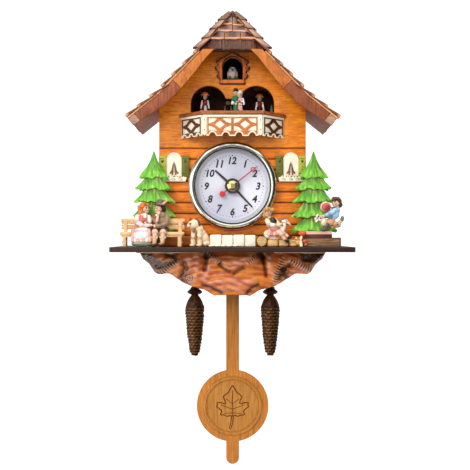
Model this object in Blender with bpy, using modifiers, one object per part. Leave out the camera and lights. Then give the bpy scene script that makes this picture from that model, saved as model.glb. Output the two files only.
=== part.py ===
"""A quartz wall clock in the shape of a carved alpine chalet, with a pendulum and two pine-cone weights.

Frame, in metres: the rear face of the clock lies on the wall plane Y = 0 and the front looks along -Y.
X runs to the right as seen from the front, Z is up, and the axis of the dial passes through X = 0, Z = 0.
Run it with blender --background --python part.py, or from Blender's text editor.
"""

import math

import bmesh
import bpy
from mathutils import Matrix, Vector

MM = 0.001

# ---------------------------------------------------------------- driving dimensions
GAP = 0.0003  # air left between two pieces that touch

HOUSE_HALF = 0.0675  # half the width of the house
FRONT_Y = -0.070  # front face of the front panel
FRONT_T = 0.005
WALL_T = 0.004
BACK_T = 0.004

BASE_TOP = -0.0556
BASE_T = 0.0045
BASE_HALF = 0.1075
BASE_FRONT = -0.106

# Top surface of a roof board from the ridge to the eave, as (distance from the middle, height).
ROOF_LINE = [(0.0, 0.158), (0.029, 0.118), (0.066, 0.080), (0.093, 0.0585)]
ROOF_T = 0.003
ROOF_FRONT = -0.098
ROOF_BACK = -0.0005
SHINGLE_ROWS = 10
SHINGLE_BUTT = 0.0032
SHINGLE_THIN = 0.0010
SHINGLE_FRONT = -0.102
HIP_TOP_Y = -0.074  # where the front hip meets the ridge
HIP_EAVE_Z = ROOF_LINE[1][1]

STAGE_TOP = 0.062  # upper face of the deck that carries the dancers
DECK_T = 0.003
ARCH_X = 0.022  # centre of each arch of the stage opening
ARCH_R = 0.0164
ARCH_SPRING = 0.076
PENDANT_Z = 0.0805  # lower edge of the wood between the two arches

DOOR_HALF = 0.009  # half the width of the bird's arched doorway
DOOR_SILL = 0.098
DOOR_SPRING = 0.1094

TABLE_AXIS_Y = -0.057  # turntable of the dancers
TABLE_R = 0.0285
TABLE_LOW = STAGE_TOP + 2 * GAP
TABLE_HIGH = TABLE_LOW + 0.002
DANCER_RING = 0.026
DANCER_TURN = math.radians(10)

BALCONY_FRONT = -0.092
BALCONY_HALF = 0.0267
BALCONY_WALL_HALF = 0.048
BALCONY_TOP = 0.0624
BALCONY_FOOT = 0.0437
BALCONY_T = 0.002

BEZEL_R = 0.040
INSERT_HOLE_R = 0.036
INSERT_BACK = -0.050
GEAR_MODULE = 0.0005
MINUTE_PINION_TEETH, MOTION_WHEEL_TEETH = 10, 30
MOTION_PINION_TEETH, HOUR_WHEEL_TEETH = 8, 32
GEAR_DISTANCE = GEAR_MODULE * (MINUTE_PINION_TEETH + MOTION_WHEEL_TEETH) / 2
MOTION_ANGLE = math.radians(-45)  # from +X towards +Z
HOUR_ANGLE = math.radians(312)  # clockwise from twelve
MINUTE_ANGLE = math.radians(137)
SECOND_ANGLE = math.radians(51.5)

PENDULUM_Y = -0.030
PIVOT_Z = -0.015
BLADE_HALF = 0.0063
BLADE_T = 0.003
BOB_Z = -0.2108
BOB_R = 0.0348
BLADE_END = -0.2673

WEIGHT_X = 0.035
WEIGHT_Y = -0.064
EYE_Z = -0.0649  # centre of the screw eye's ring
LOOP_Z = -0.0679  # centre of the loop bent in the weight's wire
HOOK_Z = -0.0666  # where the loop bears on the ring
CONE_TOP = -0.0923

REAR_DOOR_HALF = 0.030
REAR_DOOR_LOW, REAR_DOOR_HIGH = -0.052, -0.008
HINGE_X, HINGE_Y = -0.0276, -0.00195

# ---------------------------------------------------------------- materials: colour, roughness, metallic
FINISHES = {
    "honey_wood": ((0.72, 0.33, 0.07), 0.45, 0.0),
    "carved_wood": ((0.50, 0.17, 0.06), 0.35, 0.0),
    "barge_wood": ((0.38, 0.16, 0.06), 0.45, 0.0),
    "shingle_wood": ((0.16, 0.06, 0.03), 0.6, 0.0),
    "dark_wood": ((0.07, 0.03, 0.02), 0.5, 0.0),
    "pale_wood": ((0.74, 0.50, 0.26), 0.6, 0.0),
    "pendulum_wood": ((0.60, 0.32, 0.10), 0.5, 0.0),
    "white_paint": ((0.85, 0.80, 0.68), 0.5, 0.0),
    "green_paint": ((0.23, 0.42, 0.06), 0.5, 0.0),
    "figure_paint": ((0.78, 0.55, 0.40), 0.5, 0.0),
    "backdrop_paint": ((0.05, 0.06, 0.04), 0.8, 0.0),
    "chrome": ((0.80, 0.80, 0.80), 0.1, 1.0),
    "brass": ((0.80, 0.60, 0.22), 0.2, 1.0),
    "bronze": ((0.30, 0.17, 0.06), 0.35, 0.7),
    "steel": ((0.55, 0.55, 0.55), 0.3, 1.0),
    "glass": ((0.90, 0.95, 0.95), 0.02, 0.0),
    "dial_silver": ((0.72, 0.73, 0.78), 0.3, 0.2),
    "black_plastic": ((0.02, 0.02, 0.02), 0.5, 0.0),
    "red_paint": ((0.65, 0.05, 0.06), 0.4, 0.0),
    "battery_green": ((0.10, 0.30, 0.12), 0.4, 0.0),
}

# Local axes of a flat outline: its x and y become these world axes, and its thickness the named one.
FACING = {
    "X": Matrix(((0, 0, 1), (1, 0, 0), (0, 1, 0))),
    "Y": Matrix(((1, 0, 0), (0, 0, -1), (0, 1, 0))),
    "Z": Matrix.Identity(3),
}


def start_scene():
    """Clears the scene and makes the two collections, one for the clock and one for its cutters."""
    for obj in list(bpy.data.objects):
        bpy.data.objects.remove(obj)
    for name in ("chalet_clock", "cutters"):
        bpy.context.scene.collection.children.link(bpy.data.collections.new(name))


def finish(name):
    """The material of that name, made once from FINISHES."""
    found = bpy.data.materials.get(name)
    if found:
        return found
    colour, roughness, metallic = FINISHES[name]
    made = bpy.data.materials.new(name)
    made.use_nodes = True
    shader = made.node_tree.nodes["Principled BSDF"]
    shader.inputs["Base Color"].default_value = (*colour, 1)
    shader.inputs["Roughness"].default_value = roughness
    shader.inputs["Metallic"].default_value = metallic
    made.diffuse_color = (*colour, 1)
    return made


def add_object(name, data, material):
    obj = bpy.data.objects.new(name, data)
    bpy.data.collections["chalet_clock"].objects.link(obj)
    data.materials.append(finish(material))
    return obj


def add_bmesh(name, bm, material, smooth=False):
    """An object from a bmesh, with its points welded and its faces pointing out."""
    bmesh.ops.remove_doubles(bm, verts=bm.verts, dist=0.01 * MM)
    bmesh.ops.recalc_face_normals(bm, faces=bm.faces)
    mesh = bpy.data.meshes.new(name)
    bm.to_mesh(mesh)
    bm.free()
    if smooth:
        mesh.shade_smooth()
        mesh.set_sharp_from_angle(angle=math.radians(35))
    return add_object(name, mesh, material)


def block(name, low, high, material):
    """A box between two corners."""
    bm = bmesh.new()
    bmesh.ops.create_cube(bm, size=1)
    low, high = Vector(low), Vector(high)
    size = high - low
    bmesh.ops.scale(bm, vec=size, verts=bm.verts)
    bmesh.ops.translate(bm, vec=(low + high) / 2, verts=bm.verts)
    return add_bmesh(name, bm, material)


def rod(name, start, end, radius, material, segments=16, end_radius=None):
    """A round bar, or a cone, between two points."""
    start, end = Vector(start), Vector(end)
    along = end - start
    bm = bmesh.new()
    bmesh.ops.create_cone(
        bm,
        cap_ends=True,
        segments=segments,
        radius1=radius,
        radius2=radius if end_radius is None else end_radius,
        depth=along.length,
    )
    turn = along.to_track_quat("Z", "Y").to_matrix().to_4x4()
    bm.transform(Matrix.Translation((start + end) / 2) @ turn)
    return add_bmesh(name, bm, material, smooth=True)


def ball(name, centre, radii, material, segments=10, rings=7):
    """An ellipsoid."""
    bm = bmesh.new()
    bmesh.ops.create_uvsphere(bm, u_segments=segments, v_segments=rings, radius=1)
    bmesh.ops.scale(bm, vec=radii, verts=bm.verts)
    bmesh.ops.translate(bm, vec=centre, verts=bm.verts)
    return add_bmesh(name, bm, material, smooth=True)


def solid_mesh(obj):
    """The evaluated object as a mesh object with welded caps, in place of the first one."""
    name = obj.name
    material = obj.data.materials[0].name
    bpy.context.view_layer.update()
    evaluated = obj.evaluated_get(bpy.context.evaluated_depsgraph_get())
    mesh = bpy.data.meshes.new_from_object(evaluated)
    bm = bmesh.new()
    bm.from_mesh(mesh)
    bm.transform(obj.matrix_world)
    bpy.data.objects.remove(obj)
    bpy.data.meshes.remove(mesh)
    return add_bmesh(name, bm, material, smooth=True)


def plate(name, outline, low, high, material, facing="Y", holes=()):
    """A flat outline with holes, filled from low to high along the facing axis."""
    curve = bpy.data.curves.new(name, "CURVE")
    curve.dimensions = "2D"
    curve.fill_mode = "BOTH"
    curve.extrude = (high - low) / 2
    for points in (outline, *holes):
        spline = curve.splines.new("POLY")
        spline.points.add(len(points) - 1)
        for slot, (a, b) in zip(spline.points, points):
            slot.co = (a, b, 0, 1)
        spline.use_cyclic_u = True
    obj = add_object(name, curve, material)
    middle = Vector((0, 0, 0))
    middle["XYZ".index(facing)] = (low + high) / 2
    obj.matrix_world = Matrix.Translation(middle) @ FACING[facing].to_4x4()
    return solid_mesh(obj)


def turned(name, profile, material, centre=(0, 0, 0), axis="Z", steps=24, ring=False):
    """A shape turned about an axis, from (radius, height) points. A ring's profile is closed."""
    mesh = bpy.data.meshes.new(name)
    count = len(profile)
    edges = [(i, i + 1) for i in range(count - 1)] + ([(count - 1, 0)] if ring else [])
    mesh.from_pydata([(r, 0, h) for r, h in profile], edges, [])
    obj = add_object(name, mesh, material)
    screw = obj.modifiers.new("turn", "SCREW")
    screw.axis = "Z"
    screw.steps = screw.render_steps = steps
    screw.use_merge_vertices = True
    screw.merge_threshold = 0.00001
    # Height runs along +Z, or along +Y for a piece on an axis from front to back.
    turn = Matrix.Rotation(math.radians(-90), 4, "X") if axis == "Y" else Matrix.Identity(4)
    obj.matrix_world = Matrix.Translation(centre) @ turn
    return solid_mesh(obj)


def wire(name, points, radius, material):
    """A round wire along a list of points."""
    curve = bpy.data.curves.new(name, "CURVE")
    curve.dimensions = "3D"
    curve.bevel_depth = radius
    curve.bevel_resolution = 1
    curve.use_fill_caps = True
    spline = curve.splines.new("POLY")
    spline.points.add(len(points) - 1)
    for slot, point in zip(spline.points, points):
        slot.co = (*point, 1)
    return solid_mesh(add_object(name, curve, material))


def boolean(obj, other, operation):
    """Cuts other from obj or joins it on, and keeps other as a hidden helper."""
    bpy.data.collections["chalet_clock"].objects.unlink(other)
    bpy.data.collections["cutters"].objects.link(other)
    other.hide_render = True
    other.display_type = "WIRE"
    other.name = f"helper_{other.name}"
    modifier = obj.modifiers.new(operation.lower(), "BOOLEAN")
    modifier.operation = operation
    modifier.solver = "EXACT"
    modifier.object = other
    return obj


def cut(obj, *others):
    for other in others:
        boolean(obj, other, "DIFFERENCE")
    return obj


def join(obj, *others):
    for other in others:
        boolean(obj, other, "UNION")
    return obj


def set_origin(obj, point):
    """Moves an object's origin to a point on its joint's axis, and leaves its shape where it is."""
    obj.data.transform(Matrix.Translation(-Vector(point)))
    obj.location = point
    return obj


def arc(x, z, radius, start, end, steps):
    """Points on a circle, with the angles in degrees from +X."""
    angles = [math.radians(start + (end - start) * i / steps) for i in range(steps + 1)]
    return [(x + radius * math.cos(a), z + radius * math.sin(a)) for a in angles]


def rectangle(x0, x1, y0, y1):
    return [(x0, y0), (x1, y0), (x1, y1), (x0, y1)]


def mirrored(points):
    """The same outline on the other side of X = 0."""
    return [(-x, z) for x, z in reversed(points)]


def both(points):
    """An outline symmetrical about X = 0, from the points of its right half, bottom to top."""
    return points + mirrored(points)


def below(line, distance):
    """A line parallel to the roof line, that far under it, from X = 0 to the eave."""
    shifted = []
    for (x0, z0), (x1, z1) in zip(line, line[1:]):
        length = math.hypot(x1 - x0, z1 - z0)
        nx, nz = (z1 - z0) / length * distance, (x0 - x1) / length * distance
        shifted.append(((x0 + nx, z0 + nz), (x1 + nx, z1 + nz)))
    found = [(0.0, height_on(shifted[0], 0.0))]
    for first, second in zip(shifted, shifted[1:]):
        found.append(crossing(first, second))
    return found + [shifted[-1][1]]


def height_on(segment, x):
    (x0, z0), (x1, z1) = segment
    return z0 + (z1 - z0) * (x - x0) / (x1 - x0)


def crossing(first, second):
    """Where two sloping lines meet."""
    slope_1 = (first[1][1] - first[0][1]) / (first[1][0] - first[0][0])
    slope_2 = (second[1][1] - second[0][1]) / (second[1][0] - second[0][0])
    x = (second[0][1] - first[0][1] + slope_1 * first[0][0] - slope_2 * second[0][0]) / (slope_1 - slope_2)
    return x, height_on(first, x)


def along_roof(distance, rise):
    """The point that far up the roof line from the eave, raised square to the surface."""
    left = distance
    for (x1, z1), (x0, z0) in zip(ROOF_LINE[::-1], ROOF_LINE[-2::-1]):
        length = math.hypot(x1 - x0, z1 - z0)
        if left <= length or x0 == 0.0:
            share = left / length
            x, z = x1 + (x0 - x1) * share, z1 + (z0 - z1) * share
            return x + (z1 - z0) / length * -rise, z + (x1 - x0) / length * rise
        left -= length
    raise ValueError("past the ridge")


def roof_length():
    return sum(math.dist(a, b) for a, b in zip(ROOF_LINE, ROOF_LINE[1:]))


def sided(points, side):
    """Points of the right side as they are, or mirrored for the left."""
    return points if side > 0 else mirrored(points)


SIDES = (("left", -1), ("right", 1))


# ---------------------------------------------------------------- the house
def house_outline(drop):
    """The gabled outline of the front and the back, that far under the roof line."""
    line = below(ROOF_LINE, drop)
    eave = (HOUSE_HALF, height_on((line[-2], line[-1]), HOUSE_HALF))
    right = [(HOUSE_HALF, BASE_TOP + GAP), eave]
    right += [point for point in reversed(line) if 0 < point[0] < HOUSE_HALF]
    return right + [line[0]] + mirrored(right)


def doorway_outline(half, sill, spring):
    """A doorway with a round head."""
    return [(-half, sill), (half, sill), *arc(0, spring, half, 0, 180, 12)]


def stage_opening_outline():
    """Two arches side by side over a wide slot for the deck."""
    slot = BALCONY_WALL_HALF - 1.3 * MM
    side = ARCH_X + ARCH_R
    lowest = math.degrees(math.asin((PENDANT_Z - ARCH_SPRING) / ARCH_R))
    right = [
        (slot, STAGE_TOP - DECK_T - GAP),
        (slot, STAGE_TOP + GAP),
        (side, STAGE_TOP + GAP),
        *arc(ARCH_X, ARCH_SPRING, ARCH_R, 0, 180 - lowest, 12),
    ]
    return both(right)


def make_front_panel():
    """The front of the house, with the openings and the grooves between the logs."""
    panel = plate(
        "front_panel", house_outline(ROOF_T + GAP), FRONT_Y, FRONT_Y + FRONT_T, "honey_wood"
    )
    behind, before = FRONT_Y + 2 * FRONT_T, FRONT_Y - FRONT_T
    stage = plate("stage_cut", stage_opening_outline(), before, behind, "honey_wood")
    doorway = doorway_outline(DOOR_HALF, DOOR_SILL, DOOR_SPRING)
    door = plate("doorway_cut", doorway, before, behind, "honey_wood")
    dial = rod("dial_cut", (0, before, 0), (0, behind, 0), INSERT_HOLE_R, "honey_wood", 48)
    cut(panel, stage, door, dial)
    log_height, groove, logs = 10.05 * MM, 0.5 * MM, 9
    for i in range(1, logs + 1):
        z = BASE_TOP + i * log_height
        low = (-HOUSE_HALF - MM, FRONT_Y - MM, z - groove)
        high = (HOUSE_HALF + MM, FRONT_Y + groove, z + groove)
        cut(panel, block(f"groove_{i}", low, high, "honey_wood"))


def make_back_panel():
    """The back, which lies on the wall, with the keyhole for its hook and the opening for the rear door."""
    head_z, slot_top = 0.122, 0.132
    head_r, slot_r = 0.0045, 0.0026
    edge = math.degrees(math.asin(slot_r / head_r))
    keyhole = arc(0, head_z, head_r, 90 + edge, 450 - edge, 20) + arc(0, slot_top, slot_r, 0, 180, 8)
    opening = rectangle(-REAR_DOOR_HALF, REAR_DOOR_HALF, REAR_DOOR_LOW, REAR_DOOR_HIGH)
    panel = plate(
        "back_panel", house_outline(ROOF_T + GAP), -BACK_T, 0, "dark_wood", holes=[keyhole, opening]
    )
    for name, z, way in (("low", REAR_DOOR_LOW, -1), ("high", REAR_DOOR_HIGH, 1)):
        start, end = (HINGE_X, HINGE_Y, z - way * MM), (HINGE_X, HINGE_Y, z + way * 2.5 * MM)
        cut(panel, rod(f"pivot_hole_{name}", start, end, 1.0 * MM, "dark_wood", 12))


def make_rear_door():
    """The battery door, hung on two pins in its own edge, with a finger hole."""
    thickness, edge_r, clear = 0.0033, 0.00165, 0.0006
    low, high = REAR_DOOR_LOW + clear, REAR_DOOR_HIGH - clear
    hole = arc(0.018, (low + high) / 2, 0.0055, 0, 360, 18)[:-1]
    door = plate(
        "rear_door",
        rectangle(HINGE_X, REAR_DOOR_HALF - clear, low, high),
        HINGE_Y - thickness / 2,
        HINGE_Y + thickness / 2,
        "dark_wood",
        holes=[hole],
    )
    edge = rod("door_edge", (HINGE_X, HINGE_Y, low), (HINGE_X, HINGE_Y, high), edge_r, "dark_wood")
    pins = rod(
        "door_pins",
        (HINGE_X, HINGE_Y, REAR_DOOR_LOW - 1.8 * MM),
        (HINGE_X, HINGE_Y, REAR_DOOR_HIGH + 1.8 * MM),
        0.8 * MM,
        "dark_wood",
        12,
    )
    set_origin(join(door, edge, pins), (HINGE_X, HINGE_Y, 0))


def make_walls():
    """The two side walls, between the front and the back."""
    top = house_outline(ROOF_T + GAP)[1][1] - 0.5 * MM
    for name, side in SIDES:
        xs = sorted((side * HOUSE_HALF, side * (HOUSE_HALF - WALL_T)))
        low = (xs[0], FRONT_Y + FRONT_T + GAP, BASE_TOP + GAP)
        high = (xs[1], -BACK_T - GAP, top)
        block(f"side_wall_{name}", low, high, "honey_wood")


def make_base_board():
    """The shelf that carries the house and its garden, with a slot for the pendulum."""
    slot_half, slot_depth = 0.0135, 0.0045
    slot = rectangle(-slot_half, slot_half, PENDULUM_Y - slot_depth, PENDULUM_Y + slot_depth)
    outline = rectangle(-BASE_HALF, BASE_HALF, BASE_FRONT, -0.0005)
    plate("base_board", outline, BASE_TOP - BASE_T, BASE_TOP, "dark_wood", "Z", holes=[slot])


def make_corbel():
    """The carved apron under the shelf: a bowed shell with a ragged lower edge."""
    lower_edge = [
        (0.0, -99.3), (15.3, -100.0), (23.5, -95.0), (35.0, -92.0), (41.8, -89.1), (47.5, -85.4),
        (54.5, -80.6), (64.8, -81.7), (68.3, -80.0), (73.7, -72.5), (80.0, -67.5), (82.5, -62.4),
    ]  # fmt: skip
    top = BASE_TOP - BASE_T - GAP
    half, columns, rows = lower_edge[-1][0], 33, 6

    def lower(x):
        for segment in zip(lower_edge, lower_edge[1:]):
            if x <= segment[1][0]:
                return height_on(segment, x)
        return lower_edge[-1][1]

    def point(column, row, layer):
        across, down = 2 * column / columns - 1, row / rows
        x = across * half
        bow = 46 * abs(across) ** 2.2
        belly = 5 * math.sin(math.pi * down)
        z = top + down * (lower(abs(x)) * MM - top)
        return x * MM, FRONT_Y + (bow - belly - 10 + 6 * layer) * MM, z

    bm = bmesh.new()
    layers = [
        [[bm.verts.new(point(i, j, layer)) for i in range(columns + 1)] for j in range(rows + 1)]
        for layer in (0, 1)
    ]
    for grid in layers:
        for low, high in zip(grid, grid[1:]):
            for i in range(columns):
                bm.faces.new((low[i], low[i + 1], high[i + 1], high[i]))
    front_rim, back_rim = (
        [*grid[0], *(row[-1] for row in grid[1:]), *grid[-1][-2::-1], *(row[0] for row in grid[-2:0:-1])]
        for grid in layers
    )
    for i, vert in enumerate(front_rim):
        bm.faces.new((vert, back_rim[i], back_rim[i - 1], front_rim[i - 1]))
    add_bmesh("corbel", bm, "carved_wood", smooth=True)


# ---------------------------------------------------------------- the roof
def hip_frame():
    """The plane of the front hip: a point on its eave, and its lean from the vertical."""
    eave = Vector((0, ROOF_FRONT, HIP_EAVE_Z))
    top = Vector((0, HIP_TOP_Y, ROOF_LINE[0][1]))
    return eave, math.atan2(top.y - eave.y, top.z - eave.z), (top - eave).length


def before_hip(name, distance, material):
    """A cutter that fills everything in front of the hip plane, moved out by distance."""
    eave, lean, _ = hip_frame()
    size = 0.3
    bm = bmesh.new()
    bmesh.ops.create_cube(bm, size=size)
    bmesh.ops.translate(bm, vec=(0, -size / 2 - distance, 0), verts=bm.verts)
    bm.transform(Matrix.Translation(eave) @ Matrix.Rotation(-lean, 4, "X"))
    return add_bmesh(name, bm, material)


def make_roof_boards():
    """The two thin boards of the roof, bent twice, cut back behind the front hip."""
    inner = below(ROOF_LINE, ROOF_T)
    ridge_gap = GAP / 2
    outline = [(ridge_gap, ROOF_LINE[0][1]), *ROOF_LINE[1:], *reversed(inner[1:]), (ridge_gap, inner[0][1])]
    for name, side in SIDES:
        board = plate(f"roof_board_{name}", sided(outline, side), ROOF_FRONT, ROOF_BACK, "barge_wood")
        cut(board, before_hip(f"hip_cut_{name}", -ROOF_T - GAP, "barge_wood"))


def shingle_profile():
    """The stepped section of the shingle courses, from the eave to the ridge."""
    length = roof_length()
    course = length / SHINGLE_ROWS
    outer = []
    for row in range(SHINGLE_ROWS):
        outer.append(along_roof(row * course, SHINGLE_BUTT))
        outer.append(along_roof((row + 1) * course - 0.1 * MM, SHINGLE_THIN))
    inner = below(ROOF_LINE, -GAP)
    ridge_gap = GAP / 2
    outer[-1] = (ridge_gap, ROOF_LINE[0][1] + 1.6 * MM)
    return [*reversed(inner[1:]), (ridge_gap, inner[0][1]), *reversed(outer)]


def make_shingles():
    """The shingle courses of each side, one stepped cladding a side."""
    for name, side in SIDES:
        outline = sided(shingle_profile(), side)
        cladding = plate(f"shingles_{name}", outline, SHINGLE_FRONT, ROOF_BACK, "shingle_wood")
        cut(cladding, before_hip(f"shingle_cut_{name}", 0.003, "shingle_wood"))


def make_hip_roof():
    """The leaning triangular hip at the front, with its courses as steps on its face."""
    eave, lean, slope = hip_frame()
    half = ROOF_LINE[1][0] - 0.6 * MM
    courses, butt, thin = 4, 0.0024, 0.0008
    steps = [(ROOF_T, 0.0)]
    for i in range(courses):
        steps.append((-butt, slope * i / courses))
        steps.append((-thin, slope * (i + 1) / courses - 0.1 * MM))
    steps.append((ROOF_T, slope))
    # The stepped section fills the width of the hip, then its two sloping sides are cut off.
    body = plate("hip_roof", steps, -half, half, "shingle_wood", "X")
    body.data.transform(Matrix.Translation(eave) @ Matrix.Rotation(-lean, 4, "X"))
    (x0, z0), (x1, z1) = ROOF_LINE[:2]
    for name, side in SIDES:
        outside = [(0, z0 - GAP), (x1, z1 - GAP), (2 * x1, z1 - GAP), (2 * x1, 2 * z0), (0, 2 * z0)]
        cut(body, plate(f"hip_side_{name}", sided(outside, side), -0.12, -0.05, "shingle_wood"))


def make_bargeboards():
    """The wide curved boards along the front edges of the roof."""
    length = roof_length() - math.dist(ROOF_LINE[0], ROOF_LINE[1]) - MM
    count, thickness = 14, 0.0027
    outer, inner = [], []
    for i in range(count + 1):
        distance = length * i / count
        width = (8.8 + 3.4 * math.sin(math.pi * i / count)) * MM
        outer.append(along_roof(distance, -0.2 * MM))
        inner.append(along_roof(distance, -width))
    high = ROOF_FRONT - GAP
    for name, side in SIDES:
        outline = sided(inner + outer[::-1], side)
        plate(f"bargeboard_{name}", outline, high - thickness, high, "barge_wood")


# ---------------------------------------------------------------- the bird
def make_bird_frame():
    """The carved surround of the bird's doorway."""
    right = [(11.7, 93.0), (12.6, 98.0), (14.6, 102.5), (16.3, 107.5), (14.9, 110.5), (15.6, 113.5)]
    right.append((0.0, 123.5))
    right = [(x * MM, z * MM) for x, z in right]
    outline = right + mirrored(right[:-1])
    doorway = doorway_outline(DOOR_HALF, DOOR_SILL, DOOR_SPRING)
    high = FRONT_Y - GAP
    plate("bird_frame", outline, high - 3 * MM, high, "barge_wood", holes=[doorway])


def make_bird():
    """The small bird on its push rod, and the bracket that guides the rod."""
    y, z = -0.0555, 0.1052
    bird = ball("bird", (0, y, z), (0.0045, 0.0052, 0.0047), "white_paint", 14, 9)
    head = ball("bird_head", (0, y - 1.5 * MM, z + 4.6 * MM), (0.0032, 0.0034, 0.0032), "white_paint", 12, 8)
    beak_root, beak_tip = (0, y - 4.2 * MM, z + 4.6 * MM), (0, y - 7 * MM, z + 3.9 * MM)
    beak = rod("bird_beak", beak_root, beak_tip, 1.2 * MM, "brass", 8, end_radius=0.2 * MM)
    perch = block("bird_perch", (-0.0055, y - 5 * MM, 0.0990), (0.0055, y + 5 * MM, 0.1015), "green_paint")
    rod_z, rod_end = 0.1030, -0.008
    push_rod = rod("push_rod", (0, y + 3 * MM, rod_z), (0, rod_end, rod_z), 1.4 * MM, "steel", 12)
    set_origin(join(bird, head, beak, perch, push_rod), (0, y, rod_z))
    half, front = 0.006, -0.032
    low, high = (-half, front, rod_z - half), (half, -BACK_T - GAP, rod_z + half)
    guide = block("bird_guide", low, high, "pale_wood")
    bore_ends = (0, front - MM, rod_z), (0, rod_end + 2 * MM, rod_z)
    cut(guide, rod("guide_bore", *bore_ends, 1.7 * MM, "pale_wood", 16))


# ---------------------------------------------------------------- the stage and the balcony
def make_stage():
    """The deck through the front panel, the painted backdrop and the turntable with its motor."""
    deck_y = BALCONY_FRONT + BALCONY_T + GAP
    reach = BALCONY_WALL_HALF - 2.9 * MM
    inside = HOUSE_HALF - WALL_T - GAP
    inner_y = FRONT_Y + FRONT_T + GAP
    back_y = -0.020
    right = [
        (BALCONY_HALF - 0.9 * MM, deck_y),
        (reach, FRONT_Y - GAP),
        (reach, inner_y),
        (inside, inner_y),
        (inside, back_y),
    ]
    bore = arc(0, TABLE_AXIS_Y, 2.1 * MM, 0, 360, 16)[:-1]
    plate("stage_deck", both(right), STAGE_TOP - DECK_T, STAGE_TOP, "barge_wood", "Z", holes=[bore])
    scene = [(0.056, STAGE_TOP + GAP), (0.056, 0.080), (0.049, 0.088), (0.030, 0.0965)]
    plate("stage_backdrop", both(scene), -0.0244, -0.0224, "backdrop_paint")
    profile = [
        (0, TABLE_HIGH), (TABLE_R, TABLE_HIGH), (TABLE_R, TABLE_LOW), (1.7 * MM, TABLE_LOW),
        (1.7 * MM, 0.055), (0, 0.055),
    ]  # fmt: skip
    table = turned("turntable", profile, "dark_wood", centre=(0, TABLE_AXIS_Y, 0), steps=40)
    set_origin(table, (0, TABLE_AXIS_Y, 0))
    top, low, bore_r, bore_end = STAGE_TOP - DECK_T - GAP, 0.043, 2.0 * MM, 0.0545
    motor = [(0, bore_end), (bore_r, bore_end), (bore_r, top), (7.4 * MM, top), (7.4 * MM, low), (0, low)]
    turned("turntable_motor", motor, "steel", centre=(0, TABLE_AXIS_Y, 0), steps=24)


def make_dancers():
    """Four small turned dancers on the turntable, a quarter turn apart."""
    floor = TABLE_HIGH + GAP
    skirt = [(0, 0), (3.6, 0), (3.9, 1.5), (2.2, 11), (2.6, 13), (2.2, 15.5), (1.0, 16.6), (0, 16.6)]
    for name, quarter, hat in (("front", 3, 1.9), ("right", 0, 3.9), ("back", 1, 2.6), ("left", 2, 3.9)):
        angle = quarter * math.pi / 2 + DANCER_TURN
        x = DANCER_RING * math.cos(angle)
        y = TABLE_AXIS_Y + DANCER_RING * math.sin(angle)
        head = [(2.1, 17.4), (2.3, 18.6), (2.1, 19.8)]
        brim = [(hat, 20.2), (hat, 20.9), (1.9, 21.2), (1.6, 22.9), (0, 23.2)]
        points = [(r * MM, h * MM) for r, h in skirt[:-1] + head + brim]
        dancer = turned(f"dancer_{name}", points, "figure_paint", centre=(x, y, floor), steps=12)
        set_origin(dancer, (0, TABLE_AXIS_Y, 0))


def scalloped(length, start, notches, radius):
    """The lower edge of a balcony panel, from left to right, with a round notch between each two points."""
    points = []
    pitch = length / notches
    for i in range(notches):
        middle = start + (i + 0.5) * pitch
        points += arc(middle, BALCONY_FOOT, radius, 180, 0, 6)
    return points


def make_balcony():
    """The three fretted panels of the balcony and the handrail over them."""
    notch = 3.3 * MM
    width = 2 * BALCONY_HALF
    foot = [(-BALCONY_HALF, BALCONY_FOOT), *scalloped(width, -BALCONY_HALF, 4, notch)]
    foot.append((BALCONY_HALF, BALCONY_FOOT))
    outline = foot + [(BALCONY_HALF, BALCONY_TOP), (-BALCONY_HALF, BALCONY_TOP)]
    plate("balcony_front", outline, BALCONY_FRONT, BALCONY_FRONT + BALCONY_T, "white_paint")
    corner = Vector((BALCONY_HALF, BALCONY_FRONT))
    wall = Vector((BALCONY_WALL_HALF, FRONT_Y - 2 * GAP))
    run = (wall - corner).length - 1.6 * MM
    turn = math.atan2(wall.y - corner.y, wall.x - corner.x)
    foot = [(0, BALCONY_FOOT), *scalloped(run, 0, 3, notch * 0.8), (run, BALCONY_FOOT)]
    side_outline = foot + [(run, BALCONY_TOP), (0, BALCONY_TOP)]
    for name, side in SIDES:
        panel = plate(f"balcony_side_{name}", sided(side_outline, side), 0, BALCONY_T, "white_paint")
        place = Vector((side * (corner.x + GAP), corner.y, 0))
        panel.data.transform(Matrix.Translation(place) @ Matrix.Rotation(side * turn, 4, "Z"))
        xs = sorted((side * (corner.x + GAP), side * (corner.x - 5 * MM)))
        inner = block(f"balcony_mitre_{name}", (xs[0], -0.1, 0), (xs[1], -0.08, 0.1), "white_paint")
        cut(panel, inner)
    rail_out, rail_in = 1.4 * MM, 2.8 * MM
    right = [
        (BALCONY_HALF - rail_in * 0.6, BALCONY_FRONT + rail_in + MM),
        (BALCONY_WALL_HALF - rail_in * 1.6, FRONT_Y - GAP),
        (BALCONY_WALL_HALF + rail_out, FRONT_Y - GAP),
        (BALCONY_HALF + rail_out * 0.6, BALCONY_FRONT - rail_out),
    ]
    low = BALCONY_TOP + GAP
    plate("balcony_handrail", both(right[::-1]), low, low + 3.1 * MM, "barge_wood", "Z")


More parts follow.
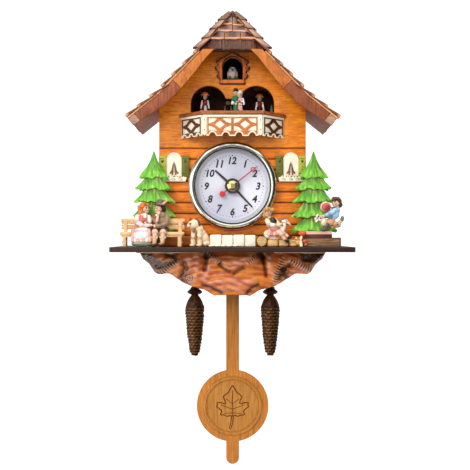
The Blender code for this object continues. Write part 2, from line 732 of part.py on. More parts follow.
# ---------------------------------------------------------------- the windows and the garden
def make_windows():
    """Each window is one moulding: an arched panel, two shutters and a flower box."""
    high = FRONT_Y - GAP
    middle, pane, shutter = 0.0536, 0.00715, 0.0067
    for name, side in SIDES:
        x = side * middle
        panel = [(x - pane, 0.007), (x + pane, 0.007), *arc(x, 0.0237, pane, 0, 180, 10)]
        window = plate(f"window_{name}", panel, high - 2.2 * MM, high, "white_paint")
        for way in (-1, 1):
            xs = sorted((x + way * (pane - 0.2 * MM), x + way * (pane + shutter)))
            low = (xs[0], high - 2.8 * MM, 0.0083)
            leaf = block(f"shutter_{name}_{way}", low, (xs[1], high, 0.0276), "green_paint")
            join(window, leaf)
        box_low = (x - 0.0118, high - 5 * MM, 0.0039)
        join(window, block(f"flower_box_{name}", box_low, (x + 0.0118, high, 0.0079), "white_paint"))


def make_trees():
    """Two flat carved fir trees, each with five skirts of branches."""
    foot = BASE_TOP + GAP
    profile = [
        (0, 31.3), (5.0, 18.0), (12.4, 6.6), (7.0, 8.4), (15.6, -3.9), (7.5, -2.0), (17.6, -15.2),
        (8.0, -13.2), (18.6, -28.8), (8.5, -26.6), (20.0, -42.0), (6.0, -40.0),
        (4.5, foot / MM), (0, foot / MM),
    ]  # fmt: skip
    flatness = 0.3
    for name, x in (("left", -0.0712), ("right", 0.0735)):
        tree = turned(f"tree_{name}", [(r * MM, z * MM) for r, z in profile], "green_paint", steps=16)
        tree.data.transform(Matrix.Diagonal((1, flatness, 1, 1)))
        tree.data.transform(Matrix.Translation((x, -0.0803, 0)))


def carving(name, material, pieces):
    """One carved figure: ellipsoids, given as centre and radii in millimetres, joined into one body."""
    made = []
    for i, (centre, radii) in enumerate(pieces):
        at = [c * MM for c in centre]
        size = [r * MM for r in radii]
        made.append(ball(name if i == 0 else f"{name}_{i}", at, size, material, 10, 7))
    return join(made[0], *made[1:])


def make_bench():
    """A garden bench with a slatted back and three pairs of legs."""
    foot = BASE_TOP + GAP
    left, right, front, back = -0.0996, -0.0429, -0.0985, -0.0870
    seat_low, seat_high = -0.0452, -0.0422
    bench = block("bench", (left, front, seat_low), (right, back, seat_high), "pale_wood")
    for i, (low, high) in enumerate(((-0.0400, -0.0354), (-0.0348, -0.0303))):
        join(bench, block(f"slat_{i}", (left, back - 1.5 * MM, low), (right, back, high), "pale_wood"))
    for i, share in enumerate((0.07, 0.5, 0.93)):
        x = left + share * (right - left)
        x0, x1 = x - 1.6 * MM, x + 1.6 * MM
        post = block(f"post_{i}", (x0, back - 2.5 * MM, foot), (x1, back - 0.5 * MM, -0.0325), "pale_wood")
        leg = block(f"leg_{i}", (x0, front + MM, foot), (x1, front + 3 * MM, seat_low + MM), "pale_wood")
        join(bench, post, leg)


def make_couple():
    """A woman and a man who sit on the bench, carved from one block."""
    y = -93.0
    pieces = [
        ((-79.0, y, -33.9), (8.0, 4.0, 8.2)),
        ((-77.8, y, -21.8), (4.7, 4.4, 5.9)),
        ((-65.0, y, -33.0), (7.2, 4.0, 8.2)),
        ((-66.0, y, -21.5), (4.2, 4.2, 6.0)),
        ((-64.5, y, -14.9), (3.6, 3.8, 2.4)),
        ((-72.0, y - 3.0, -36.0), (8.0, 2.6, 2.6)),
    ]
    couple = carving("seated_couple", "figure_paint", pieces)
    # The couple sits on the bench and leans on its back, so both are cut away from the bench's space.
    seat = block("seat_cut", (-0.104, -0.0988, -0.0600), (-0.0385, -0.0860, -0.0419), "figure_paint")
    rest = block("rest_cut", (-0.104, -0.0888, -0.0420), (-0.0385, -0.0860, -0.0300), "figure_paint")
    return cut(couple, seat, rest)


def make_dog():
    y = -92.0
    pieces = [
        ((-27.5, y, -45.5), (6.4, 4.2, 8.0)),
        ((-32.6, y - 1.0, -35.0), (5.0, 4.2, 4.6)),
        ((-37.0, y - 1.2, -36.5), (3.2, 2.8, 2.6)),
        ((-33.5, y - 1.2, -47.0), (2.4, 2.6, 8.0)),
        ((-25.4, y, -49.5), (4.8, 4.4, 5.6)),
    ]
    dog = carving("dog", "figure_paint", pieces)
    ground = block("dog_cut", (-0.05, -0.11, -0.075), (-0.01, -0.07, BASE_TOP + GAP), "figure_paint")
    return cut(dog, ground)


def make_stone_wall():
    low, high = (-0.0200, -0.0945, BASE_TOP + GAP), (0.0207, -0.0865, -0.0448)
    block("stone_wall", low, high, "white_paint")


def make_log_row():
    """One round log seen end on, and three sawn logs beside it."""
    floor = BASE_TOP + GAP
    radius = 4.9 * MM
    ends = (0.0260, -0.0950, floor + radius), (0.0260, -0.0845, floor + radius)
    row = rod("log_row", *ends, radius, "pale_wood", 18)
    sawn_top = floor + 6.0 * MM
    for i, (left, right) in enumerate(((0.0298, 0.0408), (0.0405, 0.0502), (0.0499, 0.0606))):
        edge = 0.3 * MM * (i % 2)
        low = (left, -0.0945 + edge, floor)
        join(row, block(f"sawn_log_{i}", low, (right, -0.0848 + edge, sawn_top - edge), "pale_wood"))


def make_girl():
    """A girl who sits on the sawn logs with a toy in her arms."""
    y = -89.8
    pieces = [
        ((34.8, y, -43.2), (6.8, 4.6, 5.6)),
        ((34.6, y, -34.5), (4.6, 3.8, 6.6)),
        ((31.4, y, -25.0), (4.6, 4.4, 4.9)),
        ((42.5, y, -43.5), (6.5, 3.2, 3.2)),
        ((44.6, y - 0.4, -33.8), (4.8, 3.0, 3.6)),
        ((39.6, y - 0.2, -35.0), (5.0, 2.6, 2.2)),
    ]
    girl = carving("sitting_girl", "figure_paint", pieces)
    seat_top = BASE_TOP + 2 * GAP + 6.0 * MM
    seat = block("girl_cut", (0.02, -0.11, -0.07), (0.07, -0.07, seat_top), "figure_paint")
    return cut(girl, seat)


def make_timber_stack():
    """Two sawn beams, the upper one shorter."""
    floor = BASE_TOP + GAP
    stack = block("timber_stack", (0.0622, -0.0970, floor), (0.0958, -0.0850, -0.0474), "carved_wood")
    join(stack, block("upper_beam", (0.0646, -0.0960, -0.0480), (0.0884, -0.0868, -0.0416), "carved_wood"))


def make_boy():
    """A boy who steps along the beams with a pack on his back and a basket in his hands."""
    y = -91.0
    pieces = [
        ((88.8, y, -26.6), (5.6, 4.0, 7.0)),
        ((92.9, y, -16.4), (5.0, 4.6, 5.6)),
        ((87.0, y, -33.6), (5.6, 3.8, 3.6)),
        ((83.4, y, -20.2), (5.2, 3.4, 4.8)),
        ((79.8, y - 0.5, -29.2), (5.4, 2.6, 2.6)),
        ((83.0, y, -38.2), (2.7, 2.7, 4.6)),
        ((93.4, y, -34.0), (5.2, 2.6, 2.6)),
        ((97.0, y, -30.6), (2.2, 2.4, 3.8)),
        ((76.4, y - 0.6, -31.6), (3.4, 2.8, 2.8)),
    ]
    boy = carving("stepping_boy", "figure_paint", pieces)
    floor = block("boy_cut", (0.06, -0.11, -0.06), (0.11, -0.07, -0.0413), "figure_paint")
    return cut(boy, floor)


# ---------------------------------------------------------------- the clock insert
def gear_outline(teeth, phase):
    """A wheel's outline with straight-sided teeth, the first one at angle phase."""
    pitch_r = GEAR_MODULE * teeth / 2
    tip, root = pitch_r + 0.8 * GEAR_MODULE, pitch_r - 1.15 * GEAR_MODULE
    pitch = 2 * math.pi / teeth
    points = []
    for i in range(teeth):
        middle = phase + i * pitch
        for radius, share in ((root, -0.27), (tip, -0.11), (tip, 0.11), (root, 0.27)):
            angle = middle + share * pitch
            points.append((radius * math.cos(angle), radius * math.sin(angle)))
    return points


def circle(x, z, radius, steps=20):
    return arc(x, z, radius, 0, 360, steps)[:-1]


def hand_outline(length, width, hub):
    """A plain pointed hand that stands upright, with a round hub."""
    half = width / 2
    edge = math.degrees(math.asin(half / hub))
    neck, shoulder = half * 0.8, length - MM
    return arc(0, 0, hub, 90 + edge, 450 - edge, 16) + [(neck, shoulder), (0, length), (-neck, shoulder)]


def motion_axis():
    """Where the motion wheel's axis crosses the dial's plane."""
    return GEAR_DISTANCE * math.cos(MOTION_ANGLE), GEAR_DISTANCE * math.sin(MOTION_ANGLE)


def turned_to(obj, angle):
    """Turns a hand about the dial's axis, clockwise as seen from the front, with its helpers."""
    for piece in (obj, *(m.object for m in obj.modifiers)):
        piece.matrix_world = Matrix.Rotation(angle, 4, "Y") @ piece.matrix_world


def make_insert_shell():
    """The bezel, the lens, the dial and the movement case, from front to back."""
    seat_r = 0.0355
    bezel = [
        (BEZEL_R, -70.3), (BEZEL_R, -72.0), (0.0394, -75.0), (0.0378, -77.8), (0.0358, -79.3),
        (0.0345, -79.3), (0.0338, -78.7), (0.0338, -78.2), (seat_r, -78.2), (seat_r, -70.3),
    ]  # fmt: skip
    turned("bezel", [(r, y * MM) for r, y in bezel], "chrome", axis="Y", steps=48, ring=True)
    rim = seat_r - GAP
    lens = [(0, -77.9), (rim, -77.9), (rim, -76.9), (0, -76.9)]
    turned("lens", [(r, y * MM) for r, y in lens], "glass", axis="Y", steps=40)
    dial = [(2.8 * MM, -69.0), (rim, -69.0), (rim, -68.3), (2.8 * MM, -68.3)]
    turned("dial", [(r, y * MM) for r, y in dial], "dial_silver", axis="Y", steps=40, ring=True)
    case_r, wall, back = seat_r, 1.5 * MM, INSERT_BACK
    cup = [
        (1.9 * MM, back), (case_r, back), (case_r, -0.068), (case_r - wall, -0.068),
        (case_r - wall, back - wall), (1.9 * MM, back - wall),
    ]  # fmt: skip
    case = turned("movement_case", cup, "black_plastic", axis="Y", steps=40, ring=True)
    x, z = motion_axis()
    join(case, rod("motion_stud", (x, back - 0.5 * MM, z), (x, -0.0625, z), 0.8 * MM, "steel", 12))


WHEEL_LOW, WHEEL_HIGH = -0.0615, -0.0595  # the hour wheel and the pinion that turns it
PINION_LOW, PINION_HIGH = -0.0575, -0.0555  # the minute pinion and the motion wheel that it turns
HOUR_BORE_R = 0.0018
MINUTE_R = 0.0015
SECOND_BORE_R = 0.0008


def make_hour_hand():
    """The hour hand and the hour wheel, on the two ends of one pipe."""
    bore = [circle(0, 0, HOUR_BORE_R)]
    outline = hand_outline(21.8 * MM, 1.5 * MM, 3.4 * MM)
    hand = plate("hour_hand", outline, -0.0704, -0.0699, "black_plastic", holes=bore)
    turned_to(hand, HOUR_ANGLE)
    pipe = plate("hour_pipe", circle(0, 0, 2.4 * MM, 24), -0.0702, WHEEL_HIGH - 0.5 * MM, "brass", holes=bore)
    teeth = gear_outline(HOUR_WHEEL_TEETH, MOTION_ANGLE)
    join(hand, pipe, plate("hour_gear", teeth, WHEEL_LOW, WHEEL_HIGH, "brass", holes=bore))


def make_motion_wheel():
    """The wheel that the minute pinion turns, with the pinion that turns the hour wheel."""
    bore = [circle(0, 0, 1.0 * MM, 16)]
    facing = MOTION_ANGLE + math.pi
    teeth = gear_outline(MOTION_WHEEL_TEETH, facing + math.pi / MOTION_WHEEL_TEETH)
    wheel = plate("motion_wheel", teeth, PINION_LOW, PINION_HIGH, "brass", holes=bore)
    teeth = gear_outline(MOTION_PINION_TEETH, facing + math.pi / MOTION_PINION_TEETH)
    pinion = plate("motion_pinion", teeth, WHEEL_LOW, PINION_HIGH - 0.5 * MM, "brass", holes=bore)
    join(wheel, pinion)
    x, z = motion_axis()
    for piece in (wheel, pinion):
        piece.matrix_world = Matrix.Translation((x, 0, z))


def make_minute_hand():
    """The minute hand, and its arbor with the pinion and the knob that sets the time."""
    outline = hand_outline(26.8 * MM, 1.3 * MM, 3.2 * MM)
    bore = [circle(0, 0, MINUTE_R + GAP)]
    turned_to(plate("minute_hand", outline, -0.0716, -0.0711, "black_plastic", holes=bore), MINUTE_ANGLE)
    knob_low, knob_high, bore_end = INSERT_BACK + 0.6 * MM, INSERT_BACK + 6 * MM, -0.0645
    arbor = [
        (SECOND_BORE_R, -0.0717), (MINUTE_R, -0.0717), (MINUTE_R, knob_low), (5 * MM, knob_low),
        (5 * MM, knob_high), (0, knob_high), (0, bore_end), (SECOND_BORE_R, bore_end),
    ]  # fmt: skip
    spindle = turned("minute_arbor", arbor, "brass", axis="Y", steps=20, ring=True)
    teeth = gear_outline(MINUTE_PINION_TEETH, MOTION_ANGLE)
    pinion = plate("minute_pinion", teeth, PINION_LOW, PINION_HIGH, "brass")
    cut(pinion, rod("pinion_bore", (0, -0.06, 0), (0, -0.05, 0), 1.2 * MM, "brass", 12))
    join(spindle, pinion)


def make_second_hand():
    """The second hand, with a ring near its tip and a disc on its tail, and the brass cap over its hub."""
    thick, thin = (-0.07275, -0.07225), (-0.07265, -0.07235)
    tail_r = 12 * MM
    ring_z, ring_hole = 24.2 * MM, 1.5 * MM
    second = plate("second_hand", hand_outline(29.3 * MM, 0.8 * MM, 2.6 * MM), -0.0727, -0.0723, "red_paint")
    hole = [circle(0, ring_z, ring_hole)]
    ring = plate("second_ring", circle(0, ring_z, 2.4 * MM), *thick, "red_paint", holes=hole)
    tail = plate("second_tail", rectangle(-0.5 * MM, 0.5 * MM, -tail_r, 0), *thin, "red_paint")
    disc = plate("second_disc", circle(0, -tail_r, 2.7 * MM), *thick, "red_paint")
    pin = rod("second_arbor", (0, -0.0725, 0), (0, -0.0655, 0), 0.5 * MM, "steel", 10)
    turned_to(join(second, ring, tail, disc, pin), SECOND_ANGLE)
    dome = [(0, -75.9), (2.2, -75.7), (4.2, -75.1), (5.4, -74.2), (5.6, -73.9)]
    skirt = [(7.0, -73.7), (7.0, -73.0), (0, -73.0)]
    turned("centre_cap", [(r * MM, y * MM) for r, y in dome + skirt], "brass", axis="Y", steps=32)


# ---------------------------------------------------------------- the pendulum and the weights
def make_driver():
    """The pendulum driver on the back panel, with its battery and the pin that the pendulum hangs on."""
    low, high = (-0.028, -0.022, -0.0500), (0.028, -BACK_T - 2 * GAP, -0.0100)
    driver = block("pendulum_driver", low, high, "black_plastic")
    battery_z, battery_y, battery_r, battery_half = -0.0410, -0.0126, 0.0072, 0.0252
    bay_r, bay_half = battery_r + 0.6 * MM, battery_half + 0.5 * MM
    low, high = (-bay_half, battery_y - bay_r, battery_z - bay_r), (bay_half, 0, battery_z + bay_r)
    cut(driver, block("battery_bay", low, high, "black_plastic"))
    join(driver, rod("hanger_pin", (0, -0.0225 + MM, PIVOT_Z), (0, -0.0335, PIVOT_Z), 1.2 * MM, "steel", 16))
    cell = [(0, -25.2), (7.2, -25.2), (7.2, 24.0), (2.7, 24.0), (2.7, 25.2), (0, 25.2)]
    battery = turned("battery", [(r * MM, h * MM) for r, h in cell], "battery_green", steps=20)
    battery.data.transform(Matrix.Rotation(math.radians(90), 4, "Y"))
    battery.data.transform(Matrix.Translation((0, battery_y, battery_z)))


def make_pendulum():
    """The flat wooden pendulum in one piece, its turned medallion and the strip that hangs on the pin."""
    top = -0.0205
    edge = math.degrees(math.asin(BLADE_HALF / BOB_R))
    right = [
        *arc(0, BLADE_END + BLADE_HALF, BLADE_HALF, 270, 360, 6),
        *arc(0, BOB_Z, BOB_R, edge - 90, 90 - edge, 20),
        (BLADE_HALF, top),
    ]
    outline = right + mirrored(right[1:])
    low, high = PENDULUM_Y - BLADE_T / 2, PENDULUM_Y + BLADE_T / 2
    hang = (0, PENDULUM_Y, PIVOT_Z)
    set_origin(plate("pendulum_blade", outline, low, high, "pendulum_wood"), hang)
    face = low - GAP
    medal = [
        (0, face - 0.4 * MM), (25.4 * MM, face - 0.4 * MM), (26.2 * MM, face - 1.2 * MM),
        (27.4 * MM, face - 1.4 * MM), (28.6 * MM, face - 0.9 * MM), (28.7 * MM, face), (0, face),
    ]  # fmt: skip
    medallion = turned("bob_medallion", medal, "pendulum_wood", centre=(0, 0, BOB_Z), axis="Y", steps=40)
    set_origin(medallion, hang)
    strip = high + GAP
    eye = circle(0, PIVOT_Z, 1.4 * MM, 16)
    outline = [(-3.5 * MM, -0.045), (3.5 * MM, -0.045), *arc(0, PIVOT_Z, 3.5 * MM, 0, 180, 10)]
    hanger = plate("hanger_strip", outline, strip, strip + 0.9 * MM, "brass", holes=[eye])
    ends = (0, strip + 0.5 * MM, -0.040), (0, strip + 4 * MM, -0.040)
    magnet = rod("drive_magnet", *ends, 2.5 * MM, "steel", 14)
    set_origin(join(hanger, magnet), hang)


def loop(x, y, z, radius, across, start, sweep, steps):
    """Points of a bent loop about an axis along X or Y."""
    points = []
    for i in range(steps + 1):
        angle = math.radians(start + sweep * i / steps)
        side, up = radius * math.cos(angle), radius * math.sin(angle)
        points.append((x + side, y, z + up) if across == "Y" else (x, y + side, z + up))
    return points


def make_weights():
    """Two pine-cone weights, each on a bent wire that hangs in a screw eye under the shelf."""
    wire_r = 0.5 * MM
    cone = [
        (0, CONE_TOP / MM), (2.4, -92.3), (3.6, -93.5), (4.2, -95.4), (6.7, -97.7), (6.4, -98.6),
        (2.9, -100.4), (4.4, -102.6), (7.2, -107.0), (8.8, -112.0), (8.7, -118.0), (7.9, -130.0),
        (6.4, -143.0), (5.1, -151.0), (4.2, -154.8), (2.4, -156.6), (0, -156.9),
    ]  # fmt: skip
    for name, side in SIDES:
        x = side * WEIGHT_X
        shank = [(x, WEIGHT_Y, BASE_TOP - BASE_T - GAP), (x, WEIGHT_Y, EYE_Z + 2.6 * MM)]
        eye = loop(x, WEIGHT_Y, EYE_Z, 2.3 * MM, "Y", 90, -325, 14)
        wire(f"screw_eye_{name}", shank + eye, wire_r, "brass")
        stem = [(x, WEIGHT_Y, CONE_TOP - MM), (x, WEIGHT_Y, LOOP_Z - 2.3 * MM)]
        hook = loop(x, WEIGHT_Y, LOOP_Z, 2.0 * MM, "X", -90, -325, 14)
        body = turned(
            f"weight_{name}", [(r * MM, z * MM) for r, z in cone], "bronze", centre=(x, WEIGHT_Y, 0), steps=16
        )
        join(body, wire(f"weight_wire_{name}", stem + hook, wire_r, "bronze"))
        set_origin(body, (x, WEIGHT_Y, HOOK_Z))


def main():
    start_scene()
    make_front_panel()
    make_back_panel()
    make_rear_door()
    make_walls()
    make_base_board()
    make_corbel()
    make_roof_boards()
    make_shingles()
    make_hip_roof()
    make_bargeboards()
    make_bird_frame()
    make_bird()
    make_stage()
    make_dancers()
    make_balcony()
    make_windows()
    make_trees()
    make_bench()
    make_couple()
    make_dog()
    make_stone_wall()
    make_log_row()
    make_girl()
    make_timber_stack()
    make_boy()
    make_insert_shell()
    make_hour_hand()
    make_motion_wheel()
    make_minute_hand()
    make_second_hand()
    make_driver()
    make_pendulum()
    make_weights()


main()
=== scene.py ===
import math
import random

import bmesh
import bpy
import numpy as np
from mathutils import Euler, Matrix, Vector, noise


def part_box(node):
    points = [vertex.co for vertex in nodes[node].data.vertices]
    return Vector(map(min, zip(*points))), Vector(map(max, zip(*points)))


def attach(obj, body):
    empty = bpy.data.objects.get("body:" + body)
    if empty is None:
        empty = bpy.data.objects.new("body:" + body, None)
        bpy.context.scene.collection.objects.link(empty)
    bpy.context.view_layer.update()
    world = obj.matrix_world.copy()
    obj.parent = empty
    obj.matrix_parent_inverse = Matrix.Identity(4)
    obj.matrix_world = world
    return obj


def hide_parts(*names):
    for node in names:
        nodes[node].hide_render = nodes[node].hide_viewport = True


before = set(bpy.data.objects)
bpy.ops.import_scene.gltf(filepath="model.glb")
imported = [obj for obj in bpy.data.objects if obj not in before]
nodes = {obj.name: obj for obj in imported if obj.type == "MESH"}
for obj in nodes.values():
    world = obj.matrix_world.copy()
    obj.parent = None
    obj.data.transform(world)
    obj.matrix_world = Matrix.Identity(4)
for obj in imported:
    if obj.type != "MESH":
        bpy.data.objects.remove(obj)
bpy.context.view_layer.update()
mm = 0.001
sides = (("left", -1), ("right", 1))


def tint(red, green, blue):
    return tuple((c / 255) ** 2.2 for c in (red, green, blue)) + (1.0,)


# ---- shapes: a shape is (points, faces), in millimetres, and closed
def taken(bm):
    bm.verts.index_update()
    shape = [v.co.copy() for v in bm.verts], [tuple(v.index for v in f.verts) for f in bm.faces]
    bm.free()
    return shape


def moved(shape, matrix):
    return [matrix @ Vector(p) for p in shape[0]], shape[1]


def shifted(shape, x=0.0, y=0.0, z=0.0):
    return moved(shape, Matrix.Translation((x, y, z)))


def joined(*shapes):
    points, faces = [], []
    for some, more in shapes:
        start = len(points)
        points += some
        faces += [tuple(start + i for i in f) for f in more]
    return points, faces


def roundedBox(low, high, edge=0.3, steps=2):
    bm = bmesh.new()
    bmesh.ops.create_cube(bm, size=1)
    low, high = Vector(low), Vector(high)
    bmesh.ops.scale(bm, vec=high - low, verts=bm.verts)
    bmesh.ops.bevel(
        bm, geom=bm.edges[:], offset=edge, segments=steps, profile=0.5, affect="EDGES", clamp_overlap=True
    )
    bmesh.ops.translate(bm, vec=(low + high) / 2, verts=bm.verts)
    return taken(bm)


facings = {
    "X": Matrix(((0, 0, 1), (1, 0, 0), (0, 1, 0))).to_4x4(),
    "Y": Matrix(((1, 0, 0), (0, 0, -1), (0, 1, 0))).to_4x4(),
    "Z": Matrix.Identity(4),
}


def slab(outline, low, high, edge=0.25, holes=(), facing="Y", steps=1):
    # a flat outline with holes and softened edges, from low to high along the facing axis
    curve = bpy.data.curves.new("outline", "CURVE")
    curve.dimensions, curve.fill_mode = "2D", "BOTH"
    edge = min(edge, (high - low) * 0.45)
    curve.extrude = (high - low) / 2 - edge
    curve.bevel_depth, curve.offset, curve.bevel_resolution = edge, -edge, steps
    for points in (outline, *holes):
        spline = curve.splines.new("POLY")
        spline.points.add(len(points) - 1)
        for spot, (a, b) in zip(spline.points, points):
            spot.co = (a, b, 0, 1)
        spline.use_cyclic_u = True
    obj = bpy.data.objects.new("outline", curve)
    bpy.context.scene.collection.objects.link(obj)
    bpy.context.view_layer.update()
    mesh = bpy.data.meshes.new_from_object(obj.evaluated_get(bpy.context.evaluated_depsgraph_get()))
    bm = bmesh.new()
    bm.from_mesh(mesh)
    bmesh.ops.remove_doubles(bm, verts=bm.verts, dist=0.0005)
    bpy.data.objects.remove(obj)
    bpy.data.curves.remove(curve)
    bpy.data.meshes.remove(mesh)
    middle = Vector((0, 0, 0))
    middle["XYZ".index(facing)] = (low + high) / 2
    return moved(taken(bm), Matrix.Translation(middle) @ facings[facing])


def turned(profile, steps=32, centre=(0, 0, 0), axis="Z", ring=False, wave=None):
    # (radius, height) points turned about an axis; wave(angle, row) scales the radius
    points, faces, rows = [], [], []
    for row, (radius, height) in enumerate(profile):
        if radius < 1e-6:
            rows.append([len(points)] * steps)
            points.append(Vector((0, 0, height)))
            continue
        rows.append(list(range(len(points), len(points) + steps)))
        for i in range(steps):
            angle = 2 * math.pi * i / steps
            r = radius * (wave(angle, row) if wave else 1)
            points.append(Vector((r * math.cos(angle), r * math.sin(angle), height)))
    pairs = list(zip(rows, rows[1:])) + ([(rows[-1], rows[0])] if ring else [])
    for first, second in pairs:
        for i in range(steps):
            j = (i + 1) % steps
            face = []
            for k in (first[i], first[j], second[j], second[i]):
                if k not in face:
                    face.append(k)
            if len(face) > 2:
                faces.append(tuple(face))
    turn = Matrix.Rotation(math.radians(90), 4, "X") if axis == "Y" else Matrix.Identity(4)
    if axis == "X":
        turn = Matrix.Rotation(math.radians(90), 4, "Y")
    return moved((points, faces), Matrix.Translation(centre) @ turn)


def ball(centre, radii, steps=20, turn=(0, 0, 0)):
    rings = max(6, steps // 2)
    profile = [(math.sin(math.pi * i / rings), -math.cos(math.pi * i / rings)) for i in range(rings + 1)]
    profile[0], profile[-1] = (0, -1), (0, 1)
    place = Matrix.Translation(centre) @ Euler([math.radians(a) for a in turn]).to_matrix().to_4x4()
    return moved(turned(profile, steps), place @ Matrix.Diagonal((*radii, 1)))


def tube(path, radius, sides=8, closed=False, flat=1.0):
    # a round bar along a path; radius is one number, or one for each point
    path = [Vector(p) for p in path]
    count = len(path)
    radii = radius if isinstance(radius, (list, tuple)) else [radius] * count
    points, faces, across = [], [], None
    for i, point in enumerate(path):
        before, after = path[i - 1 if closed else max(i - 1, 0)], path[(i + 1) % count if closed else min(i + 1, count - 1)]
        along = (after - before).normalized()
        if across is None:
            across = along.orthogonal().normalized()
        across = (across - along * across.dot(along)).normalized()
        up = along.cross(across)
        for k in range(sides):
            angle = 2 * math.pi * k / sides
            points.append(point + radii[i] * (math.cos(angle) * across + flat * math.sin(angle) * up))
    for i in range(count if closed else count - 1):
        j = (i + 1) % count
        for k in range(sides):
            m = (k + 1) % sides
            faces.append((i * sides + k, i * sides + m, j * sides + m, j * sides + k))
    if not closed:
        faces += [tuple(range(sides))[::-1], tuple(range((count - 1) * sides, count * sides))]
    return points, faces


def arc(x, z, radius, start, end, steps):
    angles = [math.radians(start + (end - start) * i / steps) for i in range(steps + 1)]
    return [(x + radius * math.cos(a), z + radius * math.sin(a)) for a in angles]


def circle(x, z, radius, steps=32):
    return arc(x, z, radius, 0, 360, steps)[:-1]


def rectangle(x0, x1, z0, z1):
    return [(x0, z0), (x1, z0), (x1, z1), (x0, z1)]


def mirrored(points):
    return [(-x, z) for x, z in reversed(points)]


def sided(points, side):
    return points if side > 0 else mirrored(points)


def smoothed(points, rounds=2, closed=True):
    # cuts the corners of an outline
    for _ in range(rounds):
        ends = zip(points, points[1:] + points[:1]) if closed else zip(points, points[1:])
        cut = []
        for (a, b), (c, d) in ends:
            cut += [(0.75 * a + 0.25 * c, 0.75 * b + 0.25 * d), (0.25 * a + 0.75 * c, 0.25 * b + 0.75 * d)]
        points = cut if closed else [points[0], *cut, points[-1]]
    return points


def blended(low, high, value):
    t = min(max((value - low) / (high - low), 0), 1)
    return t * t * (3 - 2 * t)


# ---- making a piece: its object at the origin, its place in its mesh, in metres
def makeMesh(name, shapes, materials, smooth=40, colours=None):
    mesh = bpy.data.meshes.new(name)
    points, faces, slots = [], [], []
    for shape, slot in shapes:
        start = len(points)
        points += [tuple(c * mm for c in p) for p in shape[0]]
        faces += [tuple(start + i for i in f) for f in shape[1]]
        slots += [slot] * len(shape[1])
    mesh.from_pydata(points, [], faces)
    mesh.polygons.foreach_set("material_index", slots)
    bm = bmesh.new()
    bm.from_mesh(mesh)
    bmesh.ops.recalc_face_normals(bm, faces=bm.faces)
    bm.to_mesh(mesh)
    bm.free()
    for material in materials:
        mesh.materials.append(material)
    if colours:
        paintPoints(mesh, [colours(Vector(p) / mm) for p in points])
    mesh.shade_smooth()
    mesh.set_sharp_from_angle(angle=math.radians(smooth))
    return mesh


def paintPoints(mesh, colours, name="paint"):
    layer = mesh.color_attributes.new(name, "FLOAT_COLOR", "POINT")
    layer.data.foreach_set("color", np.array(colours, np.float32).reshape(-1))


def settle(mesh, name, body, stands=()):
    piece = bpy.data.objects.new(name, mesh)
    bpy.context.scene.collection.objects.link(piece)
    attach(piece, body)
    if stands:
        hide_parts(*stands)
    return piece


def makePiece(name, shapes, materials, body="case", stands=(), smooth=40, colours=None):
    return settle(makeMesh(name, shapes, materials, smooth, colours), name, body, stands)


def frozen(obj):
    # the object's evaluated shape as a plain mesh; the object and its modifiers go
    bpy.context.view_layer.update()
    mesh = bpy.data.meshes.new_from_object(obj.evaluated_get(bpy.context.evaluated_depsgraph_get()))
    old = obj.data
    bpy.data.objects.remove(obj)
    bpy.data.meshes.remove(old)
    return mesh


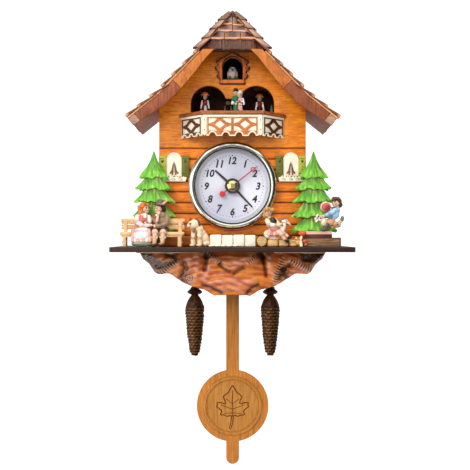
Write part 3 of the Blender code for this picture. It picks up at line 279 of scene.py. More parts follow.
# ---- finishes
class Finish:
    # one material's nodes, with a short call for each kind
    def __init__(self, name):
        self.material = bpy.data.materials.new(name)
        self.material.use_nodes = True
        self.tree = self.material.node_tree
        self.surface = self.tree.nodes["Principled BSDF"]
        self.place = self.add("ShaderNodeTexCoord").outputs["Object"]

    def add(self, kind, **settings):
        node = self.tree.nodes.new(kind)
        for key, value in settings.items():
            setattr(node, key, value)
        return node

    def plug(self, source, socket):
        if isinstance(source, bpy.types.NodeSocket):
            self.tree.links.new(source, socket)
        else:
            socket.default_value = source

    def mapped(self, scale, turn=(0, 0, 0), shift=(0, 0, 0)):
        node = self.add("ShaderNodeMapping")
        self.plug(self.place, node.inputs["Vector"])
        node.inputs["Scale"].default_value = scale
        node.inputs["Rotation"].default_value = [math.radians(a) for a in turn]
        node.inputs["Location"].default_value = shift
        return node.outputs["Vector"]

    def cloud(self, scale, detail=3.0, rough=0.55, warp=0.0, turn=(0, 0, 0)):
        # noise; scale is repeats for each metre, one number or one for each axis
        node = self.add("ShaderNodeTexNoise")
        scale = scale if isinstance(scale, (list, tuple)) else (scale,) * 3
        self.plug(self.mapped(scale, turn), node.inputs["Vector"])
        for key, value in (("Scale", 1.0), ("Detail", detail), ("Roughness", rough), ("Distortion", warp)):
            node.inputs[key].default_value = value
        return node.outputs["Fac"]

    def ramp(self, factor, *stops):
        node = self.add("ShaderNodeValToRGB")
        self.plug(factor, node.inputs["Fac"])
        ramp = node.color_ramp
        while len(ramp.elements) < len(stops):
            ramp.elements.new(0.5)
        for element, (at, colour) in zip(ramp.elements, stops):
            element.position = at
            element.color = colour if isinstance(colour, (list, tuple)) else (colour, colour, colour, 1)
        return node.outputs["Color"]

    def mix(self, factor, a, b, blend="MIX"):
        node = self.add("ShaderNodeMix", data_type="RGBA", blend_type=blend)
        self.plug(factor, node.inputs[0])
        self.plug(a, node.inputs[6])
        self.plug(b, node.inputs[7])
        return node.outputs[2]

    def sum(self, operation, *values):
        node = self.add("ShaderNodeMath", operation=operation)
        for value, socket in zip(values, node.inputs):
            self.plug(value, socket)
        return node.outputs[0]

    def attribute(self, name, kind="Fac"):
        return self.add("ShaderNodeAttribute", attribute_name=name).outputs[kind]

    def bump(self, height, strength, distance=0.3, normal=None):
        node = self.add("ShaderNodeBump")
        node.inputs["Strength"].default_value = strength
        node.inputs["Distance"].default_value = distance * mm
        self.plug(height, node.inputs["Height"])
        if normal:
            self.plug(normal, node.inputs["Normal"])
        self.plug(node.outputs["Normal"], self.surface.inputs["Normal"])
        return node.outputs["Normal"]

    def set(self, **values):
        for key, value in values.items():
            name = {"color": "Base Color", "rough": "Roughness", "metal": "Metallic", "coat": "Coat Weight"}
            name.update(coatRough="Coat Roughness", ior="IOR", alpha="Alpha", specular="Specular IOR Level")
            name.update(clear="Transmission Weight", sheen="Sheen Weight", under="Subsurface Weight")
            self.plug(value, self.surface.inputs[name[key]])
        return self.material


def woodFinish(name, look):
    made = Finish(name)
    lines, along = 1000 / look.get("grain", 1.1), "xyz".index(look.get("along", "x"))
    stretch = [lines] * 3
    stretch[along] = lines / look.get("long", 16)
    turn = look.get("turn", (0, 0, 0))
    grain = made.cloud(stretch, 5, 0.62, look.get("warp", 0.6), turn)
    fine = made.cloud([s * 3.3 for s in stretch], 3, 0.6, 0.2, turn)
    patch = made.cloud(1000 / look.get("patch", 14), 3, 0.55, 0.4)
    colour = made.ramp(grain, (0.3, look["dark"]), (0.5, look["mid"]), (0.72, look["light"]))
    shade = made.ramp(patch, (0.3, look.get("dim", 0.72)), (0.5, 0.98), (0.7, look.get("bright", 1.16)))
    colour = made.mix(1.0, colour, shade, "MULTIPLY")
    pores = made.ramp(fine, (0.3, look.get("pore", 0.62)), (0.46, 1.0))
    colour = made.mix(look.get("pores", 0.7), colour, pores, "MULTIPLY")
    if "tone" in look:  # each board or shingle has its own shade
        tone = made.ramp(made.attribute("tone"), (0.0, 1 - look["tone"]), (1.0, 1 + look["tone"]))
        colour = made.mix(1.0, colour, tone, "MULTIPLY")
    if "edge" in look:  # worn or cut edges are lighter
        colour = made.mix(made.attribute("edge"), colour, look["edge"])
    if "over" in look:
        colour = look["over"](made, colour)
    rough = look.get("rough", 0.45)
    made.set(
        color=colour,
        rough=made.ramp(fine, (0.2, rough + 0.12), (0.8, rough - 0.08)),
        coat=look.get("coat", 0.25),
        coatRough=look.get("coatRough", 0.25),
    )
    first = made.bump(grain, look.get("bump", 0.25), 0.35)
    made.bump(fine, look.get("bump", 0.25) * 0.8, 0.15, first)
    return made.material


def paintFinish(name, look):
    # brushed paint: the colour comes from the points, or from one colour, and a dark wash, partly a painter's wash and
    # partly painted shade, lies in the hollows
    made = Finish(name)
    brush = made.cloud(1000 / look.get("brush", 1.4), 4, 0.6, 0.8)
    patch = made.cloud(1000 / look.get("patch", 5), 2, 0.5, 0.3)
    colour = look["colour"] if "colour" in look else made.attribute("paint", "Color")
    vary = look.get("vary", 0.14)
    colour = made.mix(1.0, colour, made.ramp(brush, (0.3, 1 - vary), (0.7, 1 + vary)), "MULTIPLY")
    colour = made.mix(1.0, colour, made.ramp(patch, (0.3, 1 - vary), (0.7, 1 + vary * 0.6)), "MULTIPLY")
    if look.get("washAndShade"):
        washAndShade = made.sum("MULTIPLY", made.attribute("washAndShade"), look["washAndShade"])
        colour = made.mix(washAndShade, colour, look.get("washColour", tint(70, 42, 26)))
    rough = look.get("rough", 0.42)
    made.set(
        color=colour,
        rough=made.ramp(brush, (0.3, rough + 0.08), (0.7, rough - 0.08)),
        coat=look.get("coat", 0.15),
        coatRough=look.get("coatRough", 0.3),
    )
    made.bump(brush, look.get("bump", 0.15), 0.2)
    return made.material


def metalFinish(name, look):
    made = Finish(name)
    smear = made.cloud(1000 / look.get("smear", 9), 4, 0.6, 0.5)
    hair = made.cloud([1000 / h for h in look.get("hair", (0.4, 6, 0.4))], 3, 0.6)
    colour = made.mix(made.ramp(smear, (0.35, 0.0), (0.75, 1.0)), look["colour"], look.get("dull", look["colour"]))
    if look.get("washAndShade"):
        colour = made.mix(made.sum("MULTIPLY", made.attribute("washAndShade"), look["washAndShade"]), colour, look["washColour"])
    if "edge" in look:
        colour = made.mix(made.attribute("edge"), colour, look["edge"])
    rough = look.get("rough", 0.15)
    made.set(color=colour, metal=look.get("metal", 1.0), rough=made.ramp(smear, (0.3, rough), (0.8, rough * 1.6 + 0.02)))
    made.bump(hair, look.get("bump", 0.05), 0.05)
    return made.material


# ---- scattering: one Geometry Nodes tree sets a stamp on every spot, turned, sized and slightly varied
def buildScatterTree():
    tree = bpy.data.node_groups.new("scatterStamps", "GeometryNodeTree")
    face = tree.interface
    face.new_socket("Geometry", in_out="INPUT", socket_type="NodeSocketGeometry")
    for label, kind in (
        ("Stamp", "NodeSocketObject"),
        ("Seed", "NodeSocketInt"),
        ("Lean", "NodeSocketVector"),
        ("Size Change", "NodeSocketFloat"),
        ("Finish", "NodeSocketMaterial"),
    ):
        face.new_socket(label, in_out="INPUT", socket_type=kind)
    face.new_socket("Geometry", in_out="OUTPUT", socket_type="NodeSocketGeometry")
    new, link = tree.nodes.new, tree.links.new
    source, result = new("NodeGroupInput"), new("NodeGroupOutput")
    stamp = new("GeometryNodeObjectInfo")
    link(source.outputs["Stamp"], stamp.inputs["Object"])
    turn, size = new("GeometryNodeInputNamedAttribute"), new("GeometryNodeInputNamedAttribute")
    for node, name in ((turn, "turn"), (size, "size")):
        node.data_type = "FLOAT_VECTOR"
        node.inputs["Name"].default_value = name
    place = new("GeometryNodeInstanceOnPoints")
    link(source.outputs["Geometry"], place.inputs["Points"])
    link(stamp.outputs["Geometry"], place.inputs["Instance"])
    link(turn.outputs["Attribute"], place.inputs["Rotation"])
    link(size.outputs["Attribute"], place.inputs["Scale"])
    lean = new("FunctionNodeRandomValue")
    lean.data_type = "FLOAT_VECTOR"
    less = new("ShaderNodeVectorMath")
    less.operation = "SCALE"
    less.inputs["Scale"].default_value = -1.0
    link(source.outputs["Lean"], less.inputs[0])
    link(less.outputs[0], lean.inputs[0])
    link(source.outputs["Lean"], lean.inputs[1])
    link(source.outputs["Seed"], lean.inputs["Seed"])
    rotate = new("GeometryNodeRotateInstances")
    rotate.inputs["Local Space"].default_value = True
    link(place.outputs["Instances"], rotate.inputs["Instances"])
    link(lean.outputs["Value"], rotate.inputs["Rotation"])
    grow = new("FunctionNodeRandomValue")
    grow.data_type = "FLOAT"
    least, most = new("ShaderNodeMath"), new("ShaderNodeMath")
    least.operation, most.operation = "SUBTRACT", "ADD"
    for node in (least, most):
        node.inputs[0].default_value = 1.0
        link(source.outputs["Size Change"], node.inputs[1])
    link(least.outputs[0], grow.inputs[2])
    link(most.outputs[0], grow.inputs[3])
    link(source.outputs["Seed"], grow.inputs["Seed"])
    resize = new("GeometryNodeScaleInstances")
    link(rotate.outputs["Instances"], resize.inputs["Instances"])
    link(grow.outputs[1], resize.inputs["Scale"])
    tone = new("FunctionNodeRandomValue")
    tone.data_type = "FLOAT"
    link(source.outputs["Seed"], tone.inputs["Seed"])
    keep = new("GeometryNodeStoreNamedAttribute")
    keep.data_type, keep.domain = "FLOAT", "INSTANCE"
    keep.inputs["Name"].default_value = "tone"
    link(resize.outputs["Instances"], keep.inputs["Geometry"])
    link(tone.outputs[1], keep.inputs["Value"])
    real, paint = new("GeometryNodeRealizeInstances"), new("GeometryNodeSetMaterial")
    link(keep.outputs["Geometry"], real.inputs["Geometry"])
    link(real.outputs["Geometry"], paint.inputs["Geometry"])
    link(source.outputs["Finish"], paint.inputs["Material"])
    link(paint.outputs["Geometry"], result.inputs["Geometry"])
    return tree


scatterTree = buildScatterTree()


def scattered(name, stamp, spots, finish, seed=1, lean=(0, 0, 0), change=0.0, smooth=40):
    # spots are (point, rotation matrix, size) in millimetres; stamp is a mesh in metres
    mesh = bpy.data.meshes.new(name)
    mesh.from_pydata([[c * mm for c in p] for p, _, _ in spots], [], [])
    turn = mesh.attributes.new("turn", "FLOAT_VECTOR", "POINT")
    turn.data.foreach_set("vector", [a for _, m, _ in spots for a in m.to_euler("XYZ")])
    size = mesh.attributes.new("size", "FLOAT_VECTOR", "POINT")
    size.data.foreach_set("vector", [a for _, _, s in spots for a in s])
    stampObject = bpy.data.objects.new(name + "Stamp", stamp)
    obj = bpy.data.objects.new(name, mesh)
    for o in (stampObject, obj):
        bpy.context.scene.collection.objects.link(o)
    modifier = obj.modifiers.new("scatter", "NODES")
    modifier.node_group = scatterTree
    given = {"Stamp": stampObject, "Seed": seed, "Size Change": change, "Finish": finish}
    given["Lean"] = [math.radians(a) for a in lean]
    for item in scatterTree.interface.items_tree:
        if item.in_out == "INPUT" and item.name in given:
            modifier[item.identifier] = given[item.name]
    made = frozen(obj)
    bpy.data.objects.remove(stampObject)
    made.name = name
    made.shade_smooth()
    made.set_sharp_from_angle(angle=math.radians(smooth))
    return made


def frameOf(forward, up):
    # a rotation matrix whose y looks along forward and whose z is near up
    y = Vector(forward).normalized()
    x = y.cross(Vector(up)).normalized()
    z = x.cross(y)
    return Matrix((x, y, z)).transposed()


# ---- camera, light and room
def buildStudio():
    world = bpy.data.worlds.new("room")
    bpy.context.scene.world = world
    world.use_nodes = True
    tree = world.node_tree
    back = tree.nodes["Background"]
    back.inputs["Color"].default_value = (1, 1, 1, 1)
    path, pick = tree.nodes.new("ShaderNodeLightPath"), tree.nodes.new("ShaderNodeMapRange")
    pick.inputs["To Min"].default_value, pick.inputs["To Max"].default_value = 0.46, 1.25
    tree.links.new(path.outputs["Is Camera Ray"], pick.inputs["Value"])
    tree.links.new(pick.outputs["Result"], back.inputs["Strength"])
    cameraData = bpy.data.cameras.new("camera")
    cameraData.lens, cameraData.sensor_width = 58.28, 36.0
    cameraData.clip_start, cameraData.clip_end = 0.05, 20
    camera = bpy.data.objects.new("camera", cameraData)
    camera.location = (0.0023, -0.770, -0.045)
    camera.rotation_euler = (math.radians(90), 0, 0)
    bpy.context.scene.collection.objects.link(camera)
    bpy.context.scene.camera = camera
    lamps = (
        ("keyLamp", (-0.75, -1.15, 0.75), 0.6, 12.0),
        ("fillLamp", (0.80, -1.20, 0.25), 0.5, 3.5),
        ("frontLamp", (-0.30, -1.40, 0.30), 0.35, 4.0),
        ("topLamp", (0.1, -0.3, 1.2), 0.6, 6.0),
        ("rearLamp", (-0.5, 1.2, 0.6), 0.8, 8.0),
    )
    for name, place, size, power in lamps:
        light = bpy.data.lights.new(name, "AREA")
        light.shape, light.size, light.energy = "DISK", size, power
        lamp = bpy.data.objects.new(name, light)
        lamp.location = place
        lamp.rotation_euler = (Vector((0, -0.05, -0.05)) - Vector(place)).to_track_quat("-Z", "Y").to_euler()
        bpy.context.scene.collection.objects.link(lamp)
        lamp.visible_glossy = name == "topLamp"
    floorMesh = makeMesh("floor", [(slab(circle(0, 0, 900, 96), -610, -600, 3, facing="Z"), 0)], [floorFinish()])
    floor = bpy.data.objects.new("floor", floorMesh)
    bpy.context.scene.collection.objects.link(floor)
    # dark cards out of view, which the polished bezel mirrors
    card = paintFinish("cardBlack", {"colour": (0.004, 0.006, 0.005, 1), "rough": 0.8, "coat": 0})
    green = paintFinish("cardGreen", {"colour": (0.01, 0.09, 0.03, 1), "rough": 0.8, "coat": 0})
    bright = Finish("cardBright")
    bright.plug(bright.ramp(bright.cloud(3, 2), (0.3, tint(250, 250, 232)), (0.7, tint(222, 228, 200))), bright.surface.inputs["Emission Color"])
    bright.surface.inputs["Emission Strength"].default_value = 1.15
    bright = bright.material
    cards = (
        ("cardRight", (0.40, -0.30, 0.0), (0.72, 0.70), card),
        ("cardLow", (0.0, -0.32, -0.40), (0.80, 0.72), card),
        ("cardUpper", (-0.30, -0.16, 0.22), (0.10, 0.12), green),
        ("cardLeft", (-0.46, -0.40, -0.06), (0.95, 0.60), bright),
        ("cardTop", (0.0, -0.40, 0.55), (0.90, 0.90), bright),
    )
    for name, place, (wide, high), material in cards:
        sheet = roundedBox((-wide * 500, -2, -high * 500), (wide * 500, 2, high * 500), 1)
        turn = (Vector((0, -0.075, 0)) - Vector(place)).to_track_quat("-Y", "Z").to_matrix().to_4x4()
        shape = moved(sheet, Matrix.Translation(Vector(place) / mm) @ turn)
        board = bpy.data.objects.new(name, makeMesh(name, [(shape, 0)], [material]))
        bpy.context.scene.collection.objects.link(board)
        board.visible_camera = board.visible_diffuse = board.visible_shadow = board.visible_transmission = False
    bpy.context.scene.view_settings.view_transform = "Standard"
    print("studio ready")


def floorFinish():
    made = Finish("paleFloor")
    soft = made.cloud(1.4, 2)
    made.set(color=made.ramp(soft, (0.2, (0.80, 0.80, 0.79, 1)), (0.8, (0.86, 0.86, 0.85, 1))), rough=0.7)
    made.bump(made.cloud(300, 2), 0.03)
    return made.material


# ---- measures shared by the pieces, from the CAD boxes
frontBox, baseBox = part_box("front_panel"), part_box("base_board")
houseHalf = frontBox[1].x / mm
frontY = frontBox[0].y / mm
baseTop, baseLow = baseBox[1].z / mm, baseBox[0].z / mm
gap = 0.3
house = {"logHeight": 10.05, "logs": 9, "grooveDepth": 0.95, "panelThick": 5.0, "wallThick": 4.0}
roof = {
    "line": [(0.0, 158.0), (29.0, 118.0), (66.0, 80.0), (93.0, 58.5)],
    "thick": 3.0,
    "front": -98.0,
    "back": -0.5,
    "courses": 10,
    "hipTop": -74.0,
    "bargeTop": 118.8,
}
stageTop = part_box("stage_deck")[1].z / mm


def heightOn(segment, x):
    (x0, z0), (x1, z1) = segment
    return z0 + (z1 - z0) * (x - x0) / (x1 - x0)


def crossing(first, second):
    slopes = [(s[1][1] - s[0][1]) / (s[1][0] - s[0][0]) for s in (first, second)]
    x = (second[0][1] - first[0][1] + slopes[0] * first[0][0] - slopes[1] * second[0][0]) / (slopes[0] - slopes[1])
    return x, heightOn(first, x)


def below(line, distance):
    shiftedLines = []
    for (x0, z0), (x1, z1) in zip(line, line[1:]):
        length = math.hypot(x1 - x0, z1 - z0)
        nx, nz = (z1 - z0) / length * distance, (x0 - x1) / length * distance
        shiftedLines.append(((x0 + nx, z0 + nz), (x1 + nx, z1 + nz)))
    found = [(0.0, heightOn(shiftedLines[0], 0.0))]
    found += [crossing(a, b) for a, b in zip(shiftedLines, shiftedLines[1:])]
    return found + [shiftedLines[-1][1]]


def alongRoof(distance, rise):
    # the point that far up the roof from its eave, raised square to it, and the way up the slope
    left, line = distance, roof["line"]
    for (x1, z1), (x0, z0) in zip(line[::-1], line[-2::-1]):
        length = math.hypot(x1 - x0, z1 - z0)
        if left <= length or x0 == 0.0:
            share = left / length
            x, z = x1 + (x0 - x1) * share, z1 + (z0 - z1) * share
            return (x + (z0 - z1) / length * rise, z + (x1 - x0) / length * rise), ((x0 - x1) / length, (z0 - z1) / length)
        left -= length


def roofLength():
    return sum(math.dist(a, b) for a, b in zip(roof["line"], roof["line"][1:]))


def houseOutline(drop):
    line = below(roof["line"], drop)
    eave = (houseHalf, heightOn((line[-2], line[-1]), houseHalf))
    right = [(houseHalf, baseTop + gap), eave] + [p for p in reversed(line) if 0 < p[0] < houseHalf]
    return right + [line[0]] + mirrored(right)


def doorwayOutline(half, sill, spring, steps=16):
    return [(-half, sill), (half, sill), *arc(0, spring, half, 0, 180, steps)]


def logDepth(z):
    # how far the front of a log lies behind the flat at this height
    if z > baseTop + house["logs"] * house["logHeight"] + 1.6:
        return 0.0
    off = (z - baseTop) % house["logHeight"]
    off = min(off, house["logHeight"] - off)
    table = ((0.0, 0.95), (0.35, 0.8), (0.6, 0.42), (1.2, 0.2), (2.4, 0.06), (4.0, 0.0), (9.0, 0.0))
    for (a, deep), (b, less) in zip(table, table[1:]):
        if off <= b:
            return deep + (less - deep) * (off - a) / (b - a)
    return 0.0


def logLines():
    found = []
    for i in range(house["logs"] + 1):
        middle = baseTop + i * house["logHeight"]
        found += [middle + side * d for d in (0.0, 0.35, 0.6, 1.2, 2.4) for side in (-1, 1)]
    return sorted(set(round(z, 3) for z in found if z > baseTop + gap))


def logShade(made, colour):
    # painted shade in the grooves between the logs and on the lower half of each, up to the balcony
    apart = made.add("ShaderNodeSeparateXYZ")
    made.plug(made.place, apart.inputs[0])
    height = made.sum("DIVIDE", made.sum("SUBTRACT", apart.outputs["Z"], baseTop * mm), house["logHeight"] * mm)
    wobble = made.sum("MULTIPLY", made.sum("SUBTRACT", made.cloud((60, 60, 200), 3), 0.5), 0.16)
    part = made.sum("FRACT", made.sum("ADD", height, wobble))
    groovePaintedShade = made.ramp(
        made.sum("FRACT", height), (0.0, 0.22), (0.045, 0.34), (0.09, 0.86), (0.5, 1.0), (0.93, 0.94), (0.965, 0.4), (1.0, 0.22)
    )
    # each log's face darkens towards its lower and upper edge: painted shade on the rounded log
    soft = made.ramp(part, (0.0, 0.70), (0.18, 0.92), (0.45, 1.06), (0.8, 1.0), (1.0, 0.78))
    shadedLogColour = made.mix(1.0, made.mix(1.0, colour, groovePaintedShade, "MULTIPLY"), soft, "MULTIPLY")
    shadedLogColour = made.mix(1.0, shadedLogColour, (1.0, 0.86, 0.62, 1), "MULTIPLY")
    low = made.sum("LESS_THAN", height, house["logs"] + 0.08)
    return made.mix(low, colour, shadedLogColour)


wallLook = {
    "light": tint(255, 166, 46),
    "mid": tint(238, 132, 22),
    "dark": tint(198, 92, 14),
    "along": "x",
    "grain": 1.5,
    "long": 9,
    "warp": 1.2,
    "patch": 9,
    "dim": 0.78,
    "bright": 1.12,
    "pore": 0.74,
    "coat": 0.35,
    "over": logShade,
}
bargeLooks = {
    "upper": dict(wallLook, light=tint(212, 130, 54), mid=tint(192, 106, 38), dark=tint(158, 80, 28), along="z", over=lambda m, c: c),
    "lower": {"light": tint(164, 90, 52), "mid": tint(138, 70, 38), "dark": tint(102, 48, 26), "along": "z", "patch": 9, "coat": 0.3},
    "tip": {"light": tint(190, 150, 124), "mid": tint(166, 126, 102), "dark": tint(132, 96, 76), "grain": 0.6, "coat": 0.1},
    "edge": {"light": tint(240, 178, 120), "mid": tint(222, 150, 94), "dark": tint(190, 116, 64), "grain": 0.7, "coat": 0.2},
    "under": {"light": tint(196, 112, 56), "mid": tint(168, 88, 42), "dark": tint(128, 62, 30), "along": "y", "coat": 0.2},
}


def buildHouse():
    honey = woodFinish("honeyWood", wallLook)
    thick = house["panelThick"]
    right = [(46.7, stageTop - 3.3), (46.7, stageTop + gap), (38.4, stageTop + gap)]
    lowest = math.degrees(math.asin((80.5 - 76.0) / 16.4))
    opening = right + arc(22, 76, 16.4, 0, 180 - lowest, 20)
    opening += mirrored(opening)
    holes = [opening, doorwayOutline(9.0, 98.0, 109.4), circle(0, 0, 36.0, 72)]
    panel = slab(houseOutline(3.3), frontY, frontY + thick, 0.3, holes)
    bm = bmesh.new()
    made = bpy.data.meshes.new("panel")
    made.from_pydata(*[panel[0], [], panel[1]])
    bm.from_mesh(made)
    bpy.data.meshes.remove(made)
    for z in logLines():
        geometry = bm.verts[:] + bm.edges[:] + bm.faces[:]
        bmesh.ops.bisect_plane(bm, geom=geometry, dist=0.0001, plane_co=(0, 0, z), plane_no=(0, 0, 1))
    for vert in bm.verts:
        if vert.co.y < frontY + 1.2:
            vert.co.y += logDepth(vert.co.z)
    makePiece("frontLogs", [(taken(bm), 0)], [honey], stands=["front_panel"], smooth=50)
    for name, side in sides:
        low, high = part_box(f"side_wall_{name}")
        low, high = low / mm, high / mm
        outer, inner = (high.x, low.x) if side > 0 else (low.x, high.x)
        zs = [low.z, *[z for z in logLines() if low.z + 0.4 < z < high.z - 0.4], high.z]
        outline = [(outer - side * logDepth(z), z) for z in zs] + [(inner, high.z), (inner, low.z)]
        wall = slab(outline, low.y, high.y, 0.12)
        makePiece(f"sideLogs.{name}", [(wall, 0)], [honey], stands=[f"side_wall_{name}"], smooth=50)
    print("house walls made")


def buildBase():
    low, high = baseBox[0] / mm, baseBox[1] / mm
    slot = rectangle(-13.5, 13.5, -34.5, -25.5)
    shelf = slab(rectangle(low.x, high.x, low.y, high.y), low.z, high.z, 0.35, [slot], "Z", 2)
    dark = {"light": tint(70, 34, 20), "mid": tint(50, 22, 13), "dark": tint(28, 12, 7), "grain": 1.4, "coat": 0.25, "rough": 0.45}
    makePiece("shelfBoard", [(shelf, 0)], [woodFinish("shelfWood", dark)], stands=["base_board"])
    # battens of bare wood glued under the shelf, behind the carved apron's upper edge
    bare = {"light": tint(238, 210, 170), "mid": tint(214, 176, 130), "dark": tint(160, 120, 86), "grain": 0.9, "coat": 0.1}
    battens = []
    for x0, x1, y0, tall in ((-89, -62, -66, 1.5), (-61, -30, -81, 0.9), (38, 74, -79, 1.0), (64, 86, -66, 1.6)):
        battens.append((roundedBox((x0, y0, low.z - gap - tall), (x1, y0 + 7, low.z - 0.05), 0.25), 0))
    makePiece("shelfBattens", battens, [woodFinish("battenWood", bare)])


# ---- the roof: loose shingles in courses, the hip, and the bargeboards
shingleLook = {
    "light": tint(112, 54, 32),
    "mid": tint(68, 30, 19),
    "dark": tint(30, 12, 8),
    "along": "z",
    "grain": 0.8,
    "long": 12,
    "patch": 7,
    "tone": 0.3,
    "edge": tint(228, 158, 118),
    "rough": 0.5,
    "coat": 0.2,
    "bump": 0.5,
}
shingles = {"long": 20.0, "wide": 13.0, "butt": 2.7, "thin": 0.9, "tilt": 3.2, "gapWide": 0.35, "seed": 11}


def shingleStamp(long, wide, butt, thin):
    # a tapered shingle lying on its back: y runs up the slope, z away from the roof
    bm = bmesh.new()
    rows, columns = 5, 3
    grid = {}
    for layer in (0, 1):
        for i in range(rows + 1):
            for j in range(columns + 1):
                v, u = i / rows, j / columns - 0.5
                thick = butt + (thin - butt) * v
                ragged = 0.35 * math.sin(j * 2.3 + 0.7) if i == 0 else 0
                bend = 0.12 * math.cos(math.pi * u) - 0.1
                grid[layer, i, j] = bm.verts.new((u * wide, v * long + ragged, bend + (thick if layer else 0)))
    for layer in (0, 1):
        for i in range(rows):
            for j in range(columns):
                bm.faces.new([grid[layer, a, b] for a, b in ((i, j), (i, j + 1), (i + 1, j + 1), (i + 1, j))])
    rim = [(0, j) for j in range(columns + 1)] + [(i, columns) for i in range(1, rows + 1)]
    rim += [(rows, j) for j in range(columns - 1, -1, -1)] + [(i, 0) for i in range(rows - 1, 0, -1)]
    for a, b in zip(rim, rim[1:] + rim[:1]):
        bm.faces.new((grid[0, *a], grid[0, *b], grid[1, *b], grid[1, *a]))
    bmesh.ops.recalc_face_normals(bm, faces=bm.faces)
    rims = [e for e in bm.edges if e.calc_face_angle(0) > 0.9]
    bmesh.ops.bevel(bm, geom=rims, offset=0.16, segments=1, affect="EDGES", clamp_overlap=True)
    bmesh.ops.scale(bm, vec=(mm, mm, mm), verts=bm.verts)
    mesh = bpy.data.meshes.new("shingle")
    bm.to_mesh(mesh)
    bm.free()
    worn = mesh.attributes.new("edge", "FLOAT", "POINT")
    values = []
    for v in mesh.vertices:
        butted = v.co.y < 0.5 * mm
        rim = abs(v.co.x) > (wide / 2 - 0.35) * mm and v.co.z > 0.5 * mm
        values.append(0.95 if butted else 0.3 if rim else 0.0)
    worn.data.foreach_set("value", values)
    return mesh


def buildRoof():
    shingleWood = woodFinish("shingleWood", shingleLook)
    course = roofLength() / roof["courses"]
    chance = random.Random(shingles["seed"])
    for name, side in sides:
        spots = []
        for row in range(roof["courses"]):
            (x, z), (dx, dz) = alongRoof(row * course + chance.uniform(-0.3, 0.3), 0.5)
            start = -102.0
            if z > 117:  # the courses beside the hip stop where it leans back
                start = -98.5 - (z - 118) / 40 * (roof["front"] - roof["hipTop"])
            y = start
            while y < roof["back"] - 5:
                wide = shingles["wide"] * chance.uniform(0.72, 1.25)
                if y + wide > roof["back"] - 5:
                    wide = roof["back"] - y
                slide = chance.uniform(-0.7, 0.7) - (0.4 if y == start else 0)
                place = (side * (x + dx * slide), y + wide / 2, z + dz * slide)
                slopeUp = Vector((side * dx, 0, dz))
                out = Vector((side * -dz, 0, dx)) * -1
                if out.z < 0:
                    out = -out
                turn = Matrix.Rotation(math.radians(shingles["tilt"]), 3, out.cross(slopeUp)) @ frameOf(slopeUp, out)
                turn = Matrix.Rotation(math.radians(chance.uniform(-1.2, 1.2)), 3, out) @ turn
                long = shingles["long"] if row < roof["courses"] - 1 else course
                flat = 0.45 if z > 117 else 1
                spots.append((place, turn, ((wide - shingles["gapWide"]) / 10, long / shingles["long"], flat)))
                y += wide
        stamp = shingleStamp(shingles["long"], 10.0, shingles["butt"], shingles["thin"])
        mesh = scattered(f"shingles.{name}", stamp, spots, shingleWood, seed=3 + side, lean=(1.0, 0.8, 0.5), change=0.02)
        settle(mesh, f"shingles.{name}", "case", [f"shingles_{name}"])
    buildHip(shingleWood)
    buildBarges()
    for name, _ in sides:
        give(f"roof_board_{name}", woodFinish(f"roofBoardWood.{name}", bargeLooks["under"]))
    print("roof made")


def give(node, *materials):
    # a CAD node keeps its shape and takes a finish
    slots = nodes[node].data.materials
    for i in range(max(1, len(slots))):
        material = materials[min(i, len(materials) - 1)]
        if len(slots):
            slots[i] = material
        else:
            slots.append(material)


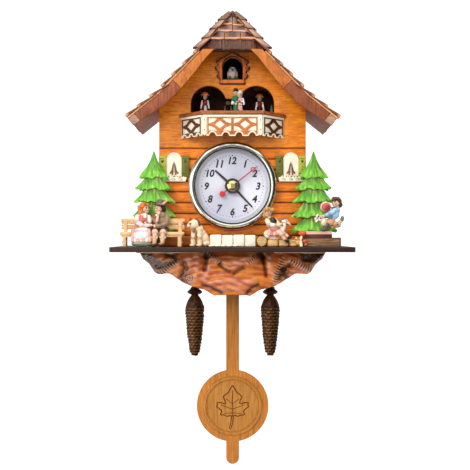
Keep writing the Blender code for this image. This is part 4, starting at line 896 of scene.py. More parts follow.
def buildHip(shingleWood):
    eave = Vector((0, roof["front"], roof["line"][1][1]))
    top = Vector((0, roof["hipTop"], roof["line"][0][1]))
    up = (top - eave).normalized()
    out = Vector((0, -up.z, up.y))
    slope, half = (top - eave).length, roof["line"][1][0]

    def at(x, s, d):
        return Vector((x, 0, 0)) + eave + up * s + out * d

    # the plain triangle behind the courses
    points, faces = [], []
    for d in (-2.6, 0.2):
        points += [at(-half + 0.8, 0.0, d), at(half - 0.8, 0.0, d), at(0, slope - 0.8, d)]
    faces = [(0, 1, 2), (5, 4, 3), (0, 3, 4, 1), (1, 4, 5, 2), (2, 5, 3, 0)]
    back = (points, faces)
    spots = []
    chance = random.Random(5)
    rows = [((z - eave.z) / up.z, 12.5) for z in (127.6, 135.2, 142.6)]
    for row, (s, tall) in enumerate(rows):
        wideHere = half * (1 - s / slope) - 0.3
        count = max(1, round(2 * wideHere / 13.5))
        x = -wideHere
        for i in range(count):
            wide = 2 * wideHere / count
            drop = chance.uniform(-0.8, 0.7)
            spots.append((at(x + wide / 2, s + drop, 1.3), frameOf(up, out), (wide / 10 * 0.97, tall / 10, 1)))
            x += wide
    stamp = shingleStamp(10.0, 10.0, 1.9, 0.8)
    mesh = scattered("hipShingles", stamp, spots, shingleWood, seed=9, lean=(0.8, 0.5, 0.8), change=0.02)
    settle(mesh, "hipShingles", "case")
    # split straws hang as an uneven fringe under the lowest course
    strawLook = {k: v for k, v in shingleLook.items() if k != "edge"}
    strawLook.update(light=tint(128, 74, 46), mid=tint(84, 42, 25), dark=tint(34, 14, 9), grain=0.5, tone=0.5)
    straw = woodFinish("strawWood", strawLook)
    stampMesh = makeMesh("straw", [(tube([(0, 0, 0), (0.05, 6, 0.35), (0.0, 12.5, 0.0)], [0.32, 0.42, 0.30], 6), 0)], [straw])
    spots, x = [], -half + 0.5
    while x < half - 0.4:
        room = min(1.0, (half - abs(x)) / 7)
        for layer in (0, 1):
            long = chance.uniform(0.85, 1.1) * (0.55 + 0.45 * room)
            low = chance.uniform(-0.6, 1.6) - (0.6 if layer else 0)
            place = at(x + chance.uniform(-0.2, 0.2), low, 0.9 + 0.7 * layer)
            spots.append((place, frameOf(up, out), (1.15, long, 1)))
        x += 0.66
    mesh = scattered("hipFringe", stampMesh, spots, straw, seed=4, lean=(1.5, 2, 3), change=0.1, smooth=60)
    settle(mesh, "hipFringe", "case")
    # stepped rake strips along the two slopes of the hip, each course lapping the one below
    rake = woodFinish("rakeWood", dict(shingleLook, along="z", edge=tint(222, 158, 116)))
    strips = []
    for side in (-1, 1):
        for i in range(4):
            s0, s1 = slope * (0.02 + i * 0.245), slope * (0.02 + (i + 1) * 0.245 + 0.05)
            s1 = min(s1, slope - 0.5)
            x0, x1 = half * (1 - s0 / slope) + 6.6, half * (1 - s1 / slope) + 3.4
            wide = 6.6
            for d0, d1 in ((1.3, 4.2),):
                ring = [(x0, s0 - 1.0), (x1, s1), (x1 - wide * 0.75, s1 - 2.6), (x0 - wide, s0 - 1.0)]
                low = [at(side * x, s, d0) for x, s in ring]
                high = [at(side * x, s, d1 - (0.9 if k in (1, 2) else 0)) for k, (x, s) in enumerate(ring)]
                strips.append(((low + high, [(3, 2, 1, 0), (4, 5, 6, 7), (0, 1, 5, 4), (1, 2, 6, 5), (2, 3, 7, 6), (3, 0, 4, 7)]), 0))
    cap = [at(-6.4, slope - 6.5, 3.2), at(6.4, slope - 6.5, 3.2), at(0, slope + 2.6, 1.4)]
    cap += [at(-6.0, slope - 6.5, -5), at(6.0, slope - 6.5, -5), at(0, slope + 2.6, -5)]
    strips.append(((cap, [(0, 1, 2), (5, 4, 3), (0, 3, 4, 1), (1, 4, 5, 2), (2, 5, 3, 0)]), 0))
    bevelled = [(softened(shape, 0.3), slot) for shape, slot in strips]
    mesh = makeMesh("hipRakes", bevelled, [rake])
    worn = mesh.attributes.new("edge", "FLOAT", "POINT")
    worn.data.foreach_set("value", [rakeEdge(v.co / mm, half, slope, eave, up) for v in mesh.vertices])
    settle(mesh, "hipRakes", "case")
    makePiece("hipBoard", [(softened(back, 0.3), 0)], [straw], stands=["hip_roof"])


def rakeEdge(point, half, slope, eave, up):
    s = (point - eave).dot(up)
    inner = half * (1 - s / slope) - abs(point.x)
    butt = s / slope % 0.245 - 0.02
    return 0.95 if inner > 1.9 or abs(butt) < 0.012 else 0.1


def softened(shape, edge, steps=1):
    bm = bmesh.new()
    mesh = bpy.data.meshes.new("soft")
    mesh.from_pydata(shape[0], [], shape[1])
    bm.from_mesh(mesh)
    bpy.data.meshes.remove(mesh)
    bmesh.ops.recalc_face_normals(bm, faces=bm.faces)
    bmesh.ops.bevel(bm, geom=bm.edges[:], offset=edge, segments=steps, affect="EDGES", clamp_overlap=True)
    return taken(bm)


def buildBarges():
    length = roofLength() - math.dist(*roof["line"][:2]) - 1
    count, thick = 42, 2.7
    materials = [woodFinish(f"bargeWood.{part}", bargeLooks[part]) for part in ("upper", "lower", "tip", "edge")]
    edges = {"tip": (0.0, 0.085), "lower": (0.087, 0.60), "upper": (0.603, 1.0)}
    high = roof["front"] - gap
    for name, side in sides:
        shapes = []
        for slot, part in enumerate(("upper", "lower", "tip")):
            start, end = edges[part]
            outer, inner = [], []
            for i in range(count + 1):
                t = start + (end - start) * i / count
                wide = 8.8 + 3.4 * math.sin(math.pi * t)
                outer.append(alongRoof(length * t, -1.5)[0])
                inner.append(alongRoof(length * t, -wide)[0])
            if part == "upper":  # cut level where it runs up behind the fringe
                (x0, z0), (x1, z1) = roof["line"][1:3]
                for run in (inner, outer):
                    x, z = run[-1]
                    run.append((x + (roof["bargeTop"] - z) * (x1 - x0) / (z1 - z0), roof["bargeTop"]))
            back = 0.25 if part == "upper" else 0.0
            shapes.append((slab(sided(inner + outer[::-1], side), high - thick + back, high, 0.5, steps=2), slot))
        # the pale edge of the roof board shows as a thin strip over the barge
        outer = [alongRoof(length * i / count, -0.1)[0] for i in range(count + 1)]
        inner = [alongRoof(length * i / count, -1.45)[0] for i in range(count + 1)]
        shapes.append((slab(sided(inner + outer[::-1], side), high - thick - 0.5, high - 0.2, 0.25), 3))
        makePiece(f"bargeboard.{name}", shapes, materials, stands=[f"bargeboard_{name}"])


# ---- the bird and its carved surround
creamPaint = {"colour": tint(248, 238, 212), "vary": 0.07, "rough": 0.4, "coat": 0.25, "bump": 0.2}


def buildBird():
    frameWood = dict(bargeLooks["lower"], light=tint(236, 138, 58), mid=tint(216, 112, 42), dark=tint(178, 82, 30), along="z")
    carved = woodFinish("birdFrameWood", frameWood)
    darkLine = woodFinish("birdFrameLine", {"light": tint(96, 48, 26), "mid": tint(70, 32, 16), "dark": tint(44, 20, 10)})
    # half of the scroll-edged outline, from the middle of the foot to the apex
    half = [(0, 93.0), (8.5, 93.2), (11.7, 93.0), (12.4, 95.0), (11.2, 96.6), (12.0, 98.4), (13.6, 99.0), (14.8, 100.6)]
    half += [(14.2, 102.4), (12.6, 103.4), (13.4, 105.4), (15.6, 106.4), (16.4, 108.0), (15.8, 109.8), (13.8, 110.4)]
    half += [(13.2, 112.0), (14.6, 113.0), (15.4, 114.4), (10.5, 117.6), (6.2, 119.6), (3.4, 121.6), (0, 123.4)]
    outline = smoothed(half[1:-1] + [half[-1]] + mirrored(half[1:-1]), 2)
    high = frontY - gap
    door = doorwayOutline(9.0, 98.0, 109.4)
    inside = [(x * 0.93, 108 + (z - 108) * 0.94) for x, z in outline]
    back = slab(outline, high - 1.2, high, 0.3, [door])
    front = slab(inside, high - 2.7, high - 1.0, 0.5, [doorwayOutline(9.5, 97.4, 109.6)], steps=2)
    rim = tube([(x, high - 2.4, z) for x, z in doorwayOutline(9.3, 97.6, 109.5, 20)], 0.45, 8, closed=True)
    scrolls = []
    for side in (-1, 1):
        for x, z, r, turn in ((12.6, 101.0, 1.5, 1), (13.2, 108.2, 1.7, -1), (12.6, 113.6, 1.3, 1)):
            path = []
            for i in range(26):
                a = i / 25 * 2.4 * math.pi
                k = r * (1 - 0.72 * i / 25)
                path.append((side * (x + k * math.cos(a * turn) * 0.8), high - 2.75, z + k * math.sin(a * turn)))
            scrolls.append(tube(path, [0.30 * (1 - 0.5 * i / 25) for i in range(26)], 6))
    parts = [(back, 1), (front, 0), (rim, 1)] + [(s, 1) for s in scrolls]
    makePiece("birdFrame", parts, [carved, darkLine], stands=["bird_frame"])
    low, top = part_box("bird")
    y, z = -55.5, 105.2
    white = paintFinish("birdPaint", {"rough": 0.45, "washAndShade": 0.8, "bump": 0.3})
    cream, brown, green, ink = tint(255, 250, 244), tint(150, 92, 60), tint(52, 100, 60), tint(40, 26, 22)
    lumps = [
        ("ball", (0, y, z - 0.2), (4.7, 5.0, 4.9), cream),
        ("ball", (0, y - 1.2, z + 3.9), (3.8, 3.7, 3.5), cream),
        ("ball", (-4.1, y + 0.3, z + 0.2), (1.3, 3.9, 3.5), tint(250, 232, 222)),
        ("ball", (4.1, y + 0.3, z + 0.2), (1.3, 3.9, 3.5), tint(250, 232, 222)),
        ("limb", (0, y - 4.2, z + 4.0), (0, y - 7.0, z + 3.2), 1.25, 0.3, brown),
        ("ball", (-1.8, y - 4.2, z + 5.2), (0.55, 0.5, 0.55), ink),
        ("ball", (1.8, y - 4.2, z + 5.2), (0.55, 0.5, 0.55), ink),
        ("limb", (0, y + 3, z - 1), (0, y + 8.0, z + 1.5), 2.4, 1.2, tint(206, 180, 160)),
        ("limb", (-2, y - 3.6, z - 2.2), (-3.2, y - 4.2, z - 4.4), 0.8, 0.5, brown),
        ("limb", (2, y - 3.6, z - 2.2), (3.2, y - 4.2, z - 4.4), 0.8, 0.5, brown),
    ]
    bird = carve("bird", lumps, 0.28, 1)
    perch = roundedBox((-5.4, y - 5.0, 99.1), (5.4, y + 5.0, 101.4), 0.5)
    rod = tube([(0, y + 3, 103.0), (0, -8.2, 103.0)], 1.4, 16)
    steel = metalFinish("rodSteel", {"colour": (0.55, 0.55, 0.55, 1), "rough": 0.3, "hair": (0.4, 0.4, 3)})
    perchPaint = paintFinish("perchPaint", dict(creamPaint, colour=green, rough=0.5))
    extra = makeMesh("perch", [(perch, 0), (rod, 1)], [perchPaint, steel])
    dress(bird, "birdFigure", white, "bird", ["bird"])
    settle(extra, "birdPerch", "bird")
    give("bird_guide", woodFinish("guideWood", bareLook))
    # a black card closes the bird's room off at the back and stands in for the shade inside it; the push rod runs
    # through its hole
    card = slab(rectangle(-15, 15, 97.2, 131), -34.0, -33.4, 0.1, [circle(0, 103, 2.2, 20)])
    roomShadeLook = {"colour": tint(14, 12, 14), "rough": 0.9, "vary": 0.3, "coat": 0}
    makePiece("roomCard", [(card, 0)], [paintFinish("roomShadeSheet", roomShadeLook)])
    print("bird made")


bareLook = {"light": tint(232, 204, 160), "mid": tint(214, 180, 134), "dark": tint(176, 138, 94), "grain": 0.9, "coat": 0.05, "rough": 0.6}


# ---- carving: lumps melted into one skin, painted by the nearest lump
def carve(name, lumps, fine=0.4, smooth=2, relief=None):
    shapes, data = [], []
    for kind, *rest in lumps:
        if kind == "ball":
            centre, radii, colour = rest[:3]
            turn = rest[3] if len(rest) > 3 else (0, 0, 0)
            shapes.append((ball(centre, radii, 24, turn), 0))
            spin = np.array(Euler([math.radians(a) for a in turn]).to_matrix())
            data.append(("ball", np.array(centre), np.array(radii), spin, colour))
        elif kind == "box":
            centre, size, colour = rest[:3]
            turn = rest[3] if len(rest) > 3 else (0, 0, 0)
            place = Matrix.Translation(centre) @ Euler([math.radians(a) for a in turn]).to_matrix().to_4x4()
            low, high = [-s for s in size], list(size)
            shapes.append((moved(roundedBox(low, high, min(size) * 0.35), place), 0))
            spin = np.array(Euler([math.radians(a) for a in turn]).to_matrix())
            data.append(("box", np.array(centre), np.array(size), spin, colour))
        else:
            a, b, r0, r1, colour = rest[:5]
            a, b = Vector(a), Vector(b)
            steps = 6
            path = [a.lerp(b, i / steps) for i in range(steps + 1)]
            radii = [r0 + (r1 - r0) * i / steps for i in range(steps + 1)]
            shapes += [(tube(path, radii, 16), 0), (ball(a, (r0,) * 3, 16), 0), (ball(b, (r1,) * 3, 16), 0)]
            data.append(("limb", np.array(a), np.array(b), (r0, r1), colour))
    mesh = makeMesh(name, shapes, [])
    obj = bpy.data.objects.new(name, mesh)
    bpy.context.scene.collection.objects.link(obj)
    melt = obj.modifiers.new("melt", "REMESH")
    melt.mode, melt.voxel_size = "VOXEL", fine * mm
    soft = obj.modifiers.new("soft", "SMOOTH")
    soft.factor, soft.iterations = 0.5, smooth
    made = frozen(obj)
    made.name = name
    points = np.empty(len(made.vertices) * 3, np.float32)
    made.vertices.foreach_get("co", points)
    points = points.reshape(-1, 3) / mm
    best, second = np.full(len(points), 1e9), np.full(len(points), 1e9)
    colours = np.zeros((len(points), 4))
    for kind, *rest in data:
        if kind == "limb":
            a, b, (r0, r1), colour = rest
            along = b - a
            t = np.clip((points - a) @ along / max(along @ along, 1e-9), 0, 1)
            away = np.linalg.norm(points - a - t[:, None] * along, axis=1) - (r0 + (r1 - r0) * t)
        else:
            centre, radii, spin, colour = rest
            local = (points - centre) @ spin
            if kind == "ball":
                away = (np.linalg.norm(local / radii, axis=1) - 1) * radii.min()
            else:
                off = np.abs(local) - radii
                away = np.linalg.norm(np.maximum(off, 0), axis=1) + np.minimum(off.max(axis=1), 0)
        nearer = away < best
        second = np.where(nearer, best, np.minimum(second, away))
        colours[nearer] = colour
        best = np.where(nearer, away, best)
    # dark wash, partly a painter's wash and partly painted shade, in the creases where two lumps of different paint or
    # shape meet, and in hollows
    washAndShade = np.clip(1 - (second - best) / (fine * 1.6), 0, 1) * 0.55
    washAndShade = np.maximum(washAndShade, hollow(made, points) * 0.9)
    paintPoints(made, colours)
    made.attributes.new("washAndShade", "FLOAT", "POINT").data.foreach_set("value", washAndShade.astype(np.float32))
    if relief:
        normals = np.empty(len(made.vertices) * 3, np.float32)
        made.vertices.foreach_get("normal", normals)
        lift = np.array([relief(Vector(p), c) for p, c in zip(points, colours)])
        made.vertices.foreach_set("co", ((points + normals.reshape(-1, 3) * lift[:, None]) * mm).reshape(-1))
    made.shade_smooth()
    return made


def hollow(mesh, points):
    # how far each point lies in a hollow, from 0 to 1
    edges = np.empty(len(mesh.edges) * 2, np.int32)
    mesh.edges.foreach_get("vertices", edges)
    edges = edges.reshape(-1, 2)
    normals = np.empty(len(mesh.vertices) * 3, np.float32)
    mesh.vertices.foreach_get("normal", normals)
    normals = normals.reshape(-1, 3)
    total, count = np.zeros((len(points), 3)), np.zeros(len(points))
    for a, b in ((0, 1), (1, 0)):
        np.add.at(total, edges[:, a], points[edges[:, b]])
        np.add.at(count, edges[:, a], 1)
    mean = total / np.maximum(count, 1)[:, None]
    span = np.linalg.norm(points[edges[:, 0]] - points[edges[:, 1]], axis=1).mean()
    deep = ((mean - points) * normals).sum(axis=1) / span
    for _ in range(2):
        total, count = np.zeros(len(points)), np.zeros(len(points))
        for a, b in ((0, 1), (1, 0)):
            np.add.at(total, edges[:, a], deep[edges[:, b]])
            np.add.at(count, edges[:, a], 1)
        deep = 0.5 * deep + 0.5 * total / np.maximum(count, 1)
    return np.clip(deep * 5, 0, 1)


def dress(mesh, name, material, body, stands):
    mesh.materials.clear()
    mesh.materials.append(material)
    return settle(mesh, name, body, stands)


# ---- the stage: backdrop, turntable and four painted dancers
def buildStage():
    low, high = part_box("stage_backdrop")
    low, high = low / mm, high / mm
    dark = paintFinish("backdropPaint", {"colour": tint(74, 44, 42), "rough": 0.8, "vary": 0.3, "coat": 0})
    outline = [(56, 62.3), (56, 80), (49, 88), (30, 96.5)]
    board = slab(smoothed(outline, 1, False) + mirrored(smoothed(outline, 1, False)), low.y, high.y, 0.25)
    firGreen = paintFinish("sceneGreen", {"colour": tint(176, 196, 164), "rough": 0.7, "vary": 0.3, "coat": 0})
    hillGrey = paintFinish("sceneGrey", {"colour": tint(214, 220, 206), "rough": 0.7, "vary": 0.25, "coat": 0})
    parts = [(board, 0)]
    for x, foot, tall, wide in ((47, 63, 27, 13), (38, 63, 20, 11), (-47, 63, 16, 12), (-38, 63, 12, 10), (54, 63, 21, 8)):
        outline = []
        for i in range(4):
            share = i / 4
            outline.append((x + wide * 0.5 * (1 - share), foot + tall * share))
            outline.append((x + wide * 0.32 * (1 - share) - 0.4, foot + tall * (share + 0.17)))
        tip = [(x, foot + tall)]
        left = [(2 * x - a, b) for a, b in reversed(outline)]
        parts.append((slab(outline + tip + left, low.y - 0.5, low.y + 0.1, 0.1), 1))
    hill = [(20, 62.5), (53, 62.5), (53, 66), (44, 74), (36, 69.5), (28, 71)]
    parts.append((slab(smoothed(hill, 2), low.y - 0.35, low.y + 0.1, 0.1), 2))
    parts.append((slab(smoothed(mirrored(hill), 2), low.y - 0.35, low.y + 0.1, 0.1), 2))
    makePiece("stageScene", parts, [dark, firGreen, hillGrey], stands=["stage_backdrop"])
    give("stage_deck", woodFinish("deckWood", dict(bargeLooks["under"], dark=tint(60, 32, 18), mid=tint(84, 44, 24))))
    give("turntable", woodFinish("turntableWood", {"light": tint(80, 44, 28), "mid": tint(60, 30, 18), "dark": tint(38, 18, 10)}))
    give("turntable_motor", metalFinish("motorSteel", {"colour": (0.5, 0.5, 0.52, 1), "rough": 0.35, "hair": (3, 3, 0.3)}))
    paint = paintFinish("dancerPaint", {"rough": 0.35, "washAndShade": 0.6, "coat": 0.3, "brush": 0.7})
    white, skin, ink = tint(246, 240, 228), tint(236, 196, 170), tint(22, 18, 18)
    straw, pompom, blood = tint(232, 178, 60), tint(226, 54, 36), tint(126, 20, 34)
    green, tan, black = tint(24, 98, 58), tint(186, 140, 104), tint(20, 16, 18)
    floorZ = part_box("dancer_front")[0].z / mm
    for name, quarter in (("front", 3), ("right", 0), ("back", 1), ("left", 2)):
        angle = quarter * math.pi / 2 + math.radians(10)
        x, y = 26 * math.cos(angle), -57 + 26 * math.sin(angle)
        lumps = []

        def body(x, y, skirt, top, sleeve, hand, hat, apron=None, wide=3.7, tall=1.0, hair=None):
            z = floorZ
            lumps.append(("limb", (x, y, z + 1.2), (x, y, z + 9.0 * tall), wide, 2.1, skirt))
            lumps.append(("box", (x, y, z + 0.5), (wide * 0.9, wide * 0.9, 0.5), skirt))
            lumps.append(("ball", (x, y, z + 13.0 * tall), (2.7, 2.3, 3.2), top))
            if apron:
                lumps.append(("limb", (x + 0.5, y - 1.9, z + 2.0), (x + 0.2, y - 1.2, z + 9.2), 2.2, 1.3, apron))
            for way in (-1, 1):
                hip = (x + way * 3.6, y - 1.6, z + 9.0)
                lumps.append(("limb", (x + way * 2.5, y, z + 14.6 * tall), hip, 1.0, 0.85, sleeve))
                lumps.append(("ball", (hip[0], hip[1] - 0.3, hip[2] - 0.9), (0.9, 0.9, 0.9), hand))
            head = z + 18.4 * tall
            lumps.append(("ball", (x, y, head), (2.25, 2.2, 2.5), skin if hair is None else hair))
            lumps.append(("ball", (x, y - 0.75, head - 0.1), (1.9, 1.7, 2.2), skin))
            for way in (-1, 1):
                lumps.append(("ball", (x + way * 0.8, y - 2.3, head + 0.3), (0.33, 0.3, 0.36), ink))
            lumps.append(("ball", (x, y - 2.5, head - 0.35), (0.36, 0.35, 0.36), tint(226, 150, 120)))
            lumps.append(("ball", (x, y - 2.15, head - 1.15), (0.6, 0.3, 0.22), tint(196, 70, 60)))
            if hat == "pompom":
                lumps.append(("ball", (x, y, head + 1.9), (4.1, 3.9, 0.75), straw))
                lumps.append(("ball", (x, y, head + 2.6), (2.3, 2.2, 1.2), straw))
                for k in range(6):
                    a = k * math.pi / 3
                    lumps.append(("ball", (x + 1.9 * math.cos(a), y + 1.8 * math.sin(a), head + 3.5), (1.05, 1.05, 1.0), pompom))
                lumps.append(("ball", (x, y, head + 4.0), (1.1, 1.1, 0.9), pompom))
            elif hat:
                lumps.append(("ball", (x, y, head + 1.7), (3.1, 3.0, 0.6), hat))
                lumps.append(("ball", (x, y, head + 2.7), (2.1, 2.0, 1.9), hat))

        if name == "left":
            body(x, y, blood, blood, white, white, "pompom", apron=white, hair=ink)
        elif name == "right":
            body(x, y, black, blood, white, white, "pompom", hair=white)
        elif name == "back":
            body(x, y, green, black, tan, skin, black)
        else:
            body(x - 1.5, y, green, green, green, white, black, wide=3.0)
            lumps.append(("ball", (x - 4.3, y - 2.4, floorZ + 9.0), (1.6, 1.4, 1.6), white))
            pink = tint(222, 150, 140)
            body(x + 2.2, y + 0.3, pink, pink, white, white, white, wide=3.0, tall=0.9, hair=white)
            for k in range(5):
                lumps.append(("ball", (x + 3.8, y - 1.9, floorZ + 3 + 2.4 * k), (0.55, 0.5, 0.55), white))
        lumps.append(("limb", (x, y, floorZ + 0.4), (x, y, floorZ + 0.9), 3.6, 3.4, tint(60, 36, 24)))
        mesh = carve(f"dancer.{name}", lumps, 0.3, 1)
        flatten(mesh, floorZ)
        dress(mesh, f"dancer.{name}", paint, "turntable", [f"dancer_{name}"])
    print("stage made")


def flatten(mesh, low):
    # nothing goes under the surface that a figure stands on
    for vert in mesh.vertices:
        vert.co.z = max(vert.co.z, low * mm)


# ---- the balcony: cream boards with a fretted lattice over them
balcony = {"top": 62.4, "foot": 43.7, "half": 26.7, "thick": 2.0, "notch": 3.3, "front": -92.0}
latticeLook = {"light": tint(214, 136, 76), "mid": tint(188, 106, 54), "dark": tint(150, 78, 38), "grain": 0.7, "coat": 0.2, "along": "x"}
sideLatticeLook = {"light": tint(112, 70, 44), "mid": tint(84, 48, 28), "dark": tint(54, 30, 18), "grain": 0.7, "coat": 0.2}


def scallopEdge(length, start, notches, radius, foot, steps=10):
    points, pitch = [], length / notches
    for i in range(notches):
        points += arc(start + (i + 0.5) * pitch, foot, radius, 180, 0, steps)
    return points


def balconyFace(low, high, notches, notch, bays, middle):
    # a board from x low to high, with its lattice, borders and scalloped rim, its back at y 0
    top, foot = balcony["top"], balcony["foot"]
    outline = [(low, foot), *scallopEdge(high - low, low, notches, notch, foot), (high, foot), (high, top), (low, top)]
    parts = [(slab(outline, -1.1, 0, 0.2), 0)]
    pitch = (high - low) / notches
    # wavy rim along the scallops
    rim = []
    for i in range(notches):
        centre = low + (i + 0.5) * pitch
        rim += arc(centre, foot + 0.2, notch + 0.35, 180, 0, 12)
    path = [(low + 0.4, foot + 0.6)] + [(x, z) for x, z in rim] + [(high - 0.4, foot + 0.6)]
    parts.append((tube([(x, -1.35, z) for x, z in path], 0.62, 8), 0))
    parts.append((roundedBox((low, -2.0, top - 2.1), (high, -0.6, top), 0.35), 0))
    # the lattice, cut through so that the cream board shows
    inset, base = 1.3, foot + notch + 1.4
    latticeLow = [(low + inset, foot + 1.6), *scallopEdge(high - low, low, notches, notch + 1.0, foot), (high - inset, foot + 1.6)]
    latticeLow = [(min(max(x, low + inset), high - inset), z) for x, z in latticeLow]
    cuts, width = [], (high - low - 2 * inset) / bays
    for i in range(bays):
        cx = low + inset + (i + 0.5) * width
        w, h = width / 2 - 0.75, (top - 3.1 - base) / 2
        cz = base + h
        dw, dh = w * 0.44, h * 0.66
        cuts.append([(cx - dw, cz), (cx, cz - dh), (cx + dw, cz), (cx, cz + dh)])
        for sx in (-1, 1):
            for sz in (-1, 1):
                a = (cx + sx * (w - 0.35), cz + sz * h)
                b = (cx + sx * w * 0.20, cz + sz * h)
                c = (cx + sx * w * 0.52, cz + sz * (h * 0.42))
                d = (cx + sx * (w - 0.35), cz + sz * 0.75)
                cuts.append([a, b, c, d])
    outline = latticeLow + [(high - inset, top - 1.9), (low + inset, top - 1.9)]
    parts.append((slab(outline, -1.75, -1.0, 0.16, cuts), 1))
    # raised diamonds and a carved line round each
    for i in range(bays):
        cx = low + inset + (i + 0.5) * width
        w, h = width / 2 - 0.75, (top - 3.1 - base) / 2
        cz = base + h
        dw, dh = w * 0.36, h * 0.54
        parts.append((slab([(cx - dw, cz), (cx, cz - dh), (cx + dw, cz), (cx, cz + dh)], -1.6, -1.0, 0.22), 0))
    return parts


def buildBalcony():
    cream = paintFinish("balconyCream", creamPaint)
    lattice, sideLattice = woodFinish("latticeWood", latticeLook), woodFinish("sideLatticeWood", sideLatticeLook)
    screwDark = metalFinish("screwSteel", {"colour": (0.18, 0.17, 0.16, 1), "rough": 0.35})
    half, front, thick = balcony["half"], balcony["front"], balcony["thick"]
    place = Matrix.Translation((0, front + thick, 0))
    parts = [(moved(s, place), k) for s, k in balconyFace(-half + 3.0, half - 3.0, 4, balcony["notch"] - 0.3, 2, 0)]
    for side in (-1, 1):
        x = side * (half - 1.7)
        post = [(x - 1.7, balcony["foot"] + 1.6), (x, balcony["foot"]), (x + 1.7, balcony["foot"] + 1.6)]
        post += [(x + 1.7, balcony["top"]), (x - 1.7, balcony["top"])]
        parts.append((slab(post, front - 0.15, front + thick, 0.35, steps=2), 0))
        for z in (49.0, 57.6):
            parts.append((turned([(0, 0), (0.62, 0), (0.5, 0.28), (0.0, 0.34)], 12, (x, front - 0.05, z), "Y"), 2))
    makePiece("balconyFront", parts, [cream, lattice, screwDark], stands=["balcony_front"])
    corner, wall = Vector((half, front)), Vector((48.0, frontY - 0.6))
    run = (wall - corner).length - 1.6
    turn = math.atan2(wall.y - corner.y, wall.x - corner.x)
    for name, side in sides:
        spin = Matrix.Translation((side * (corner.x + gap + 0.7), corner.y + 0.3, 0)) @ Matrix.Rotation(side * turn, 4, "Z")
        low, high = (0.3, run - 0.4) if side > 0 else (-run + 0.4, -0.3)
        face = balconyFace(low, high, 3, 2.2, 1, 0)
        parts = [(moved(shifted(s, y=thick), spin), k) for s, k in face]
        makePiece(f"balconySide.{name}", parts, [cream, sideLattice], stands=[f"balcony_side_{name}"])
    rail = woodFinish("railWood", dict(bargeLooks["lower"], light=tint(196, 112, 62), mid=tint(164, 86, 46), dark=tint(122, 62, 34), along="x"))
    low, high = balcony["top"] + gap, balcony["top"] + gap + 3.1
    outline = [
        (half - 1.7, front + 3.8),
        (43.5, frontY - gap),
        (49.4, frontY - gap),
        (half + 0.84, front - 1.4),
    ]
    shape = slab(outline[::-1] + mirrored(outline[::-1]), low, high - 0.9, 0.4, facing="Z", steps=2)
    strip = slab(rectangle(-half - 0.2, half + 0.2, front - 1.2, front + 1.6), high - 1.1, high, 0.35, facing="Z", steps=2)
    strips = [(strip, 0)]
    for side in (-1, 1):
        line = [(half + 0.4, front - 1.0), (48.6, frontY - 0.6), (46.4, frontY - 0.6), (half - 1.0, front + 1.5)]
        strips.append((slab(sided(line, side), high - 1.1, high, 0.35, facing="Z", steps=2), 0))
        block = roundedBox((side * (half + 0.5) - 1.6, front - 1.4, high - 1.2), (side * (half + 0.5) + 1.6, front + 1.8, high + 0.3), 0.35)
        strips.append((block, 0))
    makePiece("balconyRail", [(shape, 0), *strips], [rail], stands=["balcony_handrail"])
    print("balcony made")


